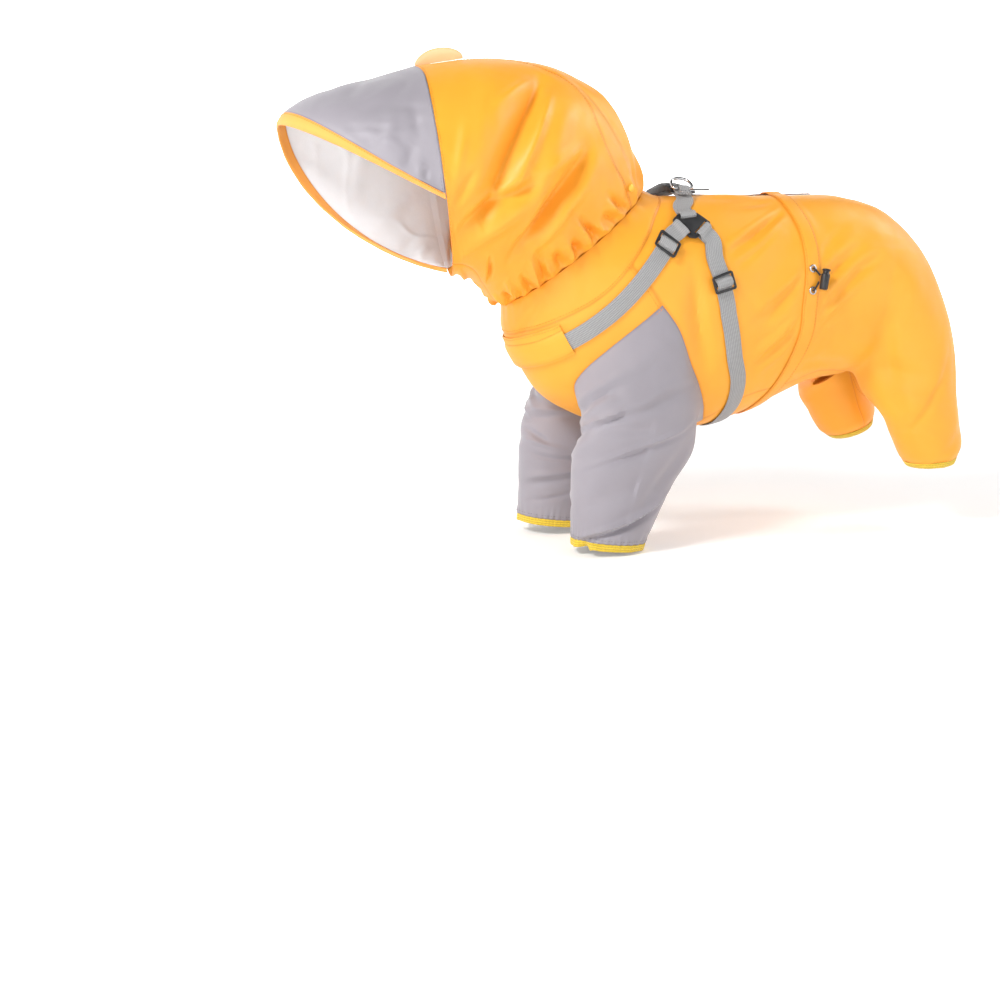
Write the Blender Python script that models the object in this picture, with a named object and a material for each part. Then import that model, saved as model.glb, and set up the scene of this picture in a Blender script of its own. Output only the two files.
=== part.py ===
"""A dog's hooded raincoat with four legs and a webbing harness, in its worn shape.

The coat is empty: each cut piece is one thin wall, and neighbours end 0.3 mm apart at their seam.
The frame has its origin at the withers, where a dog's back holds the coat up. The dog would face -X,
its left side is -Y and +Z is up. The tables are in millimetres and degrees, and the meshes in metres.

Two numbers place a point on each cloth surface: a ring's number along the surface, and the angle
round the ring from its top line, growing towards the left side.
"""
import math
from collections import namedtuple

import bmesh
import bpy
import numpy as np
from mathutils import Vector
from mathutils.geometry import delaunay_2d_cdt

MM = 0.001

# ---- driving dimensions, mm ----
CLOTH = 1.2
LINING_CLOTH = 1.0
SEAM_GAP = 0.3
LAYER_GAP = 0.4
PANEL_STEP = 21.0
HOOD_STEP = 20.0
CUFF_HEIGHT = 7.5
CUFF_COLUMNS = 24
CUFF_WALL = 1.8
WEBBING_WIDTH = 17.5
WEBBING_THICK = 1.4
BRIM_LENGTH = 146.7
BRIM_BINDING = 8.5
EAR_HALF_CHORD = 23.5
EAR_HEIGHT = 13.5
EAR_MIDDLE_RING = 5.42
EAR_LEAN = 0.45
EAR_THICK = 3.0
HIND_LEG_OFF_CENTRE = 52.0
ZIP_WIDTH = 7.0
CASING_WIDTH = 17.0

# ---- colours, linear RGB ----
ORANGE = (0.97, 0.40, 0.05)
GREY = (0.34, 0.31, 0.33)
SILVER_CLOTH = (0.62, 0.62, 0.63)
YELLOW = (0.96, 0.55, 0.04)
PEACH = (0.98, 0.62, 0.32)
WEBBING = (0.42, 0.42, 0.42)
BLACK = (0.02, 0.02, 0.022)
NAVY = (0.03, 0.04, 0.08)
STEEL = (0.7, 0.7, 0.72)

# ---- the body and the left hind leg: one row a ring, from the neck to the hind cuff ----
BodyRing = namedtuple("BodyRing", "top_x top_z low_x low_z half_width side_lift fullness")
BODY_RINGS = [
    BodyRing(-35, 7, -181, -107, 60, 0.00, 2.00),
    BodyRing(-20, 1, -178, -138, 67, 0.00, 2.05),
    BodyRing(-2, 0, -161, -171, 74, 0.02, 2.10),
    BodyRing(20, 0, -138, -202, 78, 0.04, 2.15),
    BodyRing(42, 0, -100, -224, 80, 0.05, 2.20),
    BodyRing(64, 0, -50, -235, 81, 0.05, 2.20),
    BodyRing(86, 0, 0, -243, 81, 0.05, 2.20),
    BodyRing(108, 1, 45, -239, 79, 0.05, 2.20),
    BodyRing(132, 1, 88, -227, 77, 0.05, 2.20),
    BodyRing(154, 2, 118, -215, 76, 0.05, 2.20),
    BodyRing(190, 2, 158, -199, 75, 0.04, 2.20),
    BodyRing(223, -4, 200, -191, 76, 0.02, 2.20),
    BodyRing(248, -13, 214, -190, 74, 0.00, 2.15),
    BodyRing(270, -31, 221, -197, 68, 0.00, 2.10),
    BodyRing(287, -56, 227, -208, 58, 0.00, 2.05),
    BodyRing(299, -86, 233, -219, 49, 0.00, 2.00),
    BodyRing(307, -119, 240, -231, 43, 0.00, 2.00),
    BodyRing(312, -154, 247, -243, 40, 0.00, 2.00),
    BodyRing(319, -192, 254, -256, 38, 0.00, 2.00),
    BodyRing(326, -232, 262, -270, 37, 0.00, 2.00),
    BodyRing(332, -262, 268, -280, 36, 0.00, 2.00),
    BodyRing(328, -278, 273, -286, 31, 0.00, 2.00),
]
HIP_RING = 11.5
THIGH_RING = 17.0
HIND_CUFF_RING = 21.0
TAIL_RING = 14.0
BELLY_END_RING = 11.4

# ---- how the right hind leg differs from the left one: it steps forward, lifts and leans ----
StepRow = namedtuple("StepRow", "ring forward lift lean")
RIGHT_HIND_STEP = [
    StepRow(9.5, 0, 0, 0), StepRow(11.0, 9, 1, 0), StepRow(12.0, 18, 4, 0), StepRow(13.5, 31, 9, 1),
    StepRow(15.5, 44, 14, 2), StepRow(17.0, 47, 18, 4), StepRow(19.0, 44, 22, 10), StepRow(21.0, 38, 26, 16),
]
STEP_FULL_OFF_CENTRE = 40.0

# ---- seams on the body: ring, angle ----
COLLAR_SEAM = [(1.20, 0), (1.25, 22), (1.32, 45), (1.62, 64), (1.80, 82.5), (1.78, 101),
               (1.40, 128), (1.10, 155), (1.00, 180)]
RAGLAN_ANGLE = 82.5
RAGLAN_SEAM = [(1.80, 82.5), (2.80, 87), (3.60, 92)]
BELLY_SEAM_FRONT = [(6.55, 156), (6.90, 145), (7.30, 139.5), (7.80, 139.5), (8.50, 142)]
BELLY_SEAM_REAR = [(8.50, 142), (9.15, 146), (10.10, 150), (10.80, 158), (11.40, 166)]
WAIST_EDGE = [(7.15, 0), (7.15, 12), (7.30, 31), (7.80, 55), (8.15, 77), (8.30, 93), (8.45, 103),
              (8.35, 122), (8.15, 142), (7.92, 160), (7.86, 171), (7.86, 180)]
WAIST_SEAM_BEHIND_EDGE = 0.35
OPENING_LOWER = [(11.40, 166), (12.20, 166), (13.00, 170), (14.00, 180), (15.00, 195),
                 (16.00, 222), (16.60, 248), (17.00, 270)]
OPENING_UPPER = [(17.00, -90), (16.60, -64), (16.00, -44), (15.00, -26)]

ArmholePoint = namedtuple("ArmholePoint", "ring angle sleeve_turn")
ARMHOLE_FRONT = [
    ArmholePoint(3.60, 92, 0), ArmholePoint(3.28, 106, 28), ArmholePoint(3.08, 120, 52),
    ArmholePoint(3.00, 135, 78), ArmholePoint(3.15, 148, 100), ArmholePoint(3.60, 156, 128),
    ArmholePoint(4.20, 159, 152), ArmholePoint(4.90, 160, 178), ArmholePoint(5.60, 160, 205),
    ArmholePoint(6.10, 159, 228), ArmholePoint(6.55, 156, 252),
]
ARMHOLE_REAR = [
    ArmholePoint(6.55, 156, 252), ArmholePoint(6.20, 140, 275), ArmholePoint(5.75, 126, 295),
    ArmholePoint(5.30, 116, 313), ArmholePoint(4.85, 107, 328), ArmholePoint(4.45, 100, 340),
    ArmholePoint(4.00, 95, 351), ArmholePoint(3.60, 92, 360),
]
ARMHOLE_FRONT_STEPS = 24
ARMHOLE_REAR_STEPS = 8

# ---- the left front leg below the armhole; the right one stands a little further forward ----
SleeveRing = namedtuple("SleeveRing", "x y z half_length half_width rear_drop inner_drop")
SLEEVE_RINGS = [
    SleeveRing(-55, 60, -208, 62, 34, 4, 38),
    SleeveRing(-62, 60, -245, 65, 34, 4, 22),
    SleeveRing(-73, 60, -283, 55, 34, 4, 6),
    SleeveRing(-82, 60, -318, 46, 33, 4, 0),
    SleeveRing(-89, 60, -345, 39, 32, 4, 0),
]
SLEEVE_END = 5.0
RIGHT_SLEEVE_FORWARD = 13.0
RIGHT_SLEEVE_LIFT = 4.0

# ---- the hood: one row a ring, from the neck to the face ----
HoodRing = namedtuple("HoodRing", "x y z pitch yaw roll half_height half_width")
HOOD_RINGS = [
    HoodRing(-108, 0, -50, -52, 0, 0, 92.6, 60),
    HoodRing(-121, 0, -27, -43, 1, 5, 106, 73),
    HoodRing(-141, 0, 1, -33, 4, 12, 116, 82),
    HoodRing(-168, -1, 17, -23, 7, 19, 117, 86.5),
    HoodRing(-197, -3, 24, -12, 10, 26, 112, 88),
    HoodRing(-226.5, -5, 24.5, -2, 12, 31.5, 108.5, 87.5),
    HoodRing(-253, -7.3, 20.7, 7.1, 12.6, 34.8, 107.5, 86.2),
]
FACE_RING = 6.0
FACE_PEAK = 8.0
FACE_PEAK_TURN = 25.0
FACE_PEAK_FADE = 35.0
CROWN_SEAM = [(0, 50), (0.8, 55), (1.4, 60), (2.0, 57), (2.65, 44), (4.0, 32), (6.0, 25)]
GATHERS = 30
GATHER_HEIGHT = 2.6
GATHER_SEAM_TURN = 52.0
GATHER_CALM_TURN = 6.0
PUFF_RINGS = (0.2, 0.42, 0.75)
PUFF_STEP = 6.0
NECK_STEP = 4.0
FACE_STEP = 9.0
BRIM_HALF_TURN = 136.3
BRIM_TIP_HEIGHT = 68.5
BRIM_SIDE_FLARE = 1.14
BRIM_TIP_ROUNDING = 2.32
BRIM_RISE_ROUNDING = 1.55
BRIM_CROWNING = 14.0
BRIM_LAYER_GAP = 0.6
BRIM_RIM_GAP = 0.8
LINING_RIM_GAP = 2.0
BRIM_COLUMNS = 31
BRIM_SPREAD = 78.0
BRIM_REACH = 0.955

# ---- folds: where each starts, bends and ends on its surface, its width and its depth, mm ----
Fold = namedtuple("Fold", "start middle end width depth")
HOOD_FOLDS = [
    Fold((3.3, 44), (3.8, 92), (4.6, 145), 11, 8.0),
    Fold((1.9, 66), (2.2, 102), (2.3, 130), 10, 6.0),
    Fold((2.8, 104), (3.9, 130), (5.7, 152), 11, 5.0),
    Fold((2.7, 60), (2.9, 92), (2.6, 120), 12, -4.5),
    Fold((4.4, 60), (4.7, 95), (5.0, 130), 16, -4.0),
    Fold((0.3, 118), (1.6, 128), (2.8, 140), 9, 4.5),
    Fold((0.4, 88), (1.0, 96), (1.7, 100), 8, 4.0),
    Fold((3.0, -40), (3.7, -85), (4.3, -140), 11, 7.0),
    Fold((1.7, -62), (2.1, -100), (2.4, -132), 10, 5.5),
    Fold((3.0, -108), (4.0, -132), (5.4, -150), 11, 4.5),
]
BODY_FOLDS = [
    Fold((5.3, 58), (6.1, 47), (7.0, 34), 8, 2.5),
    Fold((5.8, 66), (6.4, 56), (7.0, 46), 9, -2.0),
    Fold((6.9, 104), (7.2, 94), (7.7, 84), 8, 2.6),
    Fold((6.2, 82), (6.8, 74), (7.5, 66), 9, 2.2),
    Fold((3.4, 9), (4.8, 10), (6.2, 9), 7, -2.2),
    Fold((9.2, 74), (10.6, 82), (12.4, 86), 12, 3.0),
    Fold((9.2, 104), (10.4, 112), (11.8, 118), 11, 3.0),
    Fold((13.0, 140), (14.6, 126), (16.4, 100), 10, 3.5),
    Fold((16.6, 60), (17.4, 110), (18.0, 160), 9, 2.6),
]
SLEEVE_FOLDS = [
    Fold((1.35, 75), (1.65, 30), (1.4, -20), 8, 2.8),
    Fold((2.2, 95), (2.4, 40), (2.0, -30), 9, 3.0),
    Fold((3.9, 80), (3.2, 10), (2.5, -70), 11, 3.0),
    Fold((4.2, 30), (3.9, -30), (3.6, -90), 10, 2.2),
    Fold((1.9, 240), (2.5, 200), (2.9, 150), 8, 3.0),
]

# ---- harness: ring, angle along each strap's middle, from its junction plate on the left ----
JUNCTION_PLACE = (3.02, 51)
CHEST_STRAP = [(2.50, 70), (2.50, 88), (2.40, 103), (2.25, 116), (2.05, 132), (1.86, 150), (1.72, 166)]
CHEST_STRAP_LOW = (1.68, 180)
GIRTH_STRAP = [(4.40, 68), (4.92, 77.5), (5.40, 87), (5.90, 98), (6.35, 111), (6.75, 123),
               (7.02, 139), (7.12, 158)]
GIRTH_STRAP_LOW = (7.15, 180)
TOP_STRAP = [(2.48, 23), (2.40, 10), (2.28, -2), (2.22, -13), (2.32, -24)]

# ---- a junction plate's slots: middle (rearward, up), the way its strap leaves in degrees ----
Slot = namedtuple("Slot", "rearward up heading")
TOP_SLOT = Slot(-2.3, 8.7, 105)
CHEST_SLOT = Slot(-9.5, -2.6, 226)
GIRTH_SLOT = Slot(9.6, -2.3, 316)
PLATE_CORNERS = [(-14.4, 9.8), (-19.8, 3.6), (-19.4, 1.2), (-4.2, -13.2), (-2.6, -14.0), (3.0, -14.0),
                 (4.8, -13.0), (19.8, 2.4), (20.0, 4.6), (8.4, 14.5), (6.4, 15.0), (-13.0, 10.7)]
SLOT_HALF_LENGTH = 9.5
SLOT_HALF_WIDTH = 1.7
PLATE_EDGE_STEP = 8.0
STRAP_START = (0.0, 7.0, 14.0)

# ---- heights above the cloth, mm ----
STRAP_LAYER = 1.3
UPPER_LAYER = 3.2
HARNESS_CLEARANCE = 0.35
PLATE_LOW = 2.7
PLATE_HIGH = 4.9
SLIDE_LOW = 4.2
SLIDE_HIGH = 6.0
BUCKLE_LOW = 4.0
BUCKLE_HIGH = 9.5
BUCKLE_CROWN = 4.0

# ---- a strap's loop round a bar of a plate: along from the slot, height of the strap's middle ----
BAR_LOOP = [(8.6, 3.25), (7.2, 3.9), (6.3, 5.2), (5.0, 6.4), (2.0, 6.5), (0.6, 5.9), (0.1, 4.7), (0.1, 2.7),
            (0.5, 1.65), (1.6, 1.3)]
# ---- a strap's way through a slide buckle: along from the buckle's middle, height ----
SLIDE_WEAVE = [(-7.2, 3.2), (-5.2, 3.6), (-4.2, 4.8), (-3.3, 6.4), (-1.9, 7.2), (1.9, 7.2), (3.3, 6.4),
               (4.2, 4.8), (5.0, 3.0), (6.2, 1.7), (7.6, 1.3)]
# ---- the top strap round the buckle's end bar: along from the buckle's end, height ----
BUCKLE_LOOP = [(-20.0, 1.3), (-10.0, 2.1), (-2.0, 2.7), (2.2, 2.9), (3.8, 3.8), (4.4, 5.2), (4.4, 7.0),
               (3.9, 8.4), (2.4, 9.2), (0.0, 9.2), (-2.2, 8.0), (-5.0, 6.3), (-14.0, 5.2)]
CHEST_SLIDE_ALONG = 28.0
GIRTH_SLIDE_ALONG = 60.0
SLIDE_HALF_LENGTH = 9.0
SLIDE_HALF_WIDTH = 12.0
SLIDE_BAR = 2.0
SLIDE_CORNER = 1.6
SLIDE_END_BAR = 2.5
TAIL_LENGTH = 13.0
DOUBLED_STEP = 7.0

# ---- buckle across the withers, along the top strap from its end ----
BUCKLE_LENGTH = 48.0
BUCKLE_NEAR_END = 14.0
BUCKLE_HALF_WIDTH = 12.5
BUCKLE_SPLIT = 22.0
BUCKLE_SLOT = (2.4, 6.2)
PRONG_REACH = 14.0
PRONG_WIDTH = 2.6
BUCKLE_END_INSET = 0.5
BUCKLE_CORNER = 1.5
BUCKLE_TAPER = 8.0

# ---- leash ring on its loop, from the buckle's near end ----
RING_BAR_ALONG = -8.0
RING_BAR_HEIGHT = 9.6
RING_WIRE = 3.0
RING_HALF_WIDTH = 10.5
RING_DEPTH = 18.0
RING_SLOPE = 20.0
LOOP_WIDTH = 11.0
LOOP_THICK = 1.0
LOOP_TAIL = 9.0
LOOP_BACK = [(-3.4, 0.9), (-5.4, -0.85), (-9.0, -1.05)]

# ---- keeper patch on the chest ----
KEEPER_EDGE_ANGLE = 131.0
KEEPER_TOP_SPACE = 0.12
KEEPER_LOW_REACH = 13.5
KEEPER_TUNNEL_HALF = 10.2
KEEPER_FOOT = 13.4
KEEPER_CLEARANCE = 0.2
KEEPER_STATIONS = 13

# ---- back zip, waist casing, drawcord and snap ----
ZIP_START = (2.95, 0)
ZIP_END = (9.40, 0)
ZIP_THICK = 1.6
SLIDER_ALONG = 7.0
SLIDER_CORNERS = [(-4.5, -2.2), (-2.5, -3.6), (4.0, -3.0), (4.0, 3.0), (-2.5, 3.6), (-4.5, 2.2)]
PULL_CORNERS = [(-0.6, -2.0), (1.0, -2.6), (19.0, -3.0), (21.0, -1.6), (21.0, 1.6), (19.0, 3.0), (1.0, 2.6),
                (-0.6, 2.0)]
SLIDER_THICK = 3.1
SLIDER_GAP = 0.3
PULL_THICK = 1.4
ZIP_CLEARANCE = 0.1
CASING_CLEARANCE = 0.4
CASING_STEP = (5.0, 10.0)
EYELET_PLACES = [(8.47, 76), (8.62, 87)]
EYELET_RADIUS = 4.5
EYELET_HOLE = 2.3
CORD_DIAMETER = 2.0
CORD_LOCK_REACH = 5.9
CORD_LOCK_BEHIND = 11.0
CORD_LOCK_HEIGHT = 5.2
CORD_LOCK_LEAN = 0.18
CORD_LOCK_HOLES = (3.2, -3.4)
CORD_RISE = 3.0
EYELET_PROFILE = [(0.4, EYELET_HOLE), (0.4, EYELET_RADIUS), (1.3, EYELET_RADIUS - 0.4), (1.7, 3.3),
                  (1.3, EYELET_HOLE)]
CORD_LOCK_PROFILE = [(-10.5, 3.2), (-10.0, 4.2), (-1.5, 4.5), (5.0, 4.6), (6.2, 3.4), (8.6, 3.2), (9.0, 4.4),
                     (10.6, 4.2)]
SNAP_PLACE = (0.5, 50)
SNAP_RADIUS = 4.0
SNAP_CLEARANCE = 0.9
SNAP_PROFILE = [(0.0, 3.2), (0.5, SNAP_RADIUS), (1.4, SNAP_RADIUS), (2.0, 2.8)]


# ---------------------------------------------------------------- surfaces

def along_table(rows, position):
    """A smooth value at each position along a table's rows (Catmull-Rom, straight at both ends)."""
    table = np.asarray(rows, float)
    last = len(table) - 1
    position = np.clip(np.asarray(position, float), 0, last)
    lower = np.minimum(position.astype(int), last - 1)
    part = (position - lower)[..., None]
    here = table[lower]
    after = table[lower + 1]
    before = np.where((lower == 0)[..., None], 2 * here - after, table[np.maximum(lower - 1, 0)])
    beyond = np.where((lower == last - 1)[..., None], 2 * after - here,
                      table[np.minimum(lower + 2, last)])
    return 0.5 * (2 * here + (after - before) * part
                  + (2 * before - 5 * here + 4 * after - beyond) * part ** 2
                  + (3 * here - before - 3 * after + beyond) * part ** 3)


def smooth_step(value):
    """0 to 1 with level ends."""
    value = np.clip(value, 0, 1)
    return value * value * (3 - 2 * value)


def unit(vectors):
    """Vectors of length one."""
    return vectors / np.maximum(np.linalg.norm(vectors, axis=-1, keepdims=True), 1e-9)


class Surface:
    """A cloth surface: its smooth shape, and the folds that move it along its normal."""

    def __init__(self, shape, folds, ring_mm, degree_mm, facing, ripple=None):
        self.shape = shape
        self.folds = folds
        self.metric = np.array([ring_mm, degree_mm])
        self.facing = facing
        self.ripple = ripple

    def normal_of(self, function, ring, angle):
        step = 0.02
        along = function(ring + step, angle) - function(ring - step, angle)
        around = function(ring, angle + 1.0) - function(ring, angle - 1.0)
        return unit(np.cross(around, along)) * self.facing

    def fold_depth(self, ring, angle):
        place = np.stack([ring, angle], -1) * self.metric
        depth = np.zeros(place.shape[:-1])
        for fold in self.folds:
            start, middle, end = (np.array(p) * self.metric for p in (fold.start, fold.middle, fold.end))
            nearest = np.full(depth.shape, 1e9)
            part_there = np.zeros(depth.shape)
            for part in np.linspace(0, 1, 13):
                spot = start * (1 - part) ** 2 + 2 * middle * part * (1 - part) + end * part ** 2
                distance = np.linalg.norm(place - spot, axis=-1)
                part_there = np.where(distance < nearest, part, part_there)
                nearest = np.minimum(nearest, distance)
            taper = np.sin(np.pi * (0.08 + 0.84 * part_there))
            depth -= fold.depth * taper * np.exp(-(nearest / fold.width) ** 2)
        return depth

    def point(self, ring, angle, lift=0.0):
        """Points at ring and angle, lifted off the folded cloth along its normal."""
        ring, angle = np.broadcast_arrays(np.asarray(ring, float), np.asarray(angle, float))
        smooth = self.shape(ring, angle)
        move = self.fold_depth(ring, angle) + lift
        if self.ripple:
            move = move + self.ripple(ring, angle)
        return smooth + self.normal_of(self.shape, ring, angle) * move[..., None]

    def normal(self, ring, angle):
        ring, angle = np.broadcast_arrays(np.asarray(ring, float), np.asarray(angle, float))
        return self.normal_of(self.point, ring, angle)


def stepped(ring, angle, row, x, y, z):
    """Move the right hind leg's rings forward and up, and lean each; the middle seams stay put."""
    step = np.array(RIGHT_HIND_STEP)
    lowness = smooth_step((angle - 90) / 60)
    onset = TAIL_RING + (BELLY_END_RING - TAIL_RING) * lowness
    weight = np.maximum(smooth_step(y / STEP_FULL_OFF_CENTRE), smooth_step((ring - onset) / 3.0))
    forward, lift, lean = (np.interp(ring, step[:, 0], step[:, k]) * weight for k in (1, 2, 3))
    middle_x = 0.5 * (row[..., 0] + row[..., 2])
    middle_z = 0.5 * (row[..., 1] + row[..., 3])
    turn = np.radians(lean)
    leant_x = middle_x + (x - middle_x) * np.cos(turn) - (z - middle_z) * np.sin(turn)
    leant_z = middle_z + (x - middle_x) * np.sin(turn) + (z - middle_z) * np.cos(turn)
    return leant_x - forward, leant_z + lift


def body_shape(side):
    """The body's ring shape on one side; side is 1 on the left and -1 on the right."""
    def shape(ring, angle):
        row = along_table(BODY_RINGS, ring)
        turn = np.radians(angle)
        power = 2 / row[..., 6]
        cosine = np.sign(np.cos(turn)) * np.abs(np.cos(turn)) ** power
        sine = np.sign(np.sin(turn)) * np.abs(np.sin(turn)) ** power
        height = 0.5 * (1 + cosine) + 0.5 * row[..., 5] * np.abs(sine)
        leg = smooth_step((ring - HIP_RING) / (THIGH_RING - HIP_RING))
        x = row[..., 2] + (row[..., 0] - row[..., 2]) * height
        z = row[..., 3] + (row[..., 1] - row[..., 3]) * height
        y = HIND_LEG_OFF_CENTRE * leg + row[..., 4] * sine
        if side < 0:
            x, z = stepped(ring, angle, row, x, y, z)
        return np.stack([x, -side * y, z], -1)
    return shape


BODY = {
    side: Surface(body_shape(side), BODY_FOLDS, 26.0, 1.35, side)
    for side in (1, -1)
}


def both_sides(ring, angle):
    """The whole body as one surface: angles past 180 are on the right side."""
    right = angle > 180
    left_point = body_shape(1)(ring, np.where(right, 180, angle))
    right_point = body_shape(-1)(ring, np.where(right, 360 - angle, 180))
    return np.where(right[..., None], right_point, left_point)


def mirrored_folds(folds):
    """The folds of both sides on a surface whose right side has angles from 180 to 360."""
    right = [
        Fold(*((p[0], 360 - p[1]) for p in (fold.start, fold.middle, fold.end)), fold.width, fold.depth)
        for fold in folds
    ]
    return folds + right


TORSO = Surface(both_sides, mirrored_folds(BODY_FOLDS), 26.0, 1.35, 1)


def hood_axes(pitch, yaw, roll):
    """The forward, sideways (left) and up directions of a hood ring."""
    forward = np.array([-1.0, 0.0, 0.0])
    sideways = np.array([0.0, -1.0, 0.0])
    up = np.array([0.0, 0.0, 1.0])

    def turned(vector, axis, degrees):
        angle = math.radians(degrees)
        return (vector * math.cos(angle) + np.cross(axis, vector) * math.sin(angle)
                + axis * np.dot(axis, vector) * (1 - math.cos(angle)))

    forward, sideways = (turned(v, up, -yaw) for v in (forward, sideways))
    forward, up = (turned(v, sideways, pitch) for v in (forward, up))
    sideways, up = (turned(v, forward, roll) for v in (sideways, up))
    return forward, sideways, up


def hood_shape(ring, angle):
    """The hood's rings, turned more and more from the neck to the face."""
    rows = along_table(HOOD_RINGS, ring)
    overshoot = np.asarray(ring) - np.clip(ring, 0, FACE_RING)
    flat = rows.reshape(-1, rows.shape[-1])
    axes = np.array([hood_axes(row[3], row[4], row[5]) for row in flat])
    axes = axes.reshape(rows.shape[:-1] + (3, 3))
    turn = np.radians(angle)[..., None]
    near_top = 1 - smooth_step((np.abs(angle) - FACE_PEAK_TURN) / FACE_PEAK_FADE)
    peak = FACE_PEAK * near_top * np.clip(ring / FACE_RING, 0, 1) ** 4
    return (rows[..., :3] + axes[..., 0, :] * (overshoot * 30.0 + peak)[..., None]
            + axes[..., 2, :] * rows[..., 6:7] * np.cos(turn)
            + axes[..., 1, :] * rows[..., 7:8] * np.sin(turn))


def gather_ripple(ring, angle):
    """Small puffs above the neck seam, of uneven height."""
    rise = np.clip(ring / 0.35, 0, 1) * np.exp(-np.clip(ring - 0.35, 0, None) / 0.45)
    wave = np.cos(np.radians(angle * GATHERS)) * (0.7 + 0.3 * np.cos(np.radians(angle * 7 + 40)))
    calm = smooth_step(np.abs(np.abs(angle) - GATHER_SEAM_TURN) / GATHER_CALM_TURN)
    return GATHER_HEIGHT * rise * wave * calm


HOOD = Surface(hood_shape, HOOD_FOLDS, 46.0, 1.6, -1, gather_ripple)


# ---------------------------------------------------------------- meshes and objects

COLLECTION = bpy.data.collections.new("dog_raincoat")
CUTTERS = bpy.data.collections.new("cutters")


def clear_scene():
    """Remove every object and link the two collections."""
    for thing in list(bpy.data.objects):
        bpy.data.objects.remove(thing)
    bpy.context.scene.collection.children.link(COLLECTION)
    bpy.context.scene.collection.children.link(CUTTERS)


def finish_of(name, colour, roughness, metallic):
    """A plain material for one piece."""
    material = bpy.data.materials.new(name)
    material.use_nodes = True
    shader = material.node_tree.nodes["Principled BSDF"]
    shader.inputs["Base Color"].default_value = (*colour, 1.0)
    shader.inputs["Roughness"].default_value = roughness
    shader.inputs["Metallic"].default_value = metallic
    return material


def add_piece(name, mesh, colour, roughness=0.6, metallic=0.0, collection=COLLECTION):
    """Link a mesh as a named piece with a material of its own."""
    piece = bpy.data.objects.new(name, mesh)
    mesh.materials.append(finish_of(name, colour, roughness, metallic))
    mesh.shade_smooth()
    mesh.set_sharp_from_angle(angle=math.radians(40))
    collection.objects.link(piece)
    return piece


def mesh_from(name, vertices_mm, faces):
    """A closed mesh in metres with its faces turned outwards."""
    work = bmesh.new()
    corners = [work.verts.new(Vector(p) * MM) for p in vertices_mm]
    for face in faces:
        work.faces.new([corners[i] for i in face])
    bmesh.ops.recalc_face_normals(work, faces=work.faces)
    mesh = bpy.data.meshes.new(name)
    work.to_mesh(mesh)
    work.free()
    return mesh


def welded(points, normals, faces):
    """Join points that coincide, with the mean of their normals."""
    places = {}
    new_index = []
    for point in points:
        key = tuple(int(round(c * 1000)) for c in point)
        new_index.append(places.setdefault(key, len(places)))
    kept = np.zeros((len(places), 3))
    mean = np.zeros((len(places), 3))
    for old, new in enumerate(new_index):
        kept[new] = points[old]
        mean[new] += normals[old]
    joined = []
    for face in faces:
        ring = [new_index[i] for i in face]
        corners = [a for a, b in zip(ring, ring[1:] + ring[:1]) if a != b]
        if len(corners) > 2:
            joined.append(corners)
    return kept, unit(mean), joined


def between(name, outer, inner, faces, colour, origin=(0.0, 0.0, 0.0), **finish):
    """A closed piece between two skins that share their faces, closed round their edges."""
    count = len(outer)
    edge_faces = {}
    for face in faces:
        for a, b in zip(face, face[1:] + face[:1]):
            edge_faces.setdefault(frozenset((a, b)), []).append((a, b))
    solid = [list(face) for face in faces]
    solid += [[i + count for i in reversed(face)] for face in faces]
    for directions in edge_faces.values():
        if len(directions) == 1:
            a, b = directions[0]
            solid.append([b, a, a + count, b + count])
    corners = np.vstack([outer, inner]) - np.asarray(origin)
    piece = add_piece(name, mesh_from(name, corners, solid), colour, **finish)
    piece.location = Vector(origin) * MM
    return piece


def wall(name, points, normals, faces, thick, colour, outside=0.0, **finish):
    """Cloth of one thickness below an open skin of points."""
    points, normals, faces = welded(np.asarray(points), np.asarray(normals), faces)
    outer = points + normals * outside
    inner = points - normals * (thick - outside)
    return between(name, outer, inner, faces, colour, **finish)


def grid_faces(rows, columns, closed=False):
    """Quads over a grid of points listed row by row."""
    faces = []
    span = columns if closed else columns - 1
    for row in range(rows - 1):
        for column in range(span):
            beside = (column + 1) % columns
            faces.append([row * columns + column, row * columns + beside,
                          (row + 1) * columns + beside, (row + 1) * columns + column])
    return faces


# ---------------------------------------------------------------- seams and cut panels

def seam(points, step=PANEL_STEP, metric=(26.0, 1.35), count=None):
    """Evenly spaced points on a smooth line through a seam's table."""
    table = np.array([tuple(p) for p in points], float)
    fine = along_table(table, np.linspace(0, len(table) - 1, 40 * len(table)))
    scaled = fine[:, :2] * np.array(metric)
    travelled = np.concatenate([[0], np.cumsum(np.linalg.norm(np.diff(scaled, axis=0), axis=1))])
    if count is None:
        count = max(1, int(round(travelled[-1] / step)))
    stations = np.linspace(0, travelled[-1], count + 1)
    return np.stack([np.interp(stations, travelled, fine[:, k]) for k in range(fine.shape[1])], 1)


def outline_of(*seams):
    """Join seams end to end into one closed outline."""
    joined = []
    for line in seams:
        joined += [tuple(p[:2]) for p in line[:-1]]
    return np.array(joined)


def to_right(line):
    """The same seam on the right side, where the body's angles run from 180 to 360."""
    other = np.array(line, float)
    other[:, 1] = 360 - other[:, 1]
    return other


def inside_outline(points, outline):
    """Which points lie inside a closed outline."""
    x, y = points[:, 0], points[:, 1]
    result = np.zeros(len(points), bool)
    for (ax, ay), (bx, by) in zip(outline, np.roll(outline, -1, axis=0)):
        crosses = (ay > y) != (by > y)
        at_x = ax + (y - ay) * (bx - ax) / (by - ay if by != ay else 1e-9)
        result ^= crosses & (x < at_x)
    return result


def from_outline(points, outline):
    """Each point's distance from an outline."""
    nearest = np.full(len(points), 1e9)
    for a, b in zip(outline, np.roll(outline, -1, axis=0)):
        run = b - a
        part = np.clip(((points - a) @ run) / max(run @ run, 1e-9), 0, 1)
        nearest = np.minimum(nearest, np.linalg.norm(points - a - part[:, None] * run, axis=1))
    return nearest


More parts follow.
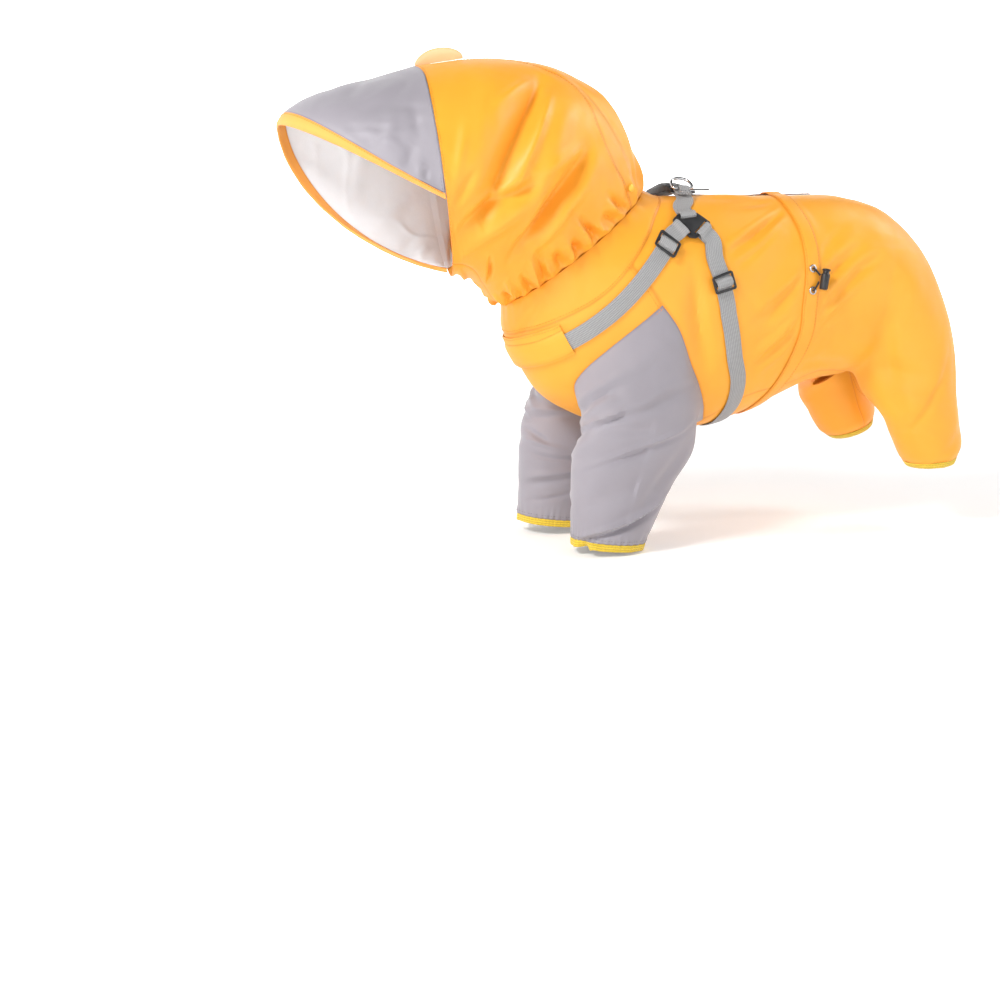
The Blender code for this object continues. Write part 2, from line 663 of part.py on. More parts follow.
def cut_panel(outline, metric, step, extra=None):
    """Triangles over the inside of an outline; the outline's points come first."""
    metric = np.array(metric)
    border = outline * metric
    low, high = border.min(axis=0), border.max(axis=0)
    rows = []
    for number, y in enumerate(np.arange(low[1] + step / 3, high[1], step * math.sqrt(0.75))):
        x = np.arange(low[0] + (0.25 + 0.5 * (number % 2)) * step, high[0], step)
        rows.append(np.stack([x, np.full(len(x), y)], 1))
    inner = np.concatenate(rows)
    if extra is not None:
        dense = extra * metric
        apart = np.linalg.norm(inner[:, None] - dense[None], axis=-1).min(axis=1) > 0.7 * step
        inner = np.concatenate([inner[apart], dense])
        room = np.where(np.arange(len(inner)) < apart.sum(), 0.6 * step, 5.0)
    else:
        room = np.full(len(inner), 0.6 * step)
    inner = inner[inside_outline(inner, border) & (from_outline(inner, border) > room)]
    everything = [Vector(p) for p in np.concatenate([border, inner])]
    found = delaunay_2d_cdt(everything, [], [list(range(len(border)))], 1, 1e-5)
    return np.array([tuple(p) for p in found[0]]) / metric, [list(face) for face in found[2]]


def pulled_in(points, normals, count, closure, gap):
    """Move the first count points, an outline in order, into the panel by half a seam gap."""
    moved = points.copy()
    ring = points[:count]
    ahead = unit(np.roll(ring, -1, axis=0) - ring)
    behind = np.roll(ahead, 1, axis=0)
    side_ahead = np.cross(normals[:count], ahead)
    side_behind = np.cross(normals[:count], behind)
    middle = unit(side_ahead + side_behind)
    widen = np.maximum((middle * unit(side_ahead)).sum(axis=1), 0.4)
    shift = middle * (0.5 * gap / widen)[:, None]
    shift[closure[:count]] = 0
    moved[:count] += shift
    return moved


def panel(name, surface, outline, colour, step=PANEL_STEP, metric=None, shared=None, closure=None,
          lift=None, thick=CLOTH, gap=SEAM_GAP, extra=None):
    """A cut piece: a wall over the inside of an outline on a surface."""
    metric = surface.metric if metric is None else np.array(metric)
    places, faces = cut_panel(outline, metric, step, extra)
    raised = 0.0 if lift is None else lift(places[:, 0], places[:, 1])
    points = surface.point(places[:, 0], places[:, 1], raised)
    normals = surface.normal(places[:, 0], places[:, 1])
    count = len(outline)
    area = np.sum(outline[:, 0] * np.roll(outline[:, 1], -1) - outline[:, 1] * np.roll(outline[:, 0], -1))
    flip = -surface.facing * np.sign(area)
    closed_at = np.zeros(len(points), bool) if closure is None else closure(places[:, 0], places[:, 1])
    points = pulled_in(points, normals * flip, count, closed_at, gap)
    if shared:
        for index in range(count):
            key = (round(places[index, 0], 3), round(places[index, 1], 3))
            if key in shared:
                normals[index] = shared[key]
    return wall(name, points, normals, faces, thick, colour)


def mean_normals(lines, first, second):
    """At a seam between two surfaces, the direction halfway between their normals."""
    halfway = unit(first + second)
    return {(round(p[0], 3), round(p[1], 3)): n for p, n in zip(lines, halfway)}


# ---------------------------------------------------------------- hood

def build_hood():
    """The hood's left, right and crown pieces, gathered into the neck seam."""
    def neck(start, end):
        count = int(round(abs(end - start) / NECK_STEP))
        return np.stack([np.zeros(count + 1), np.linspace(start, end, count + 1)], 1)

    def face(start, end):
        count = int(round(abs(end - start) / FACE_STEP))
        return np.stack([np.full(count + 1, FACE_RING), np.linspace(start, end, count + 1)], 1)

    def puffs(start, end):
        rows = []
        for number, ring in enumerate(PUFF_RINGS):
            angles = np.arange(start + 3 + 3 * (number % 2), end - 2, PUFF_STEP)
            rows.append(np.stack([np.full(len(angles), ring), angles], 1))
        return np.concatenate(rows)

    crown_left = seam(CROWN_SEAM, metric=HOOD.metric)
    crown_right = crown_left * np.array([1, -1])
    throat = np.stack([np.linspace(0, FACE_RING, 7), np.full(7, 180.0)], 1)
    left = outline_of(neck(50, 180), throat, face(180, 25), crown_left[::-1])
    right = outline_of(neck(-50, -180), throat * np.array([1, -1]), face(-180, -25), crown_right[::-1])
    crown = outline_of(neck(-50, 50), crown_left, face(25, -25), crown_right[::-1])
    shared = neck_normals()
    panel("hood_left", HOOD, left, ORANGE, step=HOOD_STEP, shared=shared, extra=puffs(50, 180))
    panel("hood_right", HOOD, right, ORANGE, step=HOOD_STEP, shared=shared, extra=puffs(-180, -50))
    panel("hood_crown", HOOD, crown, ORANGE, step=HOOD_STEP, shared=shared, extra=puffs(-50, 50))


def neck_normals():
    """The direction that the hood's and collar's edges share round the neck."""
    angles = np.arange(-180, 181, 2.0)
    rings = np.zeros(len(angles))
    hood = HOOD.normal(rings + 0.03, angles)
    collar = TORSO.normal(rings + 0.03, angles % 360)
    lines = np.stack([rings, angles], 1)
    return mean_normals(lines, hood, collar)


def brim_edge(across):
    """The brim's free edge: across runs from -1 on the right to 1 on the left."""
    ring = HOOD_RINGS[-1]
    forward, sideways, up = hood_axes(ring.pitch, ring.yaw, ring.roll)
    half_turn = math.radians(BRIM_HALF_TURN)
    size = np.abs(across)
    ahead = BRIM_LENGTH * (1 - size ** BRIM_TIP_ROUNDING)
    beside = ring.half_width * math.sin(half_turn) * across * (1 + BRIM_SIDE_FLARE * (1 - size ** 2))
    low = ring.half_height * math.cos(half_turn)
    height = low + (BRIM_TIP_HEIGHT - low) * (1 - size ** BRIM_RISE_ROUNDING)
    centre = np.array([ring.x, ring.y, ring.z])
    return centre + ahead[:, None] * forward + beside[:, None] * sideways + height[:, None] * up


def brim_point(across, out, drop=0.0):
    """A point of the brim: out runs from 0 at the face edge to 1 at the free edge."""
    across, out = np.broadcast_arrays(np.asarray(across, float), np.asarray(out, float))
    shape = across.shape
    flat_across, flat_out = across.ravel(), out.ravel()
    face = hood_shape(np.full(flat_across.shape, FACE_RING), flat_across * BRIM_HALF_TURN)
    free = brim_edge(flat_across)
    ring = HOOD_RINGS[-1]
    outward = unit(face - np.array([ring.x, ring.y, ring.z]))
    rounded = np.clip(flat_out, 0, 1) ** 1.5 * np.clip(1 - flat_out, 0, 1) ** 0.5
    bulge = BRIM_CROWNING * 3 * rounded * (1 - np.abs(flat_across) ** 3)
    points = face + (free - face) * flat_out[:, None] + outward * bulge[:, None]
    return points.reshape(shape + (3,))


def brim_normal(across, out):
    """The brim's outward normal."""
    step = 0.01
    run = brim_point(across, out + step) - brim_point(across, out - step)
    turn = brim_point(across + step, out) - brim_point(across - step, out)
    return unit(np.cross(run, turn))


def build_brim():
    """Outer cloth, silver lining and the binding that wraps their free edge."""
    spread = np.sin(np.linspace(-1, 1, BRIM_COLUMNS) * math.radians(BRIM_SPREAD))
    stations = spread / math.sin(math.radians(BRIM_SPREAD)) * BRIM_REACH
    face_side = brim_point(stations, np.zeros(BRIM_COLUMNS))
    depth = np.linalg.norm(brim_edge(stations) - face_side, axis=1)
    inner_end = 1 - (BRIM_BINDING + SEAM_GAP) / depth
    under = LINING_CLOTH + BRIM_LAYER_GAP
    for name, lower, rim, colour in (("brim_outer", 0.0, BRIM_RIM_GAP, GREY),
                                     ("brim_lining", under, LINING_RIM_GAP, SILVER_CLOTH)):
        rim_gap = rim / depth
        points, normals = [], []
        rows = 5
        for row in range(rows):
            out = rim_gap + (inner_end - rim_gap) * row / (rows - 1)
            direction = brim_normal(stations, out)
            points.append(brim_point(stations, out) - direction * lower)
            normals.append(direction)
        wall(name, np.concatenate(points), np.concatenate(normals), grid_faces(rows, len(stations)),
             LINING_CLOTH, colour)
    points, normals = [], []
    for row, inward in enumerate((BRIM_BINDING, BRIM_BINDING / 2, 0.0)):
        out = 1 - inward / depth
        direction = brim_normal(stations, out)
        points.append(brim_point(stations, out))
        normals.append(direction)
    wall("brim_binding", np.concatenate(points), np.concatenate(normals),
         grid_faces(3, len(stations)), LINING_CLOTH + under + 1.0, ORANGE, outside=0.5)


def build_ears():
    """A flat half-round ear in each crown seam, near the face."""
    table = np.array(CROWN_SEAM)
    for side, name in ((1, "ear_left"), (-1, "ear_right")):
        middle = EAR_MIDDLE_RING
        angle = np.interp(middle, table[:, 0], table[:, 1]) * side
        ends = HOOD.point(np.array([middle - 0.1, middle + 0.1]), np.array([angle, angle]))
        per_mm = 0.2 / np.linalg.norm(ends[1] - ends[0])
        along = np.linspace(-0.97, 0.97, 15) * EAR_HALF_CHORD
        rings = middle + along * per_mm
        angles = np.interp(rings, table[:, 0], table[:, 1]) * side
        base = HOOD.point(rings, angles, 1.6)
        upward = HOOD.normal(np.array([middle]), np.array([angle]))[0]
        forward = unit(ends[1] - ends[0])
        outward = np.cross(forward, upward) * side
        rise = unit(upward - EAR_LEAN * outward)
        height = EAR_HEIGHT * np.sqrt(1 - (along / EAR_HALF_CHORD) ** 2)
        points, normals = [], []
        for row in range(4):
            points.append(base + rise * (height * row / 3)[:, None])
            normals.append(np.repeat(unit(np.cross(forward, rise))[None], len(along), axis=0))
        wall(name, np.concatenate(points), np.concatenate(normals), grid_faces(4, len(along)),
             EAR_THICK, PEACH, outside=EAR_THICK / 2)


# ---------------------------------------------------------------- body panels

def collar_ring(angles):
    """The collar seam's ring number at each angle."""
    table = np.array(COLLAR_SEAM)
    fine = along_table(table, np.linspace(0, len(table) - 1, 400))
    folded = np.where(angles > 180, 360 - angles, angles)
    return np.interp(folded, fine[:, 1], fine[:, 0])


def collar_line(start, end):
    """Points of the collar seam at 7.5 degree steps."""
    angles = np.linspace(start, end, int(round(abs(end - start) / 7.5)) + 1)
    return np.stack([collar_ring(angles), angles], 1)


def waist_ring(angles):
    """The casing's front edge at each angle, as a ring number."""
    table = np.array(WAIST_EDGE)
    fine = along_table(table, np.linspace(0, len(table) - 1, 400))
    folded = np.where(angles > 180, 360 - angles, angles)
    return np.interp(folded, fine[:, 1], fine[:, 0])


def waist_seam(start, end):
    """The seam that the casing covers."""
    count = int(round(abs(end - start) / 10.0))
    angles = np.linspace(start, end, count + 1)
    return np.stack([waist_ring(angles) + WAIST_SEAM_BEHIND_EDGE, angles], 1)


def armhole_seams():
    """The armhole's front and rear lines, with the sleeve's turn at each point."""
    front = seam(ARMHOLE_FRONT, count=ARMHOLE_FRONT_STEPS)
    rear = seam(ARMHOLE_REAR, count=ARMHOLE_REAR_STEPS)
    return front, rear


def build_collar():
    """The band between the hood's gathers and the body's panels."""
    columns = 48
    angles = np.arange(columns) * 360.0 / columns
    rows = 3
    points, normals = [], []
    for row in range(rows):
        part = row / (rows - 1)
        rings = collar_ring(angles) * part
        place = TORSO.point(rings, angles)
        direction = TORSO.normal(np.maximum(rings, 0.03), angles)
        points.append(place)
        normals.append(direction)
    hood = HOOD.normal(np.full(columns, 0.03), angles)
    toward = unit(points[1] - points[0])
    points[0] = points[0] + toward * SEAM_GAP / 2
    normals[0] = unit(hood + normals[0])
    back = unit(points[-2] - points[-1])
    points[-1] = points[-1] + back * SEAM_GAP / 2
    wall("collar", np.concatenate(points), np.concatenate(normals),
         grid_faces(rows, columns, closed=True), CLOTH, ORANGE)


def build_body(sleeve_edge):
    """Chest, two sides, belly and two rear pieces."""
    front, rear = armhole_seams()
    raglan = seam(RAGLAN_SEAM)
    belly_front = seam(BELLY_SEAM_FRONT)
    belly_rear = seam(BELLY_SEAM_REAR)
    breast = np.array([(6.55, 156.0), (6.55, 168.0), (6.55, 180.0), (6.55, 192.0), (6.55, 204.0)])

    chest = outline_of(collar_line(RAGLAN_ANGLE, 360 - RAGLAN_ANGLE), to_right(raglan), to_right(front),
                       breast[::-1], front[::-1], raglan[::-1])
    shared = dict(sleeve_edge[1])
    shared.update({(key[0], round(360 - key[1], 3)): n for key, n in sleeve_edge[-1].items()})
    panel("chest_panel", TORSO, chest, ORANGE, shared=shared)

    belly_end = np.array([(11.4, 166.0), (11.4, 173.0), (11.4, 180.0), (11.4, 187.0), (11.4, 194.0)])
    belly = outline_of(breast, to_right(belly_front), to_right(belly_rear), belly_end[::-1],
                       belly_rear[::-1], belly_front[::-1])
    panel("belly_panel", TORSO, belly, ORANGE)

    for side, word in ((1, "left"), (-1, "right")):
        back_front = seam([(waist_seam(0, 10)[0][0], 0.0), (1.2, 0.0)])
        outline = outline_of(collar_line(0, RAGLAN_ANGLE), raglan, rear[::-1], belly_front,
                             waist_seam(142, 0), back_front)
        panel("side_" + word, BODY[side], outline, ORANGE, shared=sleeve_edge[side])
        build_rear("rear_" + word, side, belly_rear)


def dorsal_angle(ring):
    """The angle that keeps the back seam on the middle plane as the leg rings move outwards."""
    row = along_table(BODY_RINGS, ring)
    leg = smooth_step((ring - HIP_RING) / (THIGH_RING - HIP_RING))
    sine = np.clip(HIND_LEG_OFF_CENTRE * leg / row[..., 4], 0, 1)
    return -np.degrees(np.arcsin(sine ** (row[..., 6] / 2)))


def build_rear(name, side, belly_rear):
    """The rear of one side with its hind leg, cut in one; the legs stay open between them."""
    lower = seam(OPENING_LOWER)
    tail_angle = float(dorsal_angle(np.array(TAIL_RING)))
    upper = seam(OPENING_UPPER + [(TAIL_RING, tail_angle)])
    legs = np.linspace(THIGH_RING, HIND_CUFF_RING, 6)
    inner_down = np.stack([legs, np.full(6, 270.0)], 1)
    cuff_angles = np.linspace(270, -90, CUFF_COLUMNS + 1)
    cuff = np.stack([np.full(CUFF_COLUMNS + 1, HIND_CUFF_RING), cuff_angles], 1)
    inner_up = np.stack([legs[::-1], np.full(6, -90.0)], 1)
    start = waist_seam(0, 10)[0][0]
    back = np.linspace(TAIL_RING, start, 12)
    dorsal = np.stack([back, dorsal_angle(back)], 1)
    dorsal[np.abs(dorsal[:, 1]) < 1e-9, 1] = 0.0
    outline = outline_of(waist_seam(0, 142), belly_rear, lower, inner_down, cuff, inner_up, upper, dorsal)

    def closure(rings, angles):
        on_leg = rings > THIGH_RING - 1e-3
        meeting = (np.abs(angles - 270) < 1e-2) | (np.abs(angles + 90) < 1e-2)
        return on_leg & meeting

    panel(name, BODY[side], outline, ORANGE, closure=closure)


# ---------------------------------------------------------------- sleeves and cuffs

def sleeve_surface(side):
    """A sleeve as a surface: ring 0 is the armhole, and rings 1 to 5 go down the leg."""
    front, rear = armhole_seams()
    loop = np.concatenate([front[:-1], rear])
    turns = loop[:, 2]

    def shape(ring, turn):
        ring, turn = np.broadcast_arrays(np.asarray(ring, float), np.asarray(turn, float))
        within = np.mod(turn, 360.0)
        at = np.stack([np.interp(within, turns, loop[:, 0]), np.interp(within, turns, loop[:, 1])], -1)
        lines = [BODY[side].shape(at[..., 0], at[..., 1])]
        angle = np.radians(within)
        for row in SLEEVE_RINGS:
            along = -row.half_length * np.sin(angle)
            forward = 0.0 if side > 0 else RIGHT_SLEEVE_FORWARD
            lift = 0.0 if side > 0 else RIGHT_SLEEVE_LIFT
            lines.append(np.stack([row.x - forward + along,
                                   -side * (row.y + row.half_width * np.cos(angle)),
                                   row.z + lift - row.rear_drop * along / row.half_length
                                   - row.inner_drop * 0.5 * (1 - np.cos(angle))], -1))
        lines = np.stack(lines)
        last = len(lines) - 1
        over = ring - np.clip(ring, 0, last)
        ring = np.clip(ring, 0, last)
        lower = np.minimum(ring.astype(int), last - 1)
        part = (ring - lower)[..., None]

        def pick(index):
            return np.take_along_axis(lines, np.clip(index, 0, last)[None, ..., None], axis=0)[0]

        here, after = pick(lower), pick(lower + 1)
        before = np.where((lower == 0)[..., None], 2 * here - after, pick(lower - 1))
        beyond = np.where((lower == last - 1)[..., None], 2 * after - here, pick(lower + 2))
        point = 0.5 * (2 * here + (after - before) * part
                       + (2 * before - 5 * here + 4 * after - beyond) * part ** 2
                       + (3 * here - before - 3 * after + beyond) * part ** 3)
        return point + (after - here) * over[..., None]

    return Surface(shape, SLEEVE_FOLDS, 36.0, 0.9, side)


def build_sleeves():
    """Both sleeves and their cuffs; gives the normals that the armhole edges share."""
    shared = {}
    front, rear = armhole_seams()
    loop = np.concatenate([front[:-1], rear[:-1]])
    for side, word in ((1, "left"), (-1, "right")):
        surface = sleeve_surface(side)
        turns = loop[:, 2]
        body_normal = BODY[side].normal(loop[:, 0], loop[:, 1])
        sleeve_normal = surface.normal(np.full(len(turns), 0.06), turns)
        edge = unit(body_normal + sleeve_normal)
        shared[side] = {(round(p[0], 3), round(p[1], 3)): n for p, n in zip(loop, edge)}
        levels = (0, 0.35, 0.75, 1.15, 1.6, 2.05, 2.5, 3.0, 3.5, 4.2, SLEEVE_END)
        points, normals = [], []
        for level in levels:
            ring = np.full(len(turns), float(level))
            points.append(surface.point(ring, turns) if level else BODY[side].point(loop[:, 0], loop[:, 1]))
            normals.append(surface.normal(np.maximum(ring, 0.06), turns))
        normals[0] = edge
        points[0] = points[0] + unit(points[1] - points[0]) * SEAM_GAP / 2
        points[-1] = points[-1] - unit(points[-1] - points[-2]) * SEAM_GAP / 2
        wall("sleeve_" + word, np.concatenate(points), np.concatenate(normals),
             grid_faces(len(levels), len(turns), closed=True), CLOTH, GREY)
        build_cuff("cuff_front_" + word, surface, SLEEVE_END)
    return shared


def build_cuff(name, surface, ring):
    """A narrow elastic band below the last ring of a leg."""
    angles = np.arange(CUFF_COLUMNS) * 360.0 / CUFF_COLUMNS
    end = surface.point(np.full(len(angles), ring), angles)
    above = surface.point(np.full(len(angles), ring - 0.2), angles)
    normal = surface.normal(np.full(len(angles), ring - 0.02), angles)
    down = unit(end - above)
    points = []
    for part in (0.0, 1.0):
        points.append(end + down * (SEAM_GAP / 2 + CUFF_HEIGHT * part))
    wall(name, np.concatenate(points), np.tile(normal, (2, 1)),
         grid_faces(2, len(angles), closed=True), CUFF_WALL, YELLOW, outside=0.3)


def build_hind_cuffs():
    """The cuffs of the two hind legs."""
    for side, word in ((1, "left"), (-1, "right")):
        build_cuff("cuff_hind_" + word, BODY[side], HIND_CUFF_RING - 1e-6)


# ---------------------------------------------------------------- bands and hardware

def smooth_path(surface, table, count):
    """Ring and angle at even steps along a smooth path through a table's places on a surface."""
    corners = surface.shape(table[:, 0], table[:, 1])
    gaps = np.linalg.norm(np.diff(corners, axis=0), axis=1)
    knots = np.concatenate([[0], np.cumsum(gaps)])
    slopes = np.diff(table, axis=0) / gaps[:, None]
    before, after = gaps[:-1, None], gaps[1:, None]
    inner = (before * slopes[1:] + after * slopes[:-1]) / (before + after)
    headings = np.concatenate([slopes[:1], inner, slopes[-1:]])
    where = np.linspace(0, knots[-1], count)
    part = np.clip(np.searchsorted(knots, where, side="right") - 1, 0, len(gaps) - 1)
    gap = gaps[part][:, None]
    along = (where - knots[part])[:, None] / gap
    start, end = table[part], table[part + 1]
    leave, arrive = headings[part] * gap, headings[part + 1] * gap
    rise = along ** 2 * (3 - 2 * along)
    return (start + (end - start) * rise + leave * along * (1 - along) ** 2
            - arrive * along ** 2 * (1 - along))


class Strip:
    """Places along, across and above a path on a surface, in mm."""

    def __init__(self, surface, path, clearance=0.0):
        table = np.array(path, float)
        fine = smooth_path(surface, table, 60 * len(table))
        self.clearance = clearance
        steps = np.linalg.norm(np.diff(surface.shape(fine[:, 0], fine[:, 1]), axis=0), axis=1)
        self.surface = surface
        self.track = fine
        self.travelled = np.concatenate([[0], np.cumsum(steps)])
        self.length = float(self.travelled[-1])

    def spot(self, along):
        """Ring and angle at each distance along, going straight on past both ends."""
        def read(where):
            return np.stack([np.interp(where, self.travelled, self.track[:, k]) for k in (0, 1)], -1)

        inside = np.clip(along, 2.0, self.length - 2.0)
        slope = (read(inside + 2.0) - read(inside - 2.0)) / 4.0
        return read(inside) + slope * (along - inside)[..., None], slope

    def flat(self, along, across):
        """Ring and angle at places along and across, walked over the surface in four steps."""
        along, across = np.broadcast_arrays(np.asarray(along, float), np.asarray(across, float))
        spot, slope = self.spot(along)
        shape = self.surface.shape
        beside = None
        for _ in range(4):
            ring, angle = spot[..., 0], spot[..., 1]
            by_ring = (shape(ring + 0.02, angle) - shape(ring - 0.02, angle)) / 0.04
            by_angle = shape(ring, angle + 0.5) - shape(ring, angle - 0.5)
            outward = unit(np.cross(by_angle, by_ring)) * self.surface.facing
            if beside is None:
                beside = np.cross(outward, unit(by_ring * slope[..., :1] + by_angle * slope[..., 1:]))
            beside = unit(beside - outward * (beside * outward).sum(-1, keepdims=True))
            ring_ring = (by_ring * by_ring).sum(-1)
            ring_angle = (by_ring * by_angle).sum(-1)
            angle_angle = (by_angle * by_angle).sum(-1)
            beside_ring = (beside * by_ring).sum(-1)
            beside_angle = (beside * by_angle).sum(-1)
            area = ring_ring * angle_angle - ring_angle ** 2
            across_ring = (beside_ring * angle_angle - beside_angle * ring_angle) / area
            across_angle = (beside_angle * ring_ring - beside_ring * ring_angle) / area
            spot = spot + np.stack([across_ring, across_angle], -1) * (0.25 * across)[..., None]
        return spot

    def place(self, along, across, height):
        """Points at places along, across and above the cloth."""
        along, across, height = np.broadcast_arrays(*(np.asarray(v, float) for v in (along, across, height)))
        flat = self.flat(along, across)
        return self.surface.point(flat[..., 0], flat[..., 1], height + self.clearance)

    def axes(self, along, across=0.0):
        """The directions ahead, beside and outward at one place."""
        spots = self.place(np.array([along - 1.0, along + 1.0, along, along]),
                           np.array([across, across, across - 1.0, across + 1.0]), np.zeros(4))
        ahead = unit(spots[1] - spots[0])
        outward = unit(np.cross(ahead, spots[3] - spots[2]))
        return ahead, np.cross(outward, ahead), outward


def ribbon(name, strip, route, width=WEBBING_WIDTH, thick=WEBBING_THICK, colour=WEBBING, across=0.0,
           step=14.0, columns=2):
    """A flat band whose middle goes through places along and above its strip."""
    route = np.array(route, float)
    parts = [route[:1]]
    for start, end in zip(route, route[1:]):
        count = max(1, int(math.ceil(abs(end[0] - start[0]) / step)))
        parts.append(start + (end - start) * (np.arange(1, count + 1) / count)[:, None])
    route = np.concatenate(parts)
    run = unit(np.diff(route, axis=0))
    before = np.concatenate([run[:1], run])
    after = np.concatenate([run, run[-1:]])
    heading = unit(before + after)
    widen = 1 / np.clip((heading * after).sum(axis=1), 0.6, 1)
    upward = np.stack([-heading[:, 1], heading[:, 0]], 1) * widen[:, None]
    sides = np.linspace(-0.5, 0.5, columns)
    corners = []
    for layer, order in ((-0.5, sides), (0.5, sides[::-1])):
        at = route + upward * (layer * thick)
        corners += [strip.place(at[:, 0], across + side * width, at[:, 1]) for side in order]
    points = np.stack(corners, 1).reshape(-1, 3)
    loop = 2 * columns
    faces = grid_faces(len(route), loop, closed=True)
    for first in (0, len(points) - loop):
        for low in range(columns - 1):
            high = loop - 1 - low
            faces.append([first + low, first + low + 1, first + high - 1, first + high])
    return add_piece(name, mesh_from(name, points, faces), colour)


def box_outline(low_along, high_along, half_width):
    """The corners of a rectangle, along and across."""
    return [(low_along, -half_width), (high_along, -half_width), (high_along, half_width),
            (low_along, half_width)]


def plate(name, strip, outline, holes, low, high, inner=(), colour=BLACK, **finish):
    """A part with holes, cut to an outline along and across, between two heights."""
    loops = [np.array(loop, float) for loop in [outline] + list(holes)]
    corners = np.concatenate(loops + [np.array(inner, float).reshape(-1, 2)])
    edges = []
    first = 0
    for loop in loops:
        count = len(loop)
        edges += [(first + i, first + (i + 1) % count) for i in range(count)]
        first += count
    found = delaunay_2d_cdt([Vector(p) for p in corners], edges, [], 0, 1e-5)
    flat = np.array([tuple(p) for p in found[0]])
    centres = np.array([flat[list(face)].mean(axis=0) for face in found[2]])
    keep = inside_outline(centres, loops[0])
    for hole in loops[1:]:
        keep &= ~inside_outline(centres, hole)
    faces = [list(face) for face, kept in zip(found[2], keep) if kept]
    top = high(flat[:, 0], flat[:, 1]) if callable(high) else np.full(len(flat), high)
    outer = strip.place(flat[:, 0], flat[:, 1], top)
    lower = strip.place(flat[:, 0], flat[:, 1], np.full(len(flat), low))
    return between(name, outer, lower, faces, colour, **finish)


def turned(name, base, axis, profile, colour, sides=12, ring=False, **finish):
    """A body of revolution: profile rows are distance along the axis and radius."""
    axis = unit(np.asarray(axis, float))
    aside = unit(np.cross(axis, np.array([0.31, 0.22, 0.92])))
    other = np.cross(axis, aside)
    turn = np.radians(np.arange(sides) * 360.0 / sides)
    spokes = np.cos(turn)[:, None] * aside + np.sin(turn)[:, None] * other
    points = np.concatenate([base + axis * along + spokes * radius for along, radius in profile])
    faces = grid_faces(len(profile), sides, closed=True)
    last = (len(profile) - 1) * sides
    if ring:
        faces += [[last + i, last + (i + 1) % sides, (i + 1) % sides, i] for i in range(sides)]
    else:
        faces += [list(range(sides))[::-1], [last + i for i in range(sides)]]
    return add_piece(name, mesh_from(name, points, faces), colour, **finish)


def rod(name, points_mm, diameter, colour, cyclic=False, origin=(0.0, 0.0, 0.0), **finish):
    """A round rod or cord along points."""
    curve = bpy.data.curves.new(name, "CURVE")
    curve.dimensions = "3D"
    curve.bevel_depth = 0.5 * diameter * MM
    curve.bevel_resolution = 2
    curve.use_fill_caps = not cyclic
    spline = curve.splines.new("POLY")
    spline.points.add(len(points_mm) - 1)
    spline.use_cyclic_u = cyclic
    for target, point in zip(spline.points, points_mm):
        target.co = (*((np.asarray(point) - np.asarray(origin)) * MM), 1.0)
    piece = bpy.data.objects.new(name, curve)
    piece.location = Vector(origin) * MM
    finish = finish_of(name, colour, finish.get("roughness", 0.5), finish.get("metallic", 0.0))
    curve.materials.append(finish)
    COLLECTION.objects.link(piece)
    return piece


# ---------------------------------------------------------------- harness

def junction_strip(side):
    """A strip through a junction plate's middle, going rearwards."""
    ring, angle = JUNCTION_PLACE
    angle = angle if side > 0 else 360 - angle
    strip = Strip(TORSO, [(ring - 1.0, angle), (ring, angle), (ring + 1.0, angle)], HARNESS_CLEARANCE)
    middle = float(np.interp(ring, strip.track[:, 0], strip.travelled))
    return strip, middle


def strap_start(slot):
    """Ring and angle at a slot's middle and a little way out along its strap, on the left."""
    strip, middle = junction_strip(1)
    heading = math.radians(slot.heading)
    rows = []
    for out in STRAP_START:
        along = middle + slot.rearward + out * math.cos(heading)
        flat = strip.flat(along, slot.up + out * math.sin(heading))
        rows.append((float(flat[0]), float(flat[1])))
    return rows


def round_strip(slot, table, low):
    """A strip from the left junction plate under the body to the right one."""
    left = strap_start(slot) + table
    right = [(ring, 360 - angle) for ring, angle in left[::-1]]
    return Strip(TORSO, left + [low] + right, HARNESS_CLEARANCE)


def top_strip():
    """A strip from the left junction plate over the withers to the right one."""
    start = strap_start(TOP_SLOT)
    other = [(ring, -angle) for ring, angle in start[::-1]]
    return Strip(TORSO, start + TOP_STRAP + other, HARNESS_CLEARANCE)


def doubled_end(slide_along):
    """A strap from under its slide to the plate, back on top and down through the slide."""
    between_ends = np.linspace(slide_along - 1.5, 9.0, int(slide_along / DOUBLED_STEP))
    route = [(along, STRAP_LAYER) for along in between_ends]
    route += BAR_LOOP[::-1]
    route += [(along, UPPER_LAYER) for along in between_ends[::-1] if 9.5 < along < slide_along - 8.0]
    route += [(slide_along + along, height) for along, height in SLIDE_WEAVE]
    return route


def build_round_strap(name, strip, slide_along):
    """A strap that is doubled at both ends, with its two slides."""
    end = doubled_end(slide_along)
    route = end + [(strip.length - along, height) for along, height in end[::-1]]
    ribbon(name, strip, route)
    for word, middle in (("left", slide_along), ("right", strip.length - slide_along)):
        long_side, wide = SLIDE_HALF_LENGTH, SLIDE_HALF_WIDTH
        corner = SLIDE_CORNER
        outline = [(-long_side + corner, -wide), (long_side - corner, -wide), (long_side, -wide + corner),
                   (long_side, wide - corner), (long_side - corner, wide), (-long_side + corner, wide),
                   (-long_side, wide - corner), (-long_side, -wide + corner)]
        outline = [(middle + along, across) for along, across in outline]
        inside = long_side - SLIDE_END_BAR
        holes = [box_outline(middle - inside, middle - SLIDE_BAR, SLOT_HALF_LENGTH),
                 box_outline(middle + SLIDE_BAR, middle + inside, SLOT_HALF_LENGTH)]
        plate(name.replace("strap", "slide_") + word, strip, outline, holes, SLIDE_LOW, SLIDE_HIGH,
              roughness=0.4)


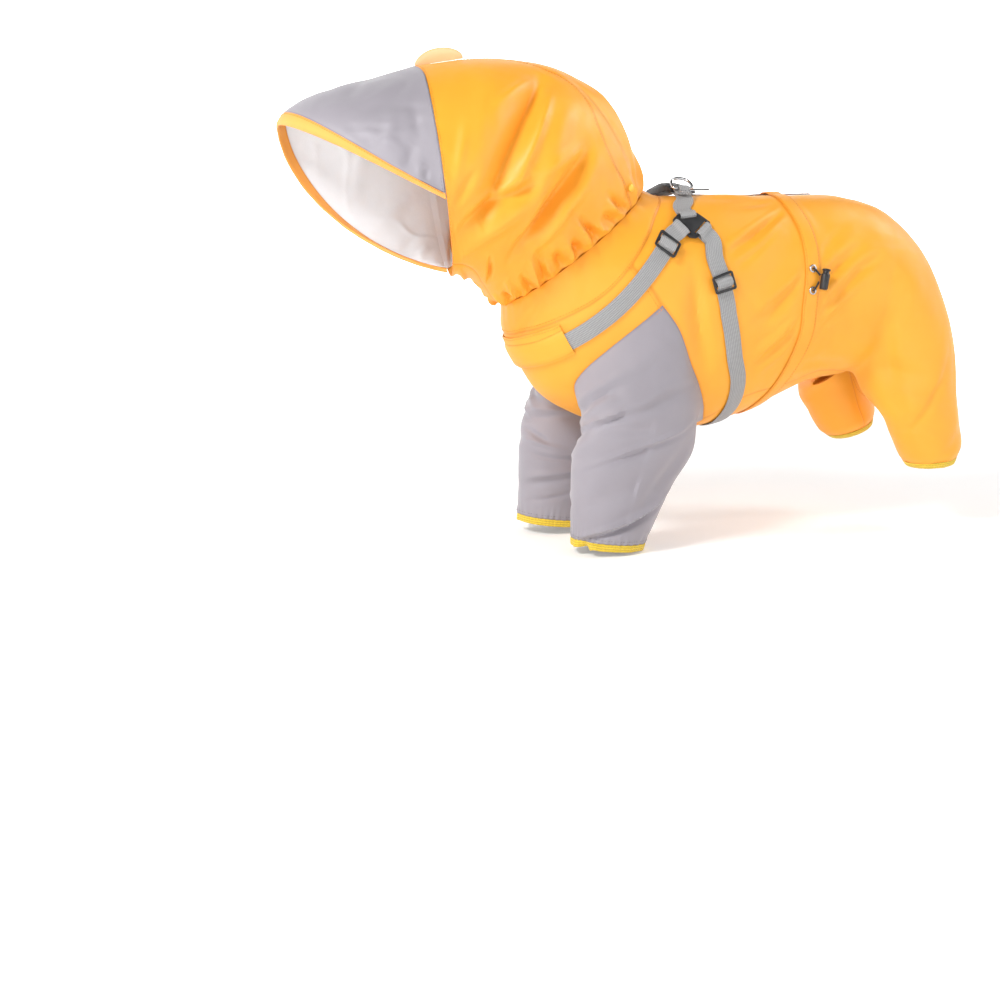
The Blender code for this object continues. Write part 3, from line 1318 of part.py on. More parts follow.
def halved(outline):
    """An outline with a point added in the middle of each long edge, so that it bends with the cloth."""
    fuller = []
    for here, after in zip(outline, outline[1:] + outline[:1]):
        fuller.append(here)
        if math.dist(here, after) > PLATE_EDGE_STEP:
            fuller.append((0.5 * (here[0] + after[0]), 0.5 * (here[1] + after[1])))
    return fuller


def build_junctions():
    """The two plates that join the straps."""
    for side, word in ((1, "left"), (-1, "right")):
        strip, middle = junction_strip(side)
        outline = halved([(middle + x, side * y) for x, y in PLATE_CORNERS])
        holes = []
        for slot in (TOP_SLOT, CHEST_SLOT, GIRTH_SLOT):
            turn = math.radians(slot.heading)
            hole = []
            for out, aside in ((-1, -1), (1, -1), (1, 1), (-1, 1)):
                out, aside = out * SLOT_HALF_WIDTH, aside * SLOT_HALF_LENGTH
                x = slot.rearward + out * math.cos(turn) - aside * math.sin(turn)
                y = slot.up + out * math.sin(turn) + aside * math.cos(turn)
                hole.append((middle + x, side * y))
            holes.append(halved(hole))
        plate("junction_" + word, strip, outline, holes, PLATE_LOW, PLATE_HIGH, roughness=0.4)


def buckle_start(strip):
    """Where the buckle's near end is along the top strap."""
    over_back = float(np.interp(0.0, -strip.track[:, 1], strip.travelled))
    return over_back - BUCKLE_NEAR_END


def build_top_straps(strip):
    """The two halves of the top strap, each looped round its plate and its end of the buckle."""
    near = buckle_start(strip)
    far = strip.length - near - BUCKLE_LENGTH
    for word, reach in (("left", near), ("right", far)):
        route = [(TAIL_LENGTH, UPPER_LAYER)] + BAR_LOOP
        route += [(reach + along, height) for along, height in BUCKLE_LOOP]
        if word == "right":
            route = [(strip.length - along, height) for along, height in route]
        ribbon("top_strap_" + word, strip, route, step=6.0, columns=3)


def build_buckle(strip):
    """The buckle's socket on the left and its tongue, whose prongs lie beside the socket."""
    near = buckle_start(strip)
    half = BUCKLE_HALF_WIDTH

    def crowned(along, across):
        part = np.clip((along - near) / BUCKLE_LENGTH, 0, 1)
        return (BUCKLE_HIGH + BUCKLE_CROWN * np.sin(np.pi * part)
                - 1.5 * (np.abs(across) / half) ** 3 - 2.2 * (np.abs(part - 0.5) * 2) ** 6)

    slot = BUCKLE_SLOT
    waist = half - PRONG_WIDTH - SEAM_GAP
    split = BUCKLE_SPLIT
    inset, corner, taper = BUCKLE_END_INSET, BUCKLE_CORNER, BUCKLE_TAPER
    shoulder = split - PRONG_REACH
    socket = [(inset, -half + corner), (shoulder, -half), (shoulder + 0.01, -waist), (split, -waist),
              (split, waist), (shoulder + 0.01, waist), (shoulder, half), (inset, half - corner)]
    socket = [(near + along, across) for along, across in socket]
    plate("buckle_socket", strip, socket, [box_outline(near + slot[0], near + slot[1], SLOT_HALF_LENGTH)],
          BUCKLE_LOW, crowned, inner=[(near + 12, 0), (near + 17, -5), (near + 17, 5)], roughness=0.35)
    end = BUCKLE_LENGTH
    start = split + SEAM_GAP
    tip = shoulder + SEAM_GAP + 0.01
    tongue = [(tip, -half), (end - taper, -half), (end - inset, -half + corner),
              (end - inset, half - corner), (end - taper, half), (tip, half), (tip, waist + SEAM_GAP),
              (start, waist + SEAM_GAP), (start, -waist - SEAM_GAP), (tip, -waist - SEAM_GAP)]
    tongue = [(near + along, across) for along, across in tongue]
    plate("buckle_tongue", strip, tongue,
          [box_outline(near + end - slot[1], near + end - slot[0], SLOT_HALF_LENGTH)],
          BUCKLE_LOW, crowned, inner=[(near + 30, -5), (near + 30, 5), (near + 38, 0)], roughness=0.35)


def ring_frame(strip):
    """The leash ring's bar middle and its axes: ahead over the buckle, along the bar, and up."""
    along = buckle_start(strip) + RING_BAR_ALONG
    middle = strip.place(along, 0.0, RING_BAR_HEIGHT)
    ahead, beside, outward = strip.axes(along)
    slope = math.radians(RING_SLOPE)
    leaning = ahead * math.cos(slope) + outward * math.sin(slope)
    return middle, leaning, beside, np.cross(leaning, beside)


def build_leash_ring(strip):
    """A D-shaped ring and the webbing loop that holds its bar."""
    middle, ahead, beside, _ = ring_frame(strip)
    half, deep = RING_HALF_WIDTH, RING_DEPTH
    straight = deep - half
    shoulder = middle + ahead * straight
    points = [middle - beside * half, middle, middle + beside * half, shoulder + beside * half]
    for turn in np.radians(np.arange(20, 180, 20)):
        points.append(shoulder + ahead * half * math.sin(turn) + beside * half * math.cos(turn))
    points.append(shoulder - beside * half)
    rod("leash_ring", points, RING_WIRE, STEEL, cyclic=True, origin=middle, roughness=0.25, metallic=1.0)
    along = buckle_start(strip) + RING_BAR_ALONG
    height = RING_BAR_HEIGHT
    radius = 0.5 * RING_WIRE + 0.35 + 0.5 * LOOP_THICK
    foot = height - radius
    route = [(along - LOOP_TAIL, foot)]
    route += [(along + radius * math.sin(turn), height - radius * math.cos(turn))
              for turn in np.radians(np.arange(0, 181, 30))]
    route += [(along + back, height + lift) for back, lift in LOOP_BACK]
    ribbon("ring_loop", strip, route, width=LOOP_WIDTH, thick=LOOP_THICK)


def build_keeper(strip):
    """The patch on the chest with a tunnel for the chest strap."""
    angles = strip.track[:, 1]
    first = float(np.interp(KEEPER_EDGE_ANGLE, angles, strip.travelled))
    last = float(np.interp(360 - KEEPER_EDGE_ANGLE, angles, strip.travelled))
    stations = np.linspace(first, last, KEEPER_STATIONS)
    spot = strip.flat(stations, 0.0)
    change = strip.flat(stations, 1.0) - spot
    ring, angle = spot[:, 0], spot[:, 1]
    ring_mm = np.linalg.norm(TORSO.shape(ring + 0.2, angle) - TORSO.shape(ring - 0.2, angle), axis=1) / 0.4
    towards_rear = np.sign(change[:, 0])
    reach_up = (ring - collar_ring(angle) - KEEPER_TOP_SPACE) * ring_mm
    base = LAYER_GAP + KEEPER_CLEARANCE + CLOTH
    raised = STRAP_LAYER + 0.5 * WEBBING_THICK + LAYER_GAP + CLOTH
    rows = [(KEEPER_LOW_REACH, base), (KEEPER_TUNNEL_HALF, raised), (-KEEPER_TUNNEL_HALF, raised),
            (-KEEPER_FOOT, base), (-reach_up, base)]
    outer, inner = [], []
    for across, height in rows:
        outer.append(strip.place(stations, towards_rear * across, height))
        inner.append(strip.place(stations, towards_rear * across, height - CLOTH))
    faces = grid_faces(len(rows), KEEPER_STATIONS)
    between("strap_keeper", np.concatenate(outer), np.concatenate(inner), faces, ORANGE)


# ---------------------------------------------------------------- zip, casing, drawcord, snap

def build_zip():
    """The zip along the back, its slider and the pull tab."""
    strip = Strip(TORSO, [ZIP_START, (0.5 * (ZIP_START[0] + ZIP_END[0]), 0), ZIP_END])
    middle = LAYER_GAP + ZIP_CLEARANCE + 0.5 * ZIP_THICK
    ribbon("zip_strip", strip, [(0, middle), (strip.length, middle)], width=ZIP_WIDTH, thick=ZIP_THICK,
           colour=NAVY)
    at = SLIDER_ALONG
    top = middle + 0.5 * ZIP_THICK
    low = top + SLIDER_GAP
    plate("zip_slider", strip, [(at + along, across) for along, across in SLIDER_CORNERS], [], low,
          low + SLIDER_THICK, colour=BLACK, roughness=0.35, metallic=0.4)
    low += SLIDER_THICK + LAYER_GAP
    plate("zip_pull", strip, [(at + along, across) for along, across in PULL_CORNERS], [], low,
          low + PULL_THICK, colour=BLACK, origin=strip.place(at, 0.0, low + 0.5 * PULL_THICK), roughness=0.4)


def build_casing():
    """The raised drawcord casing round the waist, one band a side."""
    for side, word in ((1, "left"), (-1, "right")):
        strip = Strip(BODY[side], WAIST_EDGE)
        over_zip = LAYER_GAP + ZIP_CLEARANCE + ZIP_THICK + LAYER_GAP + 0.5 * CLOTH
        level = LAYER_GAP + CASING_CLEARANCE + 0.5 * CLOTH
        end = strip.length - 2 * SEAM_GAP
        route = [(2 * SEAM_GAP, over_zip), (CASING_STEP[0], over_zip), (CASING_STEP[1], level), (end, level)]
        ribbon("waist_casing_" + word, strip, route, width=CASING_WIDTH, thick=CLOTH, colour=ORANGE,
               across=side * 0.5 * CASING_WIDTH)


def build_drawcord():
    """Two eyelets in the left casing, the cord between them and its lock."""
    surface = BODY[1]
    strip = Strip(surface, [EYELET_PLACES[0], EYELET_PLACES[1]])
    ahead, beside, outward = strip.axes(0.5 * strip.length)
    level = LAYER_GAP + CASING_CLEARANCE + CLOTH
    mouths = []
    for (ring, angle), word in zip(EYELET_PLACES, ("upper", "lower")):
        base = surface.point(ring, angle, level)
        normal = surface.normal(ring, angle)
        turned("eyelet_" + word, base, normal, EYELET_PROFILE, STEEL, ring=True, roughness=0.3, metallic=1.0)
        mouths.append((base + normal * 0.4, normal))
    lock_middle = 0.5 * (mouths[0][0] + mouths[1][0]) + beside * CORD_LOCK_BEHIND
    lock_middle = lock_middle + outward * CORD_LOCK_HEIGHT
    lock_axis = unit(-ahead + CORD_LOCK_LEAN * beside)
    turned("cord_lock", lock_middle, lock_axis, CORD_LOCK_PROFILE, BLACK, roughness=0.45)
    for (mouth, normal), word, along in zip(mouths, ("upper", "lower"), CORD_LOCK_HOLES):
        target = lock_middle + lock_axis * along
        away = mouth + normal * CORD_RISE - target
        away = unit(away - lock_axis * (away @ lock_axis))
        end = target + away * CORD_LOCK_REACH
        mouth = mouth + normal * 0.6
        middle = mouth + normal * (CORD_RISE + 0.4)
        route = []
        for part in np.linspace(0, 1, 6):
            route.append(mouth * (1 - part) ** 2 + middle * 2 * part * (1 - part) + end * part ** 2)
        rod("drawcord_" + word, route, CORD_DIAMETER, BLACK)


def build_snap():
    """A yellow snap on the left of the hood, above the neck seam."""
    ring, angle = SNAP_PLACE
    base = HOOD.point(ring, angle, 0.0)
    normal = HOOD.normal(ring, angle)
    turned("hood_snap", base + normal * SNAP_CLEARANCE, normal, SNAP_PROFILE, YELLOW, roughness=0.35)


def build_harness():
    """All straps and their hardware."""
    chest = round_strip(CHEST_SLOT, CHEST_STRAP, CHEST_STRAP_LOW)
    girth = round_strip(GIRTH_SLOT, GIRTH_STRAP, GIRTH_STRAP_LOW)
    top = top_strip()
    build_round_strap("chest_strap", chest, CHEST_SLIDE_ALONG)
    build_round_strap("girth_strap", girth, GIRTH_SLIDE_ALONG)
    build_junctions()
    build_top_straps(top)
    build_buckle(top)
    build_leash_ring(top)
    build_keeper(chest)


# ---------------------------------------------------------------- main

def main():
    """Build every piece in order."""
    clear_scene()
    build_hood()
    build_brim()
    build_ears()
    build_collar()
    edges = build_sleeves()
    build_body(edges)
    build_hind_cuffs()
    build_harness()
    build_zip()
    build_casing()
    build_drawcord()
    build_snap()


main()
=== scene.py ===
"""The finished look of a dog's hooded raincoat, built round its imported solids.

The coat is empty and holds its worn shape. The frame has its origin at the withers, where the
wearer's back holds the coat up; the wearer faces -X, its left side is -Y and +Z is up. Tables are in
millimetres and degrees, and finished meshes are in metres.

Two numbers place a point on each cloth surface: a ring's number along the surface, and the angle
round the ring from its top line, growing towards the left side. Every cut piece, strap and seam is
worked out from them, as on the solids, with finer folds, puckers and stitches on top.
"""
from __future__ import annotations

import logging
import math
from dataclasses import dataclass, field
from enum import Enum
from functools import cached_property
from typing import Callable, Iterable, NamedTuple, Sequence

import bmesh
import bpy
import numpy as np
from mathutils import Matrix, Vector
from mathutils.geometry import delaunay_2d_cdt


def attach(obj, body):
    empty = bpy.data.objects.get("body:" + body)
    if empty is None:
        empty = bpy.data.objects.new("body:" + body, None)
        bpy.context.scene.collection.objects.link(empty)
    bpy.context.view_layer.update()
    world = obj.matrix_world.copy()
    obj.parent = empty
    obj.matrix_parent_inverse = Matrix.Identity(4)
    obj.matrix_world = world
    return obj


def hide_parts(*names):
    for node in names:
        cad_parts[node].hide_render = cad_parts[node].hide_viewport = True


LOG = logging.getLogger("dog_raincoat")
MM = 0.001
NOISE_ROUGHNESS = 0.55

# ---- driving dimensions, mm ----
CLOTH = 1.2
LINING_CLOTH = 1.0
SEAM_GAP = 0.06
LAYER_GAP = 0.4
FINE_STEP = 2.9
HOOD_STEP = 2.7
CUFF_HEIGHT = 7.5
WEBBING_WIDTH = 17.5
WEBBING_THICK = 1.4
HIND_LEG_OFF_CENTRE = 52.0
CASING_WIDTH = 17.0
STITCH_PITCH = 3.2
STITCH_FROM_SEAM = 2.2
CLEAR_OF_SEAM = 9.0
FAR_FROM_SEAM = 50.0
FAR_AWAY = 1e9


class Side(Enum):
    """A side of the coat, with its sign on the wearer's left."""

    LEFT = 1
    RIGHT = -1

    @property
    def word(self) -> str:
        """The side's name as it stands in a piece's name."""
        return self.name.lower()


class SleeveRing(NamedTuple):
    """One ring of a sleeve below the armhole."""

    x: float
    y: float
    z: float
    half_length: float
    half_width: float
    rear_drop: float
    inner_drop: float


class HoodRing(NamedTuple):
    """One ring of the hood."""

    x: float
    y: float
    z: float
    pitch: float
    yaw: float
    roll: float
    half_height: float
    half_width: float


class Fold(NamedTuple):
    """A fold from start over middle to end, each a ring and an angle, with its width and depth."""

    start: tuple[float, float]
    middle: tuple[float, float]
    end: tuple[float, float]
    width: float
    depth: float


def folds(*rows: tuple[float, ...]) -> list[Fold]:
    """Folds from rows of eight numbers: start, middle and end, each a ring and an angle, width and depth."""
    return [Fold(row[:2], row[2:4], row[4:6], *row[6:]) for row in rows]


class Slot(NamedTuple):
    """A slot of a junction plate: its middle and the way its strap leaves."""

    rearward: float
    up: float
    heading: float


# ---- rings of the body and of the left hind leg: top x and z, low x and z, half width, side lift, fullness ----
BODY_RINGS = [
    (-35, 7, -181, -107, 60, 0, 2), (-20, 1, -178, -138, 67, 0, 2.05), (-2, 0, -161, -171, 74, 0.02, 2.1),
    (20, 0, -138, -202, 78, 0.04, 2.15), (42, 0, -100, -224, 80, 0.05, 2.2), (64, 0, -50, -235, 81, 0.05, 2.2),
    (86, 0, 0, -243, 81, 0.05, 2.2), (108, 1, 45, -239, 79, 0.05, 2.2), (132, 1, 88, -227, 77, 0.05, 2.2),
    (154, 2, 118, -215, 76, 0.05, 2.2), (190, 2, 158, -199, 75, 0.04, 2.2),
    (223, -4, 200, -191, 76, 0.02, 2.2), (248, -13, 214, -190, 74, 0, 2.15), (270, -31, 221, -197, 68, 0, 2.1),
    (287, -56, 227, -208, 58, 0, 2.05), (299, -86, 233, -219, 49, 0, 2), (307, -119, 240, -231, 43, 0, 2),
    (312, -154, 247, -243, 40, 0, 2), (319, -192, 254, -256, 38, 0, 2), (326, -232, 262, -270, 37, 0, 2),
    (332, -262, 268, -280, 36, 0, 2), (328, -278, 273, -286, 31, 0, 2),
]
HIP_RING = 11.5
THIGH_RING = 17.0
HIND_CUFF_RING = 21.0
TAIL_RING = 14.0
BELLY_END_RING = 11.4
# How far the right hind leg's rings stand off the left one's: ring, forward, lift and lean.
RIGHT_HIND_STEP = [
    (9.5, 0, 0, 0), (11, 9, 1, 0), (12, 18, 4, 0), (13.5, 31, 9, 1), (15.5, 44, 14, 2), (17, 47, 18, 4),
    (19, 44, 22, 10), (21, 38, 26, 16),
]
STEP_FULL_OFF_CENTRE = 40.0
BODY_METRIC = (26.0, 1.35)

# ---- seams on the body: ring, angle ----
COLLAR_SEAM = [(1.20, 0), (1.25, 22), (1.32, 45), (1.62, 64), (1.80, 82.5), (1.78, 101),
               (1.40, 128), (1.10, 155), (1.00, 180)]
RAGLAN_ANGLE = 82.5
RAGLAN_SEAM = [(1.80, 82.5), (2.80, 87), (3.60, 92)]
BELLY_SEAM_FRONT = [(6.55, 156), (6.90, 145), (7.30, 139.5), (7.80, 139.5), (8.50, 142)]
BELLY_SEAM_REAR = [(8.50, 142), (9.15, 146), (10.10, 150), (10.80, 158), (11.40, 166)]
WAIST_EDGE = [(7.15, 0), (7.15, 12), (7.30, 31), (7.80, 55), (8.15, 77), (8.30, 93), (8.45, 103),
              (8.35, 122), (8.15, 142), (7.92, 160), (7.86, 171), (7.86, 180)]
WAIST_SEAM_BEHIND_EDGE = 0.35
OPENING_LOWER = [(11.40, 166), (12.20, 166), (13.00, 170), (14.00, 180), (15.00, 195),
                 (16.00, 222), (16.60, 248), (17.00, 270)]
OPENING_UPPER = [(17.00, -90), (16.60, -64), (16.00, -44), (15.00, -26)]
BREAST_RING = 6.55
# Points of the armhole: ring and angle on the body, and the sleeve's turn there.
ARMHOLE_FRONT = [
    (3.6, 92, 0), (3.28, 106, 28), (3.08, 120, 52), (3, 135, 78), (3.15, 148, 100), (3.6, 156, 128),
    (4.2, 159, 152), (4.9, 160, 178), (5.6, 160, 205), (6.1, 159, 228), (6.55, 156, 252),
]
ARMHOLE_REAR = [
    (6.55, 156, 252), (6.2, 140, 275), (5.75, 126, 295), (5.3, 116, 313), (4.85, 107, 328), (4.45, 100, 340),
    (4, 95, 351), (3.6, 92, 360),
]
ARMHOLE_FRONT_STEPS = 96
ARMHOLE_REAR_STEPS = 32

# ---- the left front leg below the armhole; the right one stands a little further forward ----
SLEEVE_RINGS = [
    SleeveRing(-55, 60, -208, 62, 34, 4, 38),
    SleeveRing(-62, 60, -245, 65, 34, 4, 22),
    SleeveRing(-73, 60, -283, 55, 34, 4, 6),
    SleeveRing(-82, 60, -318, 46, 33, 4, 0),
    SleeveRing(-89, 60, -345, 39, 32, 4, 0),
]
SLEEVE_END = 5.0
SLEEVE_METRIC = (36.0, 0.9)
RIGHT_SLEEVE_FORWARD = 13.0
RIGHT_SLEEVE_LIFT = 4.0

# ---- the hood: one row a ring, from the neck to the face ----
HOOD_RINGS = [
    HoodRing(-108, 0, -50, -52, 0, 0, 92.6, 60),
    HoodRing(-121, 0, -27, -43, 1, 5, 106, 73),
    HoodRing(-141, 0, 1, -33, 4, 12, 116, 82),
    HoodRing(-168, -1, 17, -23, 7, 19, 117, 86.5),
    HoodRing(-197, -3, 24, -12, 10, 26, 112, 88),
    HoodRing(-226.5, -5, 24.5, -2, 12, 31.5, 108.5, 87.5),
    HoodRing(-253, -7.3, 20.7, 7.1, 12.6, 34.8, 107.5, 86.2),
]
HOOD_METRIC = (46.0, 1.6)
FACE_RING = 6.0
FACE_PEAK = 8.0
FACE_PEAK_TURN = 25.0
FACE_PEAK_FADE = 35.0
CROWN_SEAM = [(0, 50), (0.8, 55), (1.4, 60), (2.0, 57), (2.65, 44), (4.0, 32), (6.0, 25)]
GATHERS = 30
GATHER_HEIGHT = 2.6
GATHER_SEAM_TURN = 52.0
GATHER_CALM_TURN = 6.0

# ---- folds that the solids have too: where each starts, bends and ends, its width and depth ----
HOOD_FOLDS = folds(
    (3.3, 44, 3.8, 92, 4.6, 145, 11, 8), (1.9, 66, 2.2, 102, 2.3, 130, 10, 6),
    (2.8, 104, 3.9, 130, 5.7, 152, 11, 5), (2.7, 60, 2.9, 92, 2.6, 120, 12, -4.5),
    (4.4, 60, 4.7, 95, 5, 130, 16, -4), (0.3, 118, 1.6, 128, 2.8, 140, 9, 4.5),
    (0.4, 88, 1, 96, 1.7, 100, 8, 4), (3, -40, 3.7, -85, 4.3, -140, 11, 7),
    (1.7, -62, 2.1, -100, 2.4, -132, 10, 5.5), (3, -108, 4, -132, 5.4, -150, 11, 4.5),
)
BODY_FOLDS = folds(
    (5.3, 58, 6.1, 47, 7, 34, 8, 2.5), (5.8, 66, 6.4, 56, 7, 46, 9, -2), (6.9, 104, 7.2, 94, 7.7, 84, 8, 2.6),
    (6.2, 82, 6.8, 74, 7.5, 66, 9, 2.2), (3.4, 9, 4.8, 10, 6.2, 9, 7, -2.2),
    (9.2, 74, 10.6, 82, 12.4, 86, 12, 3), (9.2, 104, 10.4, 112, 11.8, 118, 11, 3),
    (13, 140, 14.6, 126, 16.4, 100, 10, 3.5), (16.6, 60, 17.4, 110, 18, 160, 9, 2.6),
)
SLEEVE_FOLDS = folds(
    (1.35, 75, 1.65, 30, 1.4, -20, 8, 2.8), (2.2, 95, 2.4, 40, 2, -30, 9, 3),
    (3.9, 80, 3.2, 10, 2.5, -70, 11, 3), (4.2, 30, 3.9, -30, 3.6, -90, 10, 2.2),
    (1.9, 240, 2.5, 200, 2.9, 150, 8, 3),
)

# ---- sharper creases that only the finished cloth has; each is made on both sides ----
BRIM_CREASES = folds(
    (0.6, 0.78, 0.66, 0.86, 0.75, 0.78, 8, 2.8), (0.61, 0.36, 0.68, 0.44, 0.74, 0.66, 6, -1.8),
    (0.58, 0.14, 0.66, 0.2, 0.74, 0.22, 6, 2.2), (0.77, 0.32, 0.82, 0.52, 0.85, 0.78, 5.5, 2.4),
    (0.84, 0.34, 0.87, 0.52, 0.9, 0.74, 3.5, -1.4), (0.87, 0.3, 0.89, 0.46, 0.91, 0.62, 2.8, 1.5),
    (0.2, 0.3, 0.32, 0.42, 0.46, 0.62, 8, 1.6), (0.42, 0.2, 0.5, 0.38, 0.55, 0.6, 6, -1),
    (-0.52, 0.2, -0.6, 0.42, -0.66, 0.74, 8, 2.4), (-0.7, 0.24, -0.76, 0.5, -0.82, 0.74, 6, -1.6),
    (-0.78, 0.2, -0.84, 0.44, -0.88, 0.7, 5, 2.2), (-0.24, 0.34, -0.36, 0.56, -0.5, 0.7, 9, 1.8),
)
HOOD_CREASES = folds(
    (3.4, 52, 3.6, 104, 4.32, 143, 8, 10.5), (3.3, 52, 3.22, 78, 3.45, 118, 6, -4.9),
    (4.45, 86, 3.93, 69, 3.55, 54, 6, -4.9), (1.97, 74, 2, 112, 2.46, 143, 7.5, 9.6),
    (2.06, 76, 2.55, 93, 2.93, 107, 6, -4.9), (1.6, 74, 1.62, 108, 1.75, 135, 7, -4.3),
    (2.85, 100, 3.75, 124, 5.6, 150, 5, -4.3), (2.85, 107, 3.8, 131, 5.68, 157, 5, 3.6),
    (2.7, 113, 3.35, 139, 5.2, 168, 10, -5.9), (4.78, 118, 5.18, 130, 5.7, 139, 6, 3.6),
    (5.1, 96, 5.3, 112, 5.6, 126, 8, -2.6), (1.2, 40, 1.9, 46, 2.7, 36, 7, 3.3),
    (0.7, 30, 1.5, 34, 2.4, 22, 8, -3.6), (3.4, 160, 2.9, 164, 2.6, 172, 5, 4.9),
    (0, 8, 0.4, 9, 1, 11, 4.5, 4.9), (0, 22, 0.35, 23, 0.9, 25, 4, -4.3), (0, 34, 0.35, 36, 0.9, 38, 4, 4.9),
    (0, 44, 0.3, 47, 0.7, 50, 3.2, -4), (0, 54, 0.33, 63, 0.98, 73, 3.4, 5.3),
    (0, 61, 0.3, 67, 0.8, 76, 3.2, -4.6), (0, 68, 0.3, 72, 0.6, 79, 3, 5.6),
    (0, 76, 0.25, 83, 0.9, 92, 3.4, -4.9), (0, 85, 0.4, 88, 1.1, 95, 3.6, 5.9),
    (0, 92, 0.5, 94, 1.3, 100, 3.4, -5.3), (0, 99, 0.35, 101, 0.8, 105, 4, 7.6),
    (0, 107, 0.5, 107, 1.2, 110, 3.2, -4.9), (0, 114, 0.45, 114, 1, 117, 4.2, 7.9),
    (0, 122, 0.4, 123, 1.1, 126, 3.4, -4.3), (0, 128, 0.6, 128, 1.5, 127, 3, 4.9),
    (0, 134, 0.58, 135, 1.62, 133, 3.2, -6.6), (0, 140, 0.6, 142, 1.4, 143, 3.4, 6.3),
    (0, 147, 0.73, 154, 1.75, 156, 3.2, -5.9), (0, 155, 0.7, 160, 1.3, 163, 3.4, 5.9),
    (0, 165, 0.6, 169, 1.5, 174, 4, -4.6),
)
BODY_CREASES = folds(
    (7.15, 31, 5.5, 47, 4.4, 65, 3.6, -2.2), (7.15, 36, 5.6, 53, 4.4, 71, 3.6, 2.7),
    (7.05, 43, 6.1, 56, 5.15, 70, 3.4, -1.8), (7, 48, 6, 61, 5, 76, 3.8, 2),
    (8.05, 74, 7.5, 82, 6.6, 91, 4, -2.2), (8.1, 79, 7.5, 87, 6.5, 95, 3.4, 2.7),
    (8, 90, 7.3, 98, 6.5, 104, 4.4, -1.9), (8.35, 94, 7.6, 104, 6.8, 115, 3.8, -2.3),
    (8.4, 99, 7.75, 108, 6.9, 119, 3.6, 3.1), (8.3, 108, 7.7, 116, 7, 126, 4.2, -1.9),
    (9.75, 52, 9.25, 62, 8.75, 72, 4.4, 2.4), (10, 59, 9.4, 71, 8.75, 81, 4.6, -2.4),
    (10.3, 64, 9.6, 78, 8.75, 90, 4.2, 2.8), (10.6, 67, 9.8, 83, 8.8, 96, 4.4, -2.6),
    (10.8, 71, 9.95, 90, 8.85, 104, 4.4, 3.2), (10.7, 79, 9.9, 97, 8.85, 110, 4.6, -2.6),
    (10.5, 86, 9.7, 103, 8.7, 117, 4.4, 2.6), (9.9, 104, 9.2, 114, 8.6, 126, 5, -1.9),
    (4.1, 74, 5.12, 96, 5.9, 124, 8.5, 6.8), (3.7, 84, 4.5, 98, 5.2, 112, 8, -2.4),
    (11.2, 106, 12.6, 128, 15.2, 145, 17, 5.4), (11.6, 78, 13.2, 84, 15.6, 74, 22, -4.1),
    (14.3, 138, 16, 124, 18, 78, 9, 2), (17.3, 140, 18.5, 110, 18.9, 70, 9, 2.2),
    (15.3, 152, 17.2, 148, 18.6, 126, 9, 1.6), (19.3, 36, 19.5, 70, 19.9, 104, 8, 1.8),
    (16.4, 20, 17.3, 46, 18.6, 60, 10, -1.4), (1.3, 34, 1.7, 62, 2.05, 84, 5, 1.9),
    (3.4, 14, 4.6, 16, 6, 14, 5, -1.9), (4.8, 30, 5.8, 26, 6.9, 22, 5, 1.8),
    (3.9, 118, 4.6, 132, 5.6, 144, 8, -2.7), (0.6, 134, 0.9, 150, 1.3, 166, 5, 2.2),
    (9.2, 128, 9.9, 138, 10.8, 150, 6, 2.4),
)
SLEEVE_CREASES = folds(
    (0.18, 331, 0.68, 376, 0.43, 468, 3, -2.1), (0.3, 331, 0.8, 376, 0.56, 468, 3.4, 2),
    (0.95, 376, 1.12, 393, 1.43, 420, 2.6, 2.1), (0.8, 405, 0.85, 428, 0.87, 466, 2.8, -1.9),
    (0.66, 400, 0.7, 432, 0.68, 466, 3, 1.9), (0.28, 313, 1.12, 358, 1.23, 462, 2.8, -2.8),
    (0.38, 313, 1.24, 358, 1.38, 462, 3.2, 2.6), (1.1, 305, 2.1, 352, 2.58, 425, 2.8, -2.5),
    (1.2, 305, 2.23, 352, 2.72, 425, 3.2, 2.2), (3.2, 300, 4.1, 342, 5, 440, 4.2, -4.5),
    (3.42, 300, 4.32, 342, 5.15, 440, 4.2, 5.2), (1.73, 306, 2.73, 324, 4.1, 350, 11, 4),
    (0.9, 66, 0.75, 90, 0.48, 112, 3.4, 2.2), (1.38, 70, 0.75, 118, 0.35, 150, 3.6, -2.5),
    (1.55, 84, 1.1, 116, 0.7, 146, 3.6, 2), (1.75, 92, 1.6, 122, 2.05, 140, 3.8, 2.4),
    (2.1, 100, 2, 128, 2.2, 158, 4, -2.4), (2.55, 118, 2.68, 142, 2.6, 176, 4.2, 2.4),
    (3.53, 104, 3.35, 142, 3.1, 180, 4.6, -2.6), (3.75, 104, 3.6, 142, 3.35, 180, 4.6, 2.5),
    (4.3, 116, 4.28, 151, 3.85, 186, 4, 2.5), (1, 200, 1.6, 230, 2.4, 262, 4.2, -2.4),
    (2.3, 190, 2.9, 226, 3.8, 266, 4.6, 2.6),
)

# ---- harness: ring, angle along each strap's middle, from its junction plate on the left ----
JUNCTION_PLACE = (3.02, 51)
CHEST_STRAP = [(2.50, 70), (2.50, 88), (2.40, 103), (2.25, 116), (2.05, 132), (1.86, 150), (1.72, 166)]
CHEST_STRAP_LOW = (1.68, 180)
GIRTH_STRAP = [(4.40, 68), (4.92, 77.5), (5.40, 87), (5.90, 98), (6.35, 111), (6.75, 123),
               (7.02, 139), (7.12, 158)]
GIRTH_STRAP_LOW = (7.15, 180)
TOP_STRAP = [(2.48, 23), (2.40, 10), (2.28, -2), (2.22, -13), (2.32, -24)]
TOP_SLOT = Slot(-2.3, 8.7, 105)
CHEST_SLOT = Slot(-9.5, -2.6, 226)
GIRTH_SLOT = Slot(9.6, -2.3, 316)
STRAP_START = (0.0, 7.0, 14.0)
STRAP_LAYER = 1.3
UPPER_LAYER = 3.2
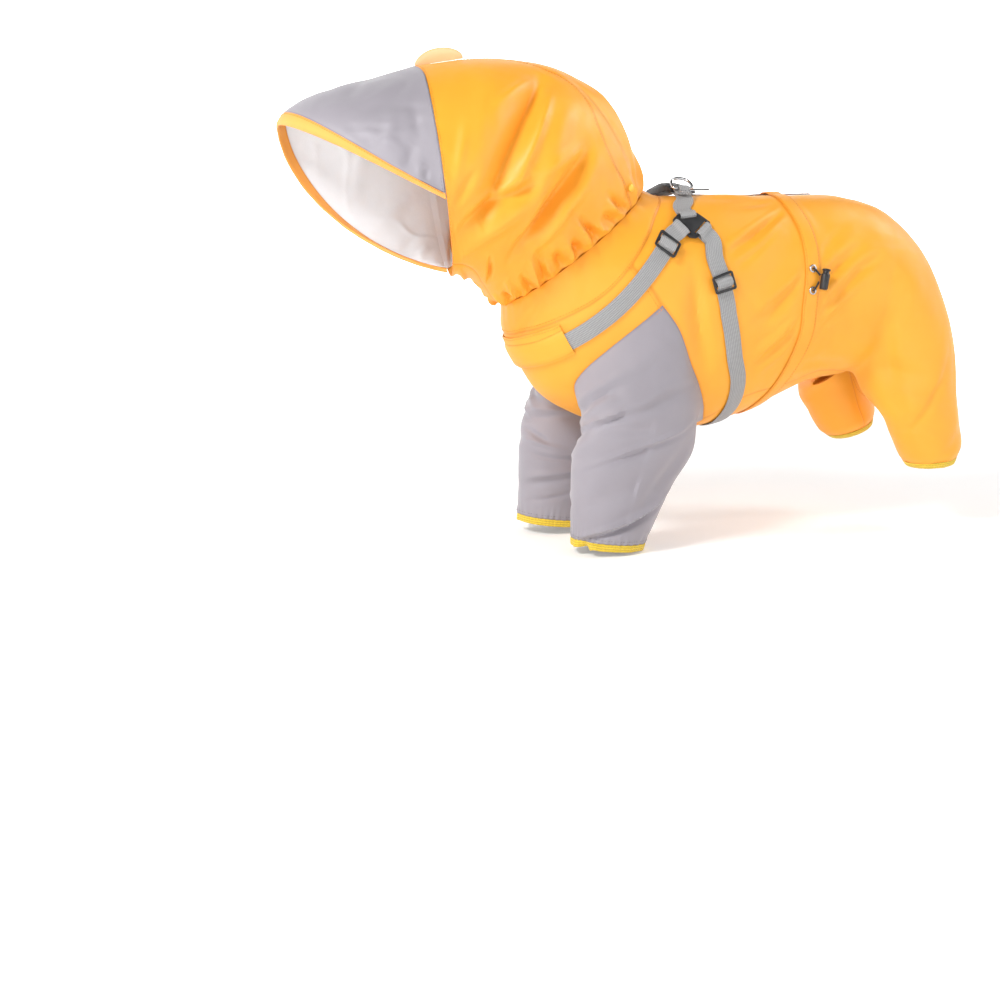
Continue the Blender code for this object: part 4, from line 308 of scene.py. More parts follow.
HARNESS_CLEARANCE = 0.35


# ---------------------------------------------------------------- tables, noise and directions

def along_table(rows: Sequence, position: np.ndarray) -> np.ndarray:
    """Read a smooth value at each position along a table's rows.

    Args:
        rows: The table, one row of numbers a station.
        position: Places along it, where whole numbers are the rows.

    Returns:
        One row of numbers for each place (Catmull-Rom, straight at both ends).
    """
    table = np.asarray(rows, float)
    last = len(table) - 1
    position = np.clip(np.asarray(position, float), 0, last)
    lower = np.minimum(position.astype(int), last - 1)
    part = (position - lower)[..., None]
    here = table[lower]
    after = table[lower + 1]
    before = np.where((lower == 0)[..., None], 2 * here - after, table[np.maximum(lower - 1, 0)])
    beyond = np.where((lower == last - 1)[..., None], 2 * after - here,
                      table[np.minimum(lower + 2, last)])
    return between_rows(before, here, after, beyond, part)


def smooth_step(value: np.ndarray) -> np.ndarray:
    """Rise from 0 to 1 with level ends."""
    value = np.clip(value, 0, 1)
    return value * value * (3 - 2 * value)


def unit(vectors: np.ndarray) -> np.ndarray:
    """Give vectors a length of one."""
    return vectors / np.maximum(np.linalg.norm(vectors, axis=-1, keepdims=True), 1e-9)


def lattice_noise(points: np.ndarray, size: float, seed: int) -> np.ndarray:
    """Smooth uneven values in space, the same on every run.

    Args:
        points: Places in mm, the last axis being x, y, z.
        size: The distance over which the value changes.
        seed: A number that sets one pattern apart from another.

    Returns:
        A value from -1 to 1 at each place.
    """
    place = np.asarray(points, float) / size + 31.7 * seed
    cell = np.floor(place)
    part = place - cell
    part = part * part * (3 - 2 * part)
    cell = cell.astype(np.int64)
    total = np.zeros(place.shape[:-1])
    for corner in range(8):
        step = np.array([corner & 1, (corner >> 1) & 1, (corner >> 2) & 1])
        key = cell + step
        mixed = (key[..., 0] * 73856093) ^ (key[..., 1] * 19349663) ^ (key[..., 2] * 83492791) ^ (seed * 2654435)
        mixed = (((mixed ^ (mixed >> 13)) & 0xFFFFFFF) * 1274126177) & 0xFFFFFF
        weight = np.prod(np.where(step, part, 1 - part), axis=-1)
        total += weight * (mixed / 0xFFFFFF * 2 - 1)
    return total


def crease_lines(points: np.ndarray, size: float, seed: int, sharpness: float = 2.4) -> np.ndarray:
    """Thin wandering ridges, 1 on a ridge and 0 between, as on lightly crumpled cloth."""
    wander = lattice_noise(points, size * 1.7, seed + 5) * size * 0.45
    value = lattice_noise(points + wander[..., None], size, seed)
    return smooth_step(1 - np.abs(value) * sharpness)


def spread(*values: object) -> tuple[np.ndarray, ...]:
    """Numbers or arrays brought to one shape."""
    return tuple(np.broadcast_arrays(*(np.asarray(value, float) for value in values)))


def distances_along(points: Sequence) -> np.ndarray:
    """How far along its line each point lies."""
    return np.concatenate([[0], np.cumsum(np.linalg.norm(np.diff(points, axis=0), axis=1))])


def between_rows(before: np.ndarray, here: np.ndarray, after: np.ndarray, beyond: np.ndarray,
                 part: np.ndarray) -> np.ndarray:
    """A smooth (Catmull-Rom) value a part of the way from one row to the next, with the rows beside them."""
    return 0.5 * (2 * here + (after - before) * part
                  + (2 * before - 5 * here + 4 * after - beyond) * part ** 2
                  + (3 * here - before - 3 * after + beyond) * part ** 3)


def turned(vector: np.ndarray, axis: np.ndarray, angle: np.ndarray) -> np.ndarray:
    """Turn vectors about axes by angles in radians, row by row."""
    cosine, sine = np.cos(angle)[..., None], np.sin(angle)[..., None]
    dot = (axis * vector).sum(-1, keepdims=True)
    return vector * cosine + np.cross(axis, vector) * sine + axis * dot * (1 - cosine)


# ---------------------------------------------------------------- cloth surfaces

Shape = Callable[[np.ndarray, np.ndarray], np.ndarray]


def bent_line(start: np.ndarray, middle: np.ndarray, end: np.ndarray, count: int = 13) -> np.ndarray:
    """Places along a line that bends towards its middle place."""
    part = np.linspace(0, 1, count)[:, None]
    return start * (1 - part) ** 2 + 2 * middle * part * (1 - part) + end * part ** 2


def curve_weight(place: np.ndarray, spots: np.ndarray, width: float) -> np.ndarray:
    """How strongly a fold along a line of spots acts on each place, less at its ends."""
    spot, step = spots[:-1], np.diff(spots, axis=0)
    away = place[:, None] - spot
    share = np.clip((away * step).sum(-1) / (step * step).sum(-1), 0, 1)
    gaps = np.linalg.norm(away - step * share[..., None], axis=-1)
    best = gaps.argmin(axis=1)
    rows = np.arange(len(place))
    where = (best + share[rows, best]) / len(step)
    return np.sin(np.pi * (0.08 + 0.84 * where)) * np.exp(-(gaps[rows, best] / width) ** 2)


class Surface:
    """A cloth surface: its smooth shape, its folds and what is finer than they are."""

    def __init__(self, shape: Shape, folds: list[Fold], metric: tuple[float, float], facing: int,
                 ripple: Shape | None = None) -> None:
        """Keep the shape.

        Args:
            shape: Gives points for rings and angles.
            folds: The folds that move the cloth along its normal.
            metric: About how many mm one ring and one degree are.
            facing: 1 or -1, whichever makes the normals point outwards.
            ripple: Gives a further move at each place, such as gathers.
        """
        self.shape = shape
        self.folds = folds
        self.metric = np.array(metric)
        self.facing = facing
        self.ripple = ripple
        self.creases: list[Fold] = []
        self.calm: Shape | None = None
        self.drape = 1.0

    def smooth_normal(self, ring: np.ndarray, angle: np.ndarray) -> np.ndarray:
        """The outward direction of the smooth shape."""
        along = self.shape(ring + 0.02, angle) - self.shape(ring - 0.02, angle)
        around = self.shape(ring, angle + 1.0) - self.shape(ring, angle - 1.0)
        return unit(np.cross(around, along)) * self.facing

    def fold_depth(self, ring: np.ndarray, angle: np.ndarray, folds: list[Fold]) -> np.ndarray:
        """How far a list of folds moves the cloth out at each place."""
        place = np.stack([ring, angle], -1) * self.metric
        shape = place.shape[:-1]
        place = place.reshape(-1, 2)
        depth = np.zeros(len(place))
        for fold in folds:
            start, middle, end = (np.array(p) * self.metric for p in (fold.start, fold.middle, fold.end))
            reach = 2.8 * fold.width
            low, high = (pick((start, middle, end), axis=0) for pick in (np.min, np.max))
            near = np.nonzero(((place > low - reach) & (place < high + reach)).all(axis=1))[0]
            if not len(near):
                continue
            depth[near] -= fold.depth * curve_weight(place[near], bent_line(start, middle, end), fold.width)
        return depth.reshape(shape)

    def calmness(self, ring: np.ndarray, angle: np.ndarray) -> np.ndarray:
        """0 where something lies flat on the cloth, and 1 away from it."""
        if self.calm is None:
            return np.ones(np.broadcast(ring, angle).shape)
        return self.calm(ring, angle)

    def fine_move(self, smooth: np.ndarray, ring: np.ndarray, angle: np.ndarray) -> np.ndarray:
        """The moves that only the finished cloth has: sharper creases and a soft crumple."""
        move = self.fold_depth(ring, angle, self.creases) if self.creases else 0.0
        soft = 0.55 * lattice_noise(smooth, 34.0, 3) + 0.22 * lattice_noise(smooth, 15.0, 8)
        lines = crease_lines(smooth, 42.0, 11) * smooth_step(0.5 + 1.6 * lattice_noise(smooth, 60.0, 21))
        return (move + self.drape * (soft - 0.7 * lines)) * self.calmness(ring, angle)

    def point(self, ring: np.ndarray, angle: np.ndarray, lift: np.ndarray | float = 0.0) -> np.ndarray:
        """Points at ring and angle, lifted off the folded cloth along its normal."""
        ring, angle = spread(ring, angle)
        smooth = self.shape(ring, angle)
        move = self.fold_depth(ring, angle, self.folds) + lift + self.fine_move(smooth, ring, angle)
        if self.ripple:
            move = move + self.ripple(ring, angle)
        return smooth + self.smooth_normal(ring, angle) * move[..., None]

    def normal(self, ring: np.ndarray, angle: np.ndarray) -> np.ndarray:
        """The outward direction of the folded cloth."""
        ring, angle = spread(ring, angle)
        along = self.point(ring + 0.04, angle) - self.point(ring - 0.04, angle)
        around = self.point(ring, angle + 1.0) - self.point(ring, angle - 1.0)
        return unit(np.cross(around, along)) * self.facing


def stepped(ring: np.ndarray, angle: np.ndarray, row: np.ndarray, x: np.ndarray, y: np.ndarray,
            z: np.ndarray) -> tuple[np.ndarray, np.ndarray]:
    """Move the right hind leg's rings forward and up, and lean each; the middle seams stay put."""
    step = np.array(RIGHT_HIND_STEP)
    lowness = smooth_step((angle - 90) / 60)
    onset = TAIL_RING + (BELLY_END_RING - TAIL_RING) * lowness
    weight = np.maximum(smooth_step(y / STEP_FULL_OFF_CENTRE), smooth_step((ring - onset) / 3.0))
    forward, lift, lean = (np.interp(ring, step[:, 0], step[:, k]) * weight for k in (1, 2, 3))
    middle_x = 0.5 * (row[..., 0] + row[..., 2])
    middle_z = 0.5 * (row[..., 1] + row[..., 3])
    turn = np.radians(lean)
    leant_x = middle_x + (x - middle_x) * np.cos(turn) - (z - middle_z) * np.sin(turn)
    leant_z = middle_z + (x - middle_x) * np.sin(turn) + (z - middle_z) * np.cos(turn)
    return leant_x - forward, leant_z + lift


def body_shape(side: Side) -> Shape:
    """The body's ring shape on one side."""
    def shape(ring: np.ndarray, angle: np.ndarray) -> np.ndarray:
        row = along_table(BODY_RINGS, ring)
        turn = np.radians(angle)
        power = 2 / row[..., 6]
        cosine = np.sign(np.cos(turn)) * np.abs(np.cos(turn)) ** power
        sine = np.sign(np.sin(turn)) * np.abs(np.sin(turn)) ** power
        height = 0.5 * (1 + cosine) + 0.5 * row[..., 5] * np.abs(sine)
        leg = smooth_step((ring - HIP_RING) / (THIGH_RING - HIP_RING))
        x = row[..., 2] + (row[..., 0] - row[..., 2]) * height
        z = row[..., 3] + (row[..., 1] - row[..., 3]) * height
        y = HIND_LEG_OFF_CENTRE * leg + row[..., 4] * sine
        if side is Side.RIGHT:
            x, z = stepped(ring, angle, row, x, y, z)
        return np.stack([x, -side.value * y, z], -1)
    return shape


def both_sides(ring: np.ndarray, angle: np.ndarray) -> np.ndarray:
    """The whole body as one surface: angles past 180 are on the right side."""
    right = angle > 180
    left_point = body_shape(Side.LEFT)(ring, np.where(right, 180, angle))
    right_point = body_shape(Side.RIGHT)(ring, np.where(right, 360 - angle, 180))
    return np.where(right[..., None], right_point, left_point)


def mirrored(folds: list[Fold]) -> list[Fold]:
    """The folds of both sides on a surface whose right side has angles from 180 to 360."""
    right = [
        Fold(*((p[0], 360 - p[1]) for p in (fold.start, fold.middle, fold.end)), fold.width, fold.depth)
        for fold in folds
    ]
    return folds + right


def turned_round(folds: list[Fold], flip: bool) -> list[Fold]:
    """The folds again at angles below 0: as their mirror image, or the same ones a whole turn back."""
    def back(place: tuple[float, float]) -> tuple[float, float]:
        return (place[0], -place[1] if flip else place[1] - 360)

    return folds + [Fold(back(f.start), back(f.middle), back(f.end), f.width, f.depth) for f in folds]


def hood_shape(ring: np.ndarray, angle: np.ndarray) -> np.ndarray:
    """The hood's rings, turned more and more from the neck to the face."""
    rows = along_table(HOOD_RINGS, ring)
    overshoot = np.asarray(ring) - np.clip(ring, 0, FACE_RING)
    forward, sideways, up = hood_axes(rows[..., 3], rows[..., 4], rows[..., 5])
    turn = np.radians(angle)[..., None]
    near_top = 1 - smooth_step((np.abs(angle) - FACE_PEAK_TURN) / FACE_PEAK_FADE)
    peak = FACE_PEAK * near_top * np.clip(ring / FACE_RING, 0, 1) ** 4
    return (rows[..., :3] + forward * (overshoot * 30.0 + peak)[..., None]
            + up * rows[..., 6:7] * np.cos(turn) + sideways * rows[..., 7:8] * np.sin(turn))


def hood_axes(pitch: np.ndarray, yaw: np.ndarray, roll: np.ndarray) -> tuple[np.ndarray, ...]:
    """The forward, sideways (left) and up directions of hood rings, from angles in degrees."""
    pitch, yaw, roll = (np.radians(np.asarray(a, float)) for a in (pitch, yaw, roll))
    forward, sideways, up = (np.broadcast_to(np.array(v), pitch.shape + (3,))
                             for v in ((-1.0, 0.0, 0.0), (0.0, -1.0, 0.0), (0.0, 0.0, 1.0)))
    forward, sideways = turned(forward, up, -yaw), turned(sideways, up, -yaw)
    forward, up = turned(forward, sideways, pitch), turned(up, sideways, pitch)
    sideways, up = turned(sideways, forward, roll), turned(up, forward, roll)
    return forward, sideways, up


def gather_ripple(ring: np.ndarray, angle: np.ndarray) -> np.ndarray:
    """Small puffs above the neck seam, of uneven height."""
    rise = np.clip(ring / 0.35, 0, 1) * np.exp(-np.clip(ring - 0.35, 0, None) / 0.45)
    wave = np.cos(np.radians(angle * GATHERS)) * (0.7 + 0.3 * np.cos(np.radians(angle * 7 + 40)))
    calm = smooth_step(np.abs(np.abs(angle) - GATHER_SEAM_TURN) / GATHER_CALM_TURN)
    return GATHER_HEIGHT * rise * wave * calm


BODY = {side: Surface(body_shape(side), BODY_FOLDS, BODY_METRIC, side.value) for side in Side}
TORSO = Surface(both_sides, mirrored(BODY_FOLDS), BODY_METRIC, 1)
HOOD = Surface(hood_shape, HOOD_FOLDS, HOOD_METRIC, -1, gather_ripple)
HOOD.creases = turned_round(HOOD_CREASES, True)
TORSO.creases = mirrored(BODY_CREASES)
for leaf in BODY.values():
    leaf.creases = BODY_CREASES


# ---------------------------------------------------------------- paths and bands on a surface

def smooth_path(surface: Surface, table: np.ndarray, count: int) -> np.ndarray:
    """Ring and angle at even steps along a smooth path through a table's places on a surface."""
    corners = surface.shape(table[:, 0], table[:, 1])
    gaps = np.linalg.norm(np.diff(corners, axis=0), axis=1)
    knots = np.concatenate([[0], np.cumsum(gaps)])
    slopes = np.diff(table, axis=0) / gaps[:, None]
    before, after = gaps[:-1, None], gaps[1:, None]
    inner = (before * slopes[1:] + after * slopes[:-1]) / (before + after)
    headings = np.concatenate([slopes[:1], inner, slopes[-1:]])
    where = np.linspace(0, knots[-1], count)
    part = np.clip(np.searchsorted(knots, where, side="right") - 1, 0, len(gaps) - 1)
    gap = gaps[part][:, None]
    along = (where - knots[part])[:, None] / gap
    start, end = table[part], table[part + 1]
    leave, arrive = headings[part] * gap, headings[part + 1] * gap
    rise = along ** 2 * (3 - 2 * along)
    return (start + (end - start) * rise + leave * along * (1 - along) ** 2
            - arrive * along ** 2 * (1 - along))


class Strip:
    """Places along, across and above a path on a surface, in mm."""

    def __init__(self, surface: Surface, path: Sequence, clearance: float = 0.0) -> None:
        """Measure a path, a table of ring and angle, and keep how far the strip lies off the cloth."""
        table = np.array([tuple(p)[:2] for p in path], float)
        fine = smooth_path(surface, table, 60 * len(table))
        self.clearance = clearance
        self.surface = surface
        self.track = fine
        self.travelled = distances_along(surface.shape(fine[:, 0], fine[:, 1]))
        self.length = float(self.travelled[-1])

    def spot(self, along: np.ndarray) -> tuple[np.ndarray, np.ndarray]:
        """Ring and angle at each distance along, and how fast both change; straight past the ends."""
        def read(where: np.ndarray) -> np.ndarray:
            return np.stack([np.interp(where, self.travelled, self.track[:, k]) for k in (0, 1)], -1)

        inside = np.clip(along, 2.0, self.length - 2.0)
        slope = (read(inside + 2.0) - read(inside - 2.0)) / 4.0
        return read(inside) + slope * (along - inside)[..., None], slope

    def flat(self, along: np.ndarray, across: np.ndarray) -> np.ndarray:
        """Ring and angle at places along and across, walked over the surface in four steps."""
        along, across = spread(along, across)
        spot, slope = self.spot(along)
        shape = self.surface.shape
        beside = None
        for _ in range(4):
            ring, angle = spot[..., 0], spot[..., 1]
            by_ring = (shape(ring + 0.02, angle) - shape(ring - 0.02, angle)) / 0.04
            by_angle = shape(ring, angle + 0.5) - shape(ring, angle - 0.5)
            outward = unit(np.cross(by_angle, by_ring)) * self.surface.facing
            if beside is None:
                beside = np.cross(outward, unit(by_ring * slope[..., :1] + by_angle * slope[..., 1:]))
            beside = unit(beside - outward * (beside * outward).sum(-1, keepdims=True))
            ring_ring = (by_ring * by_ring).sum(-1)
            ring_angle = (by_ring * by_angle).sum(-1)
            angle_angle = (by_angle * by_angle).sum(-1)
            beside_ring = (beside * by_ring).sum(-1)
            beside_angle = (beside * by_angle).sum(-1)
            area = ring_ring * angle_angle - ring_angle ** 2
            across_ring = (beside_ring * angle_angle - beside_angle * ring_angle) / area
            across_angle = (beside_angle * ring_ring - beside_ring * ring_angle) / area
            spot = spot + np.stack([across_ring, across_angle], -1) * (0.25 * across)[..., None]
        return spot

    def place(self, along: np.ndarray, across: np.ndarray, height: np.ndarray) -> np.ndarray:
        """Points at places along, across and above the cloth."""
        along, across, height = spread(along, across, height)
        flat = self.flat(along, across)
        return self.surface.point(flat[..., 0], flat[..., 1], height + self.clearance)

    def axes(self, along: float, across: float = 0.0) -> tuple[np.ndarray, np.ndarray, np.ndarray]:
        """The directions ahead, beside and outward at one place."""
        spots = self.place(np.array([along - 1.0, along + 1.0, along, along]),
                           np.array([across, across, across - 1.0, across + 1.0]), np.zeros(4))
        ahead = unit(spots[1] - spots[0])
        outward = unit(np.cross(ahead, spots[3] - spots[2]))
        return ahead, np.cross(outward, ahead), outward


def junction_strip(side: Side) -> tuple[Strip, float]:
    """A strip through a junction plate's middle, going rearwards, and where the middle is."""
    ring, angle = JUNCTION_PLACE
    angle = angle if side is Side.LEFT else 360 - angle
    strip = Strip(TORSO, [(ring - 1.0, angle), (ring, angle), (ring + 1.0, angle)], HARNESS_CLEARANCE)
    return strip, float(np.interp(ring, strip.track[:, 0], strip.travelled))


def strap_start(slot: Slot) -> list[tuple[float, float]]:
    """Ring and angle at a slot's middle and a little way out along its strap, on the left."""
    strip, middle = junction_strip(Side.LEFT)
    heading = math.radians(slot.heading)
    rows = []
    for out in STRAP_START:
        spot = strip.flat(middle + slot.rearward + out * math.cos(heading), slot.up + out * math.sin(heading))
        rows.append((float(spot[0]), float(spot[1])))
    return rows


def round_strip(slot: Slot, table: list, low: tuple[float, float]) -> Strip:
    """A strip from the left junction plate under the body to the right one."""
    left = strap_start(slot) + table
    right = [(ring, 360 - angle) for ring, angle in left[::-1]]
    return Strip(TORSO, left + [low] + right, HARNESS_CLEARANCE)


def top_strip() -> Strip:
    """A strip from the left junction plate over the withers to the right one."""
    start = strap_start(TOP_SLOT)
    other = [(ring, -angle) for ring, angle in start[::-1]]
    return Strip(TORSO, start + TOP_STRAP + other, HARNESS_CLEARANCE)


class FlatPlaces:
    """Where straps, bands and plates keep the body's cloth free of its finer creases."""

    def __init__(self, bands: Iterable[tuple[np.ndarray, float]], fade: float = 7.0) -> None:
        """Keep tracks of ring and angle with the half width of what lies on each."""
        self.bands = [(self.folded(track) * np.array(BODY_METRIC), half) for track, half in bands]
        self.fade = fade

    @staticmethod
    def folded(track: np.ndarray) -> np.ndarray:
        """Bring the angles of both sides onto 0 to 180."""
        angle = np.abs(track[:, 1])
        return np.stack([track[:, 0], np.where(angle > 180, 360 - angle, angle)], 1)

    def __call__(self, ring: np.ndarray, angle: np.ndarray) -> np.ndarray:
        """0 under a band and 1 away from all of them."""
        shape = np.broadcast(ring, angle).shape
        flat = np.stack([np.broadcast_to(ring, shape).ravel(), np.broadcast_to(angle, shape).ravel()], 1)
        result = np.ones(len(flat))
        near = flat[:, 0] < 10.0
        places = self.folded(flat[near]) * np.array(BODY_METRIC)
        calm = np.ones(len(places))
        for track, half in self.bands:
            nearest = np.full(len(places), FAR_AWAY)
            for start in range(0, len(places), 4096):
                block = places[start:start + 4096]
                gaps = np.linalg.norm(block[:, None] - track[None], axis=-1)
                nearest[start:start + 4096] = gaps.min(axis=1)
            calm = np.minimum(calm, smooth_step((nearest - half) / self.fade))
        result[near] = calm
        return result.reshape(shape)


# ---------------------------------------------------------------- finishes

def add_node(tree: bpy.types.NodeTree, kind: str, inputs: dict | None = None, **settings: object
             ) -> bpy.types.Node:
    """Add a node to a tree with its settings; each input follows a socket or takes a value."""
    node = tree.nodes.new(kind)
    for key, value in settings.items():
        setattr(node, key, value)
    for key, value in (inputs or {}).items():
        feed(tree, value, node.inputs[key])
    return node


def feed(tree: bpy.types.NodeTree, value: object, target: bpy.types.NodeSocket) -> None:
    """Let a socket follow another one, or give it a value of its own."""
    if isinstance(value, bpy.types.NodeSocket):
        tree.links.new(value, target)
    else:
        target.default_value = value


class NodePen:
    """Adds and links nodes of one material."""

    def __init__(self, name: str) -> None:
        """Start a material with its Principled shader."""
        self.material = bpy.data.materials.new(name)
        self.material.use_nodes = True
        self.tree = self.material.node_tree
        self.shader = self.tree.nodes["Principled BSDF"]

    def add(self, kind: str, inputs: dict | None = None, **settings: object) -> bpy.types.Node:
        """Add a node."""
        return add_node(self.tree, kind, inputs, **settings)

    def paint(self, values: dict) -> None:
        """Give inputs of the shader their sockets or values."""
        for label, value in values.items():
            feed(self.tree, value, self.shader.inputs[label])

    def place(self) -> bpy.types.NodeSocket:
        """Where a spot is on the finished coat."""
        return self.add("ShaderNodeTexCoord").outputs["Object"]

    def cut(self) -> bpy.types.NodeSocket:
        """Where a spot is on its flat cloth."""
        return self.add("ShaderNodeUVMap", uv_map="cut").outputs["UV"]

    def noise(self, vector: bpy.types.NodeSocket, scale: float, detail: float = 3.0) -> bpy.types.NodeSocket:
        """A noise pattern over a vector."""
        inputs = {"Vector": vector, "Scale": scale, "Detail": detail, "Roughness": NOISE_ROUGHNESS}
        return self.add("ShaderNodeTexNoise", inputs).outputs["Fac"]

    def wave(self, vector: bpy.types.NodeSocket, direction: str, scale: float) -> bpy.types.NodeSocket:
        """Even bands across one direction of a vector."""
        inputs = {"Vector": vector, "Scale": scale, "Distortion": 0.0}
        return self.add("ShaderNodeTexWave", inputs, bands_direction=direction).outputs["Fac"]

    def math(self, operation: str, first: object, second: object) -> bpy.types.NodeSocket:
        """A sum of two sockets or numbers."""
        return self.add("ShaderNodeMath", {0: first, 1: second}, operation=operation).outputs[0]

    def blend(self, part: bpy.types.NodeSocket, first: object, second: Sequence[float],
              kind: str = "MIX") -> bpy.types.NodeSocket:
        """A colour between two colours."""
        inputs = {"Factor": part, "A": first, "B": (*second, 1.0)}
        return self.add("ShaderNodeMix", inputs, data_type="RGBA", blend_type=kind).outputs["Result"]

    def shades(self, part: bpy.types.NodeSocket, colour: Sequence[float], low: float, high: float
               ) -> bpy.types.NodeSocket:
        """A colour between a darker and a lighter shade of one colour."""
        dark, light = (tuple(min(1.0, c * factor) for c in colour) for factor in (low, high))
        return self.blend(part, (*dark, 1.0), light)

    def ramp(self, value: bpy.types.NodeSocket, low: float, high: float, to_low: float = 0.0,
             to_high: float = 1.0) -> bpy.types.NodeSocket:
        """Spread values between low and high over another range."""
        inputs = {"Value": value, "From Min": low, "From Max": high, "To Min": to_low, "To Max": to_high}
        return self.add("ShaderNodeMapRange", inputs).outputs["Result"]

    def relief(self, height: bpy.types.NodeSocket, depth_mm: float, strength: float,
               under: bpy.types.NodeSocket | None = None) -> bpy.types.NodeSocket:
        """Relief of a depth, on top of another relief."""
        inputs = {"Distance": depth_mm * MM, "Strength": strength, "Height": height}
        if under is not None:
            inputs["Normal"] = under
        return self.add("ShaderNodeBump", inputs).outputs["Normal"]

    def uneven(self, place: bpy.types.NodeSocket, scale: float, middle: float, less: float, more: float
               ) -> bpy.types.NodeSocket:
        """A value that wanders round a middle one over the surface."""
        return self.ramp(self.noise(place, scale), 0.3, 0.7, middle - less, middle + more)


@dataclass(frozen=True)
class ClothFinish:
    """Woven cloth with a fine weave, a soft crumple and slightly uneven colour."""

    name: str
    colour: tuple[float, float, float]
    roughness: float = 0.55
    sheen: float = 0.25
    weave_mm: float = 0.5
    weave_depth_mm: float = 0.03
    crumple_mm: float = 0.35
    coat: float = 0.0
    shadow: tuple[float, float, float] = (0.8, 0.62, 0.4)

    def build(self) -> bpy.types.Material:
        """Make the material."""
        pen = NodePen(self.name)
        place, cut = pen.place(), pen.cut()
        base = pen.shades(pen.ramp(pen.noise(place, 14.0), 0.35, 0.65), self.colour, 0.95, 1.02)
        seam = pen.add("ShaderNodeAttribute", attribute_name="seam").outputs["Fac"]
        rate = math.pi / 10 / (self.weave_mm * MM)
        weave = pen.math("MULTIPLY", pen.wave(cut, "X", rate), pen.wave(cut, "Y", rate))
        stretched = pen.add("ShaderNodeMapping", {"Vector": place, "Scale": (1.0, 0.6, 0.6)}).outputs["Vector"]
        relief = pen.relief(weave, self.weave_depth_mm, 0.6)
        # Painted shade: within 1.6 mm of a seam or edge, read from the seam distance each point carries, the colour
        # darkens towards the shadow colour.
        pen.paint({
            "Base Color": pen.blend(pen.ramp(seam, 0.0, 1.6, 0.75, 0.0), base, self.shadow, "MULTIPLY"),
            "Roughness": pen.uneven(place, 90.0, self.roughness, 0.05, 0.05),
            "Normal": pen.relief(pen.noise(stretched, 55.0, 4.0), self.crumple_mm, 0.55, relief),
            "Sheen Weight": self.sheen, "Sheen Roughness": 0.45, "Coat Weight": self.coat, "Coat Roughness": 0.3})
        return pen.material


@dataclass(frozen=True)
class TapeFinish:
    """Webbing or tape whose ribs run across it, read from its own length and width."""

    name: str
    colour: tuple[float, float, float]
    rib_mm: float = 1.25
    cord_mm: float = 1.9
    depth_mm: float = 0.16
    roughness: float = 0.62

    def build(self) -> bpy.types.Material:
        """Make the material."""
        pen = NodePen(self.name)
        cut = pen.cut()
        rate = math.pi / 10 / MM
        slanted = pen.add("ShaderNodeMapping", {"Vector": cut, "Rotation": (0.0, 0.0, math.radians(22))})
        ribs = pen.wave(slanted.outputs["Vector"], "X", rate / self.rib_mm)
        cords = pen.wave(cut, "Y", rate / self.cord_mm)
        weave = pen.math("MULTIPLY", pen.math("ADD", ribs, 0.35), pen.math("ADD", cords, 0.6))
        relief = pen.relief(weave, self.depth_mm, 0.9)
        # Painted shade and highlight: the colour follows the ribs' height, darker in the hollows between ribs and
        # lighter on their crests.
        pen.paint({"Base Color": pen.shades(pen.ramp(weave, 0.1, 1.6), self.colour, 0.45, 1.22),
                   "Normal": pen.relief(pen.noise(pen.place(), 900.0), 0.05, 0.5, relief),
                   "Roughness": self.roughness, "Sheen Weight": 0.15})
        return pen.material


@dataclass(frozen=True)
class PlasticFinish:
    """Moulded plastic with a fine grain and softly worn gloss."""

    name: str
    colour: tuple[float, float, float]
    roughness: float = 0.42
    grain_mm: float = 0.03

    def build(self) -> bpy.types.Material:
        """Make the material."""
        pen = NodePen(self.name)
        place = pen.place()
        pen.paint({"Base Color": pen.shades(pen.ramp(pen.noise(place, 160.0), 0.35, 0.65), self.colour, 0.85, 1.25),
                   "Roughness": pen.uneven(place, 420.0, self.roughness, 0.07, 0.1),
                   "Normal": pen.relief(pen.noise(place, 2600.0), self.grain_mm, 0.6)})
        return pen.material


@dataclass(frozen=True)
class MetalFinish:
    """Plated metal with faint handling marks."""

    name: str
    colour: tuple[float, float, float]
    roughness: float = 0.24

    def build(self) -> bpy.types.Material:
        """Make the material."""
        pen = NodePen(self.name)
        place = pen.place()
        pen.paint({"Base Color": pen.shades(pen.ramp(pen.noise(place, 340.0), 0.3, 0.7), self.colour, 0.86, 1.05),
                   "Roughness": pen.uneven(place, 800.0, self.roughness, 0.05, 0.08), "Metallic": 1.0})
        return pen.material


class Dress(NamedTuple):
    """A record slot with the finish that dresses it."""

    slot: str
    finish: ClothFinish | TapeFinish | PlasticFinish | MetalFinish


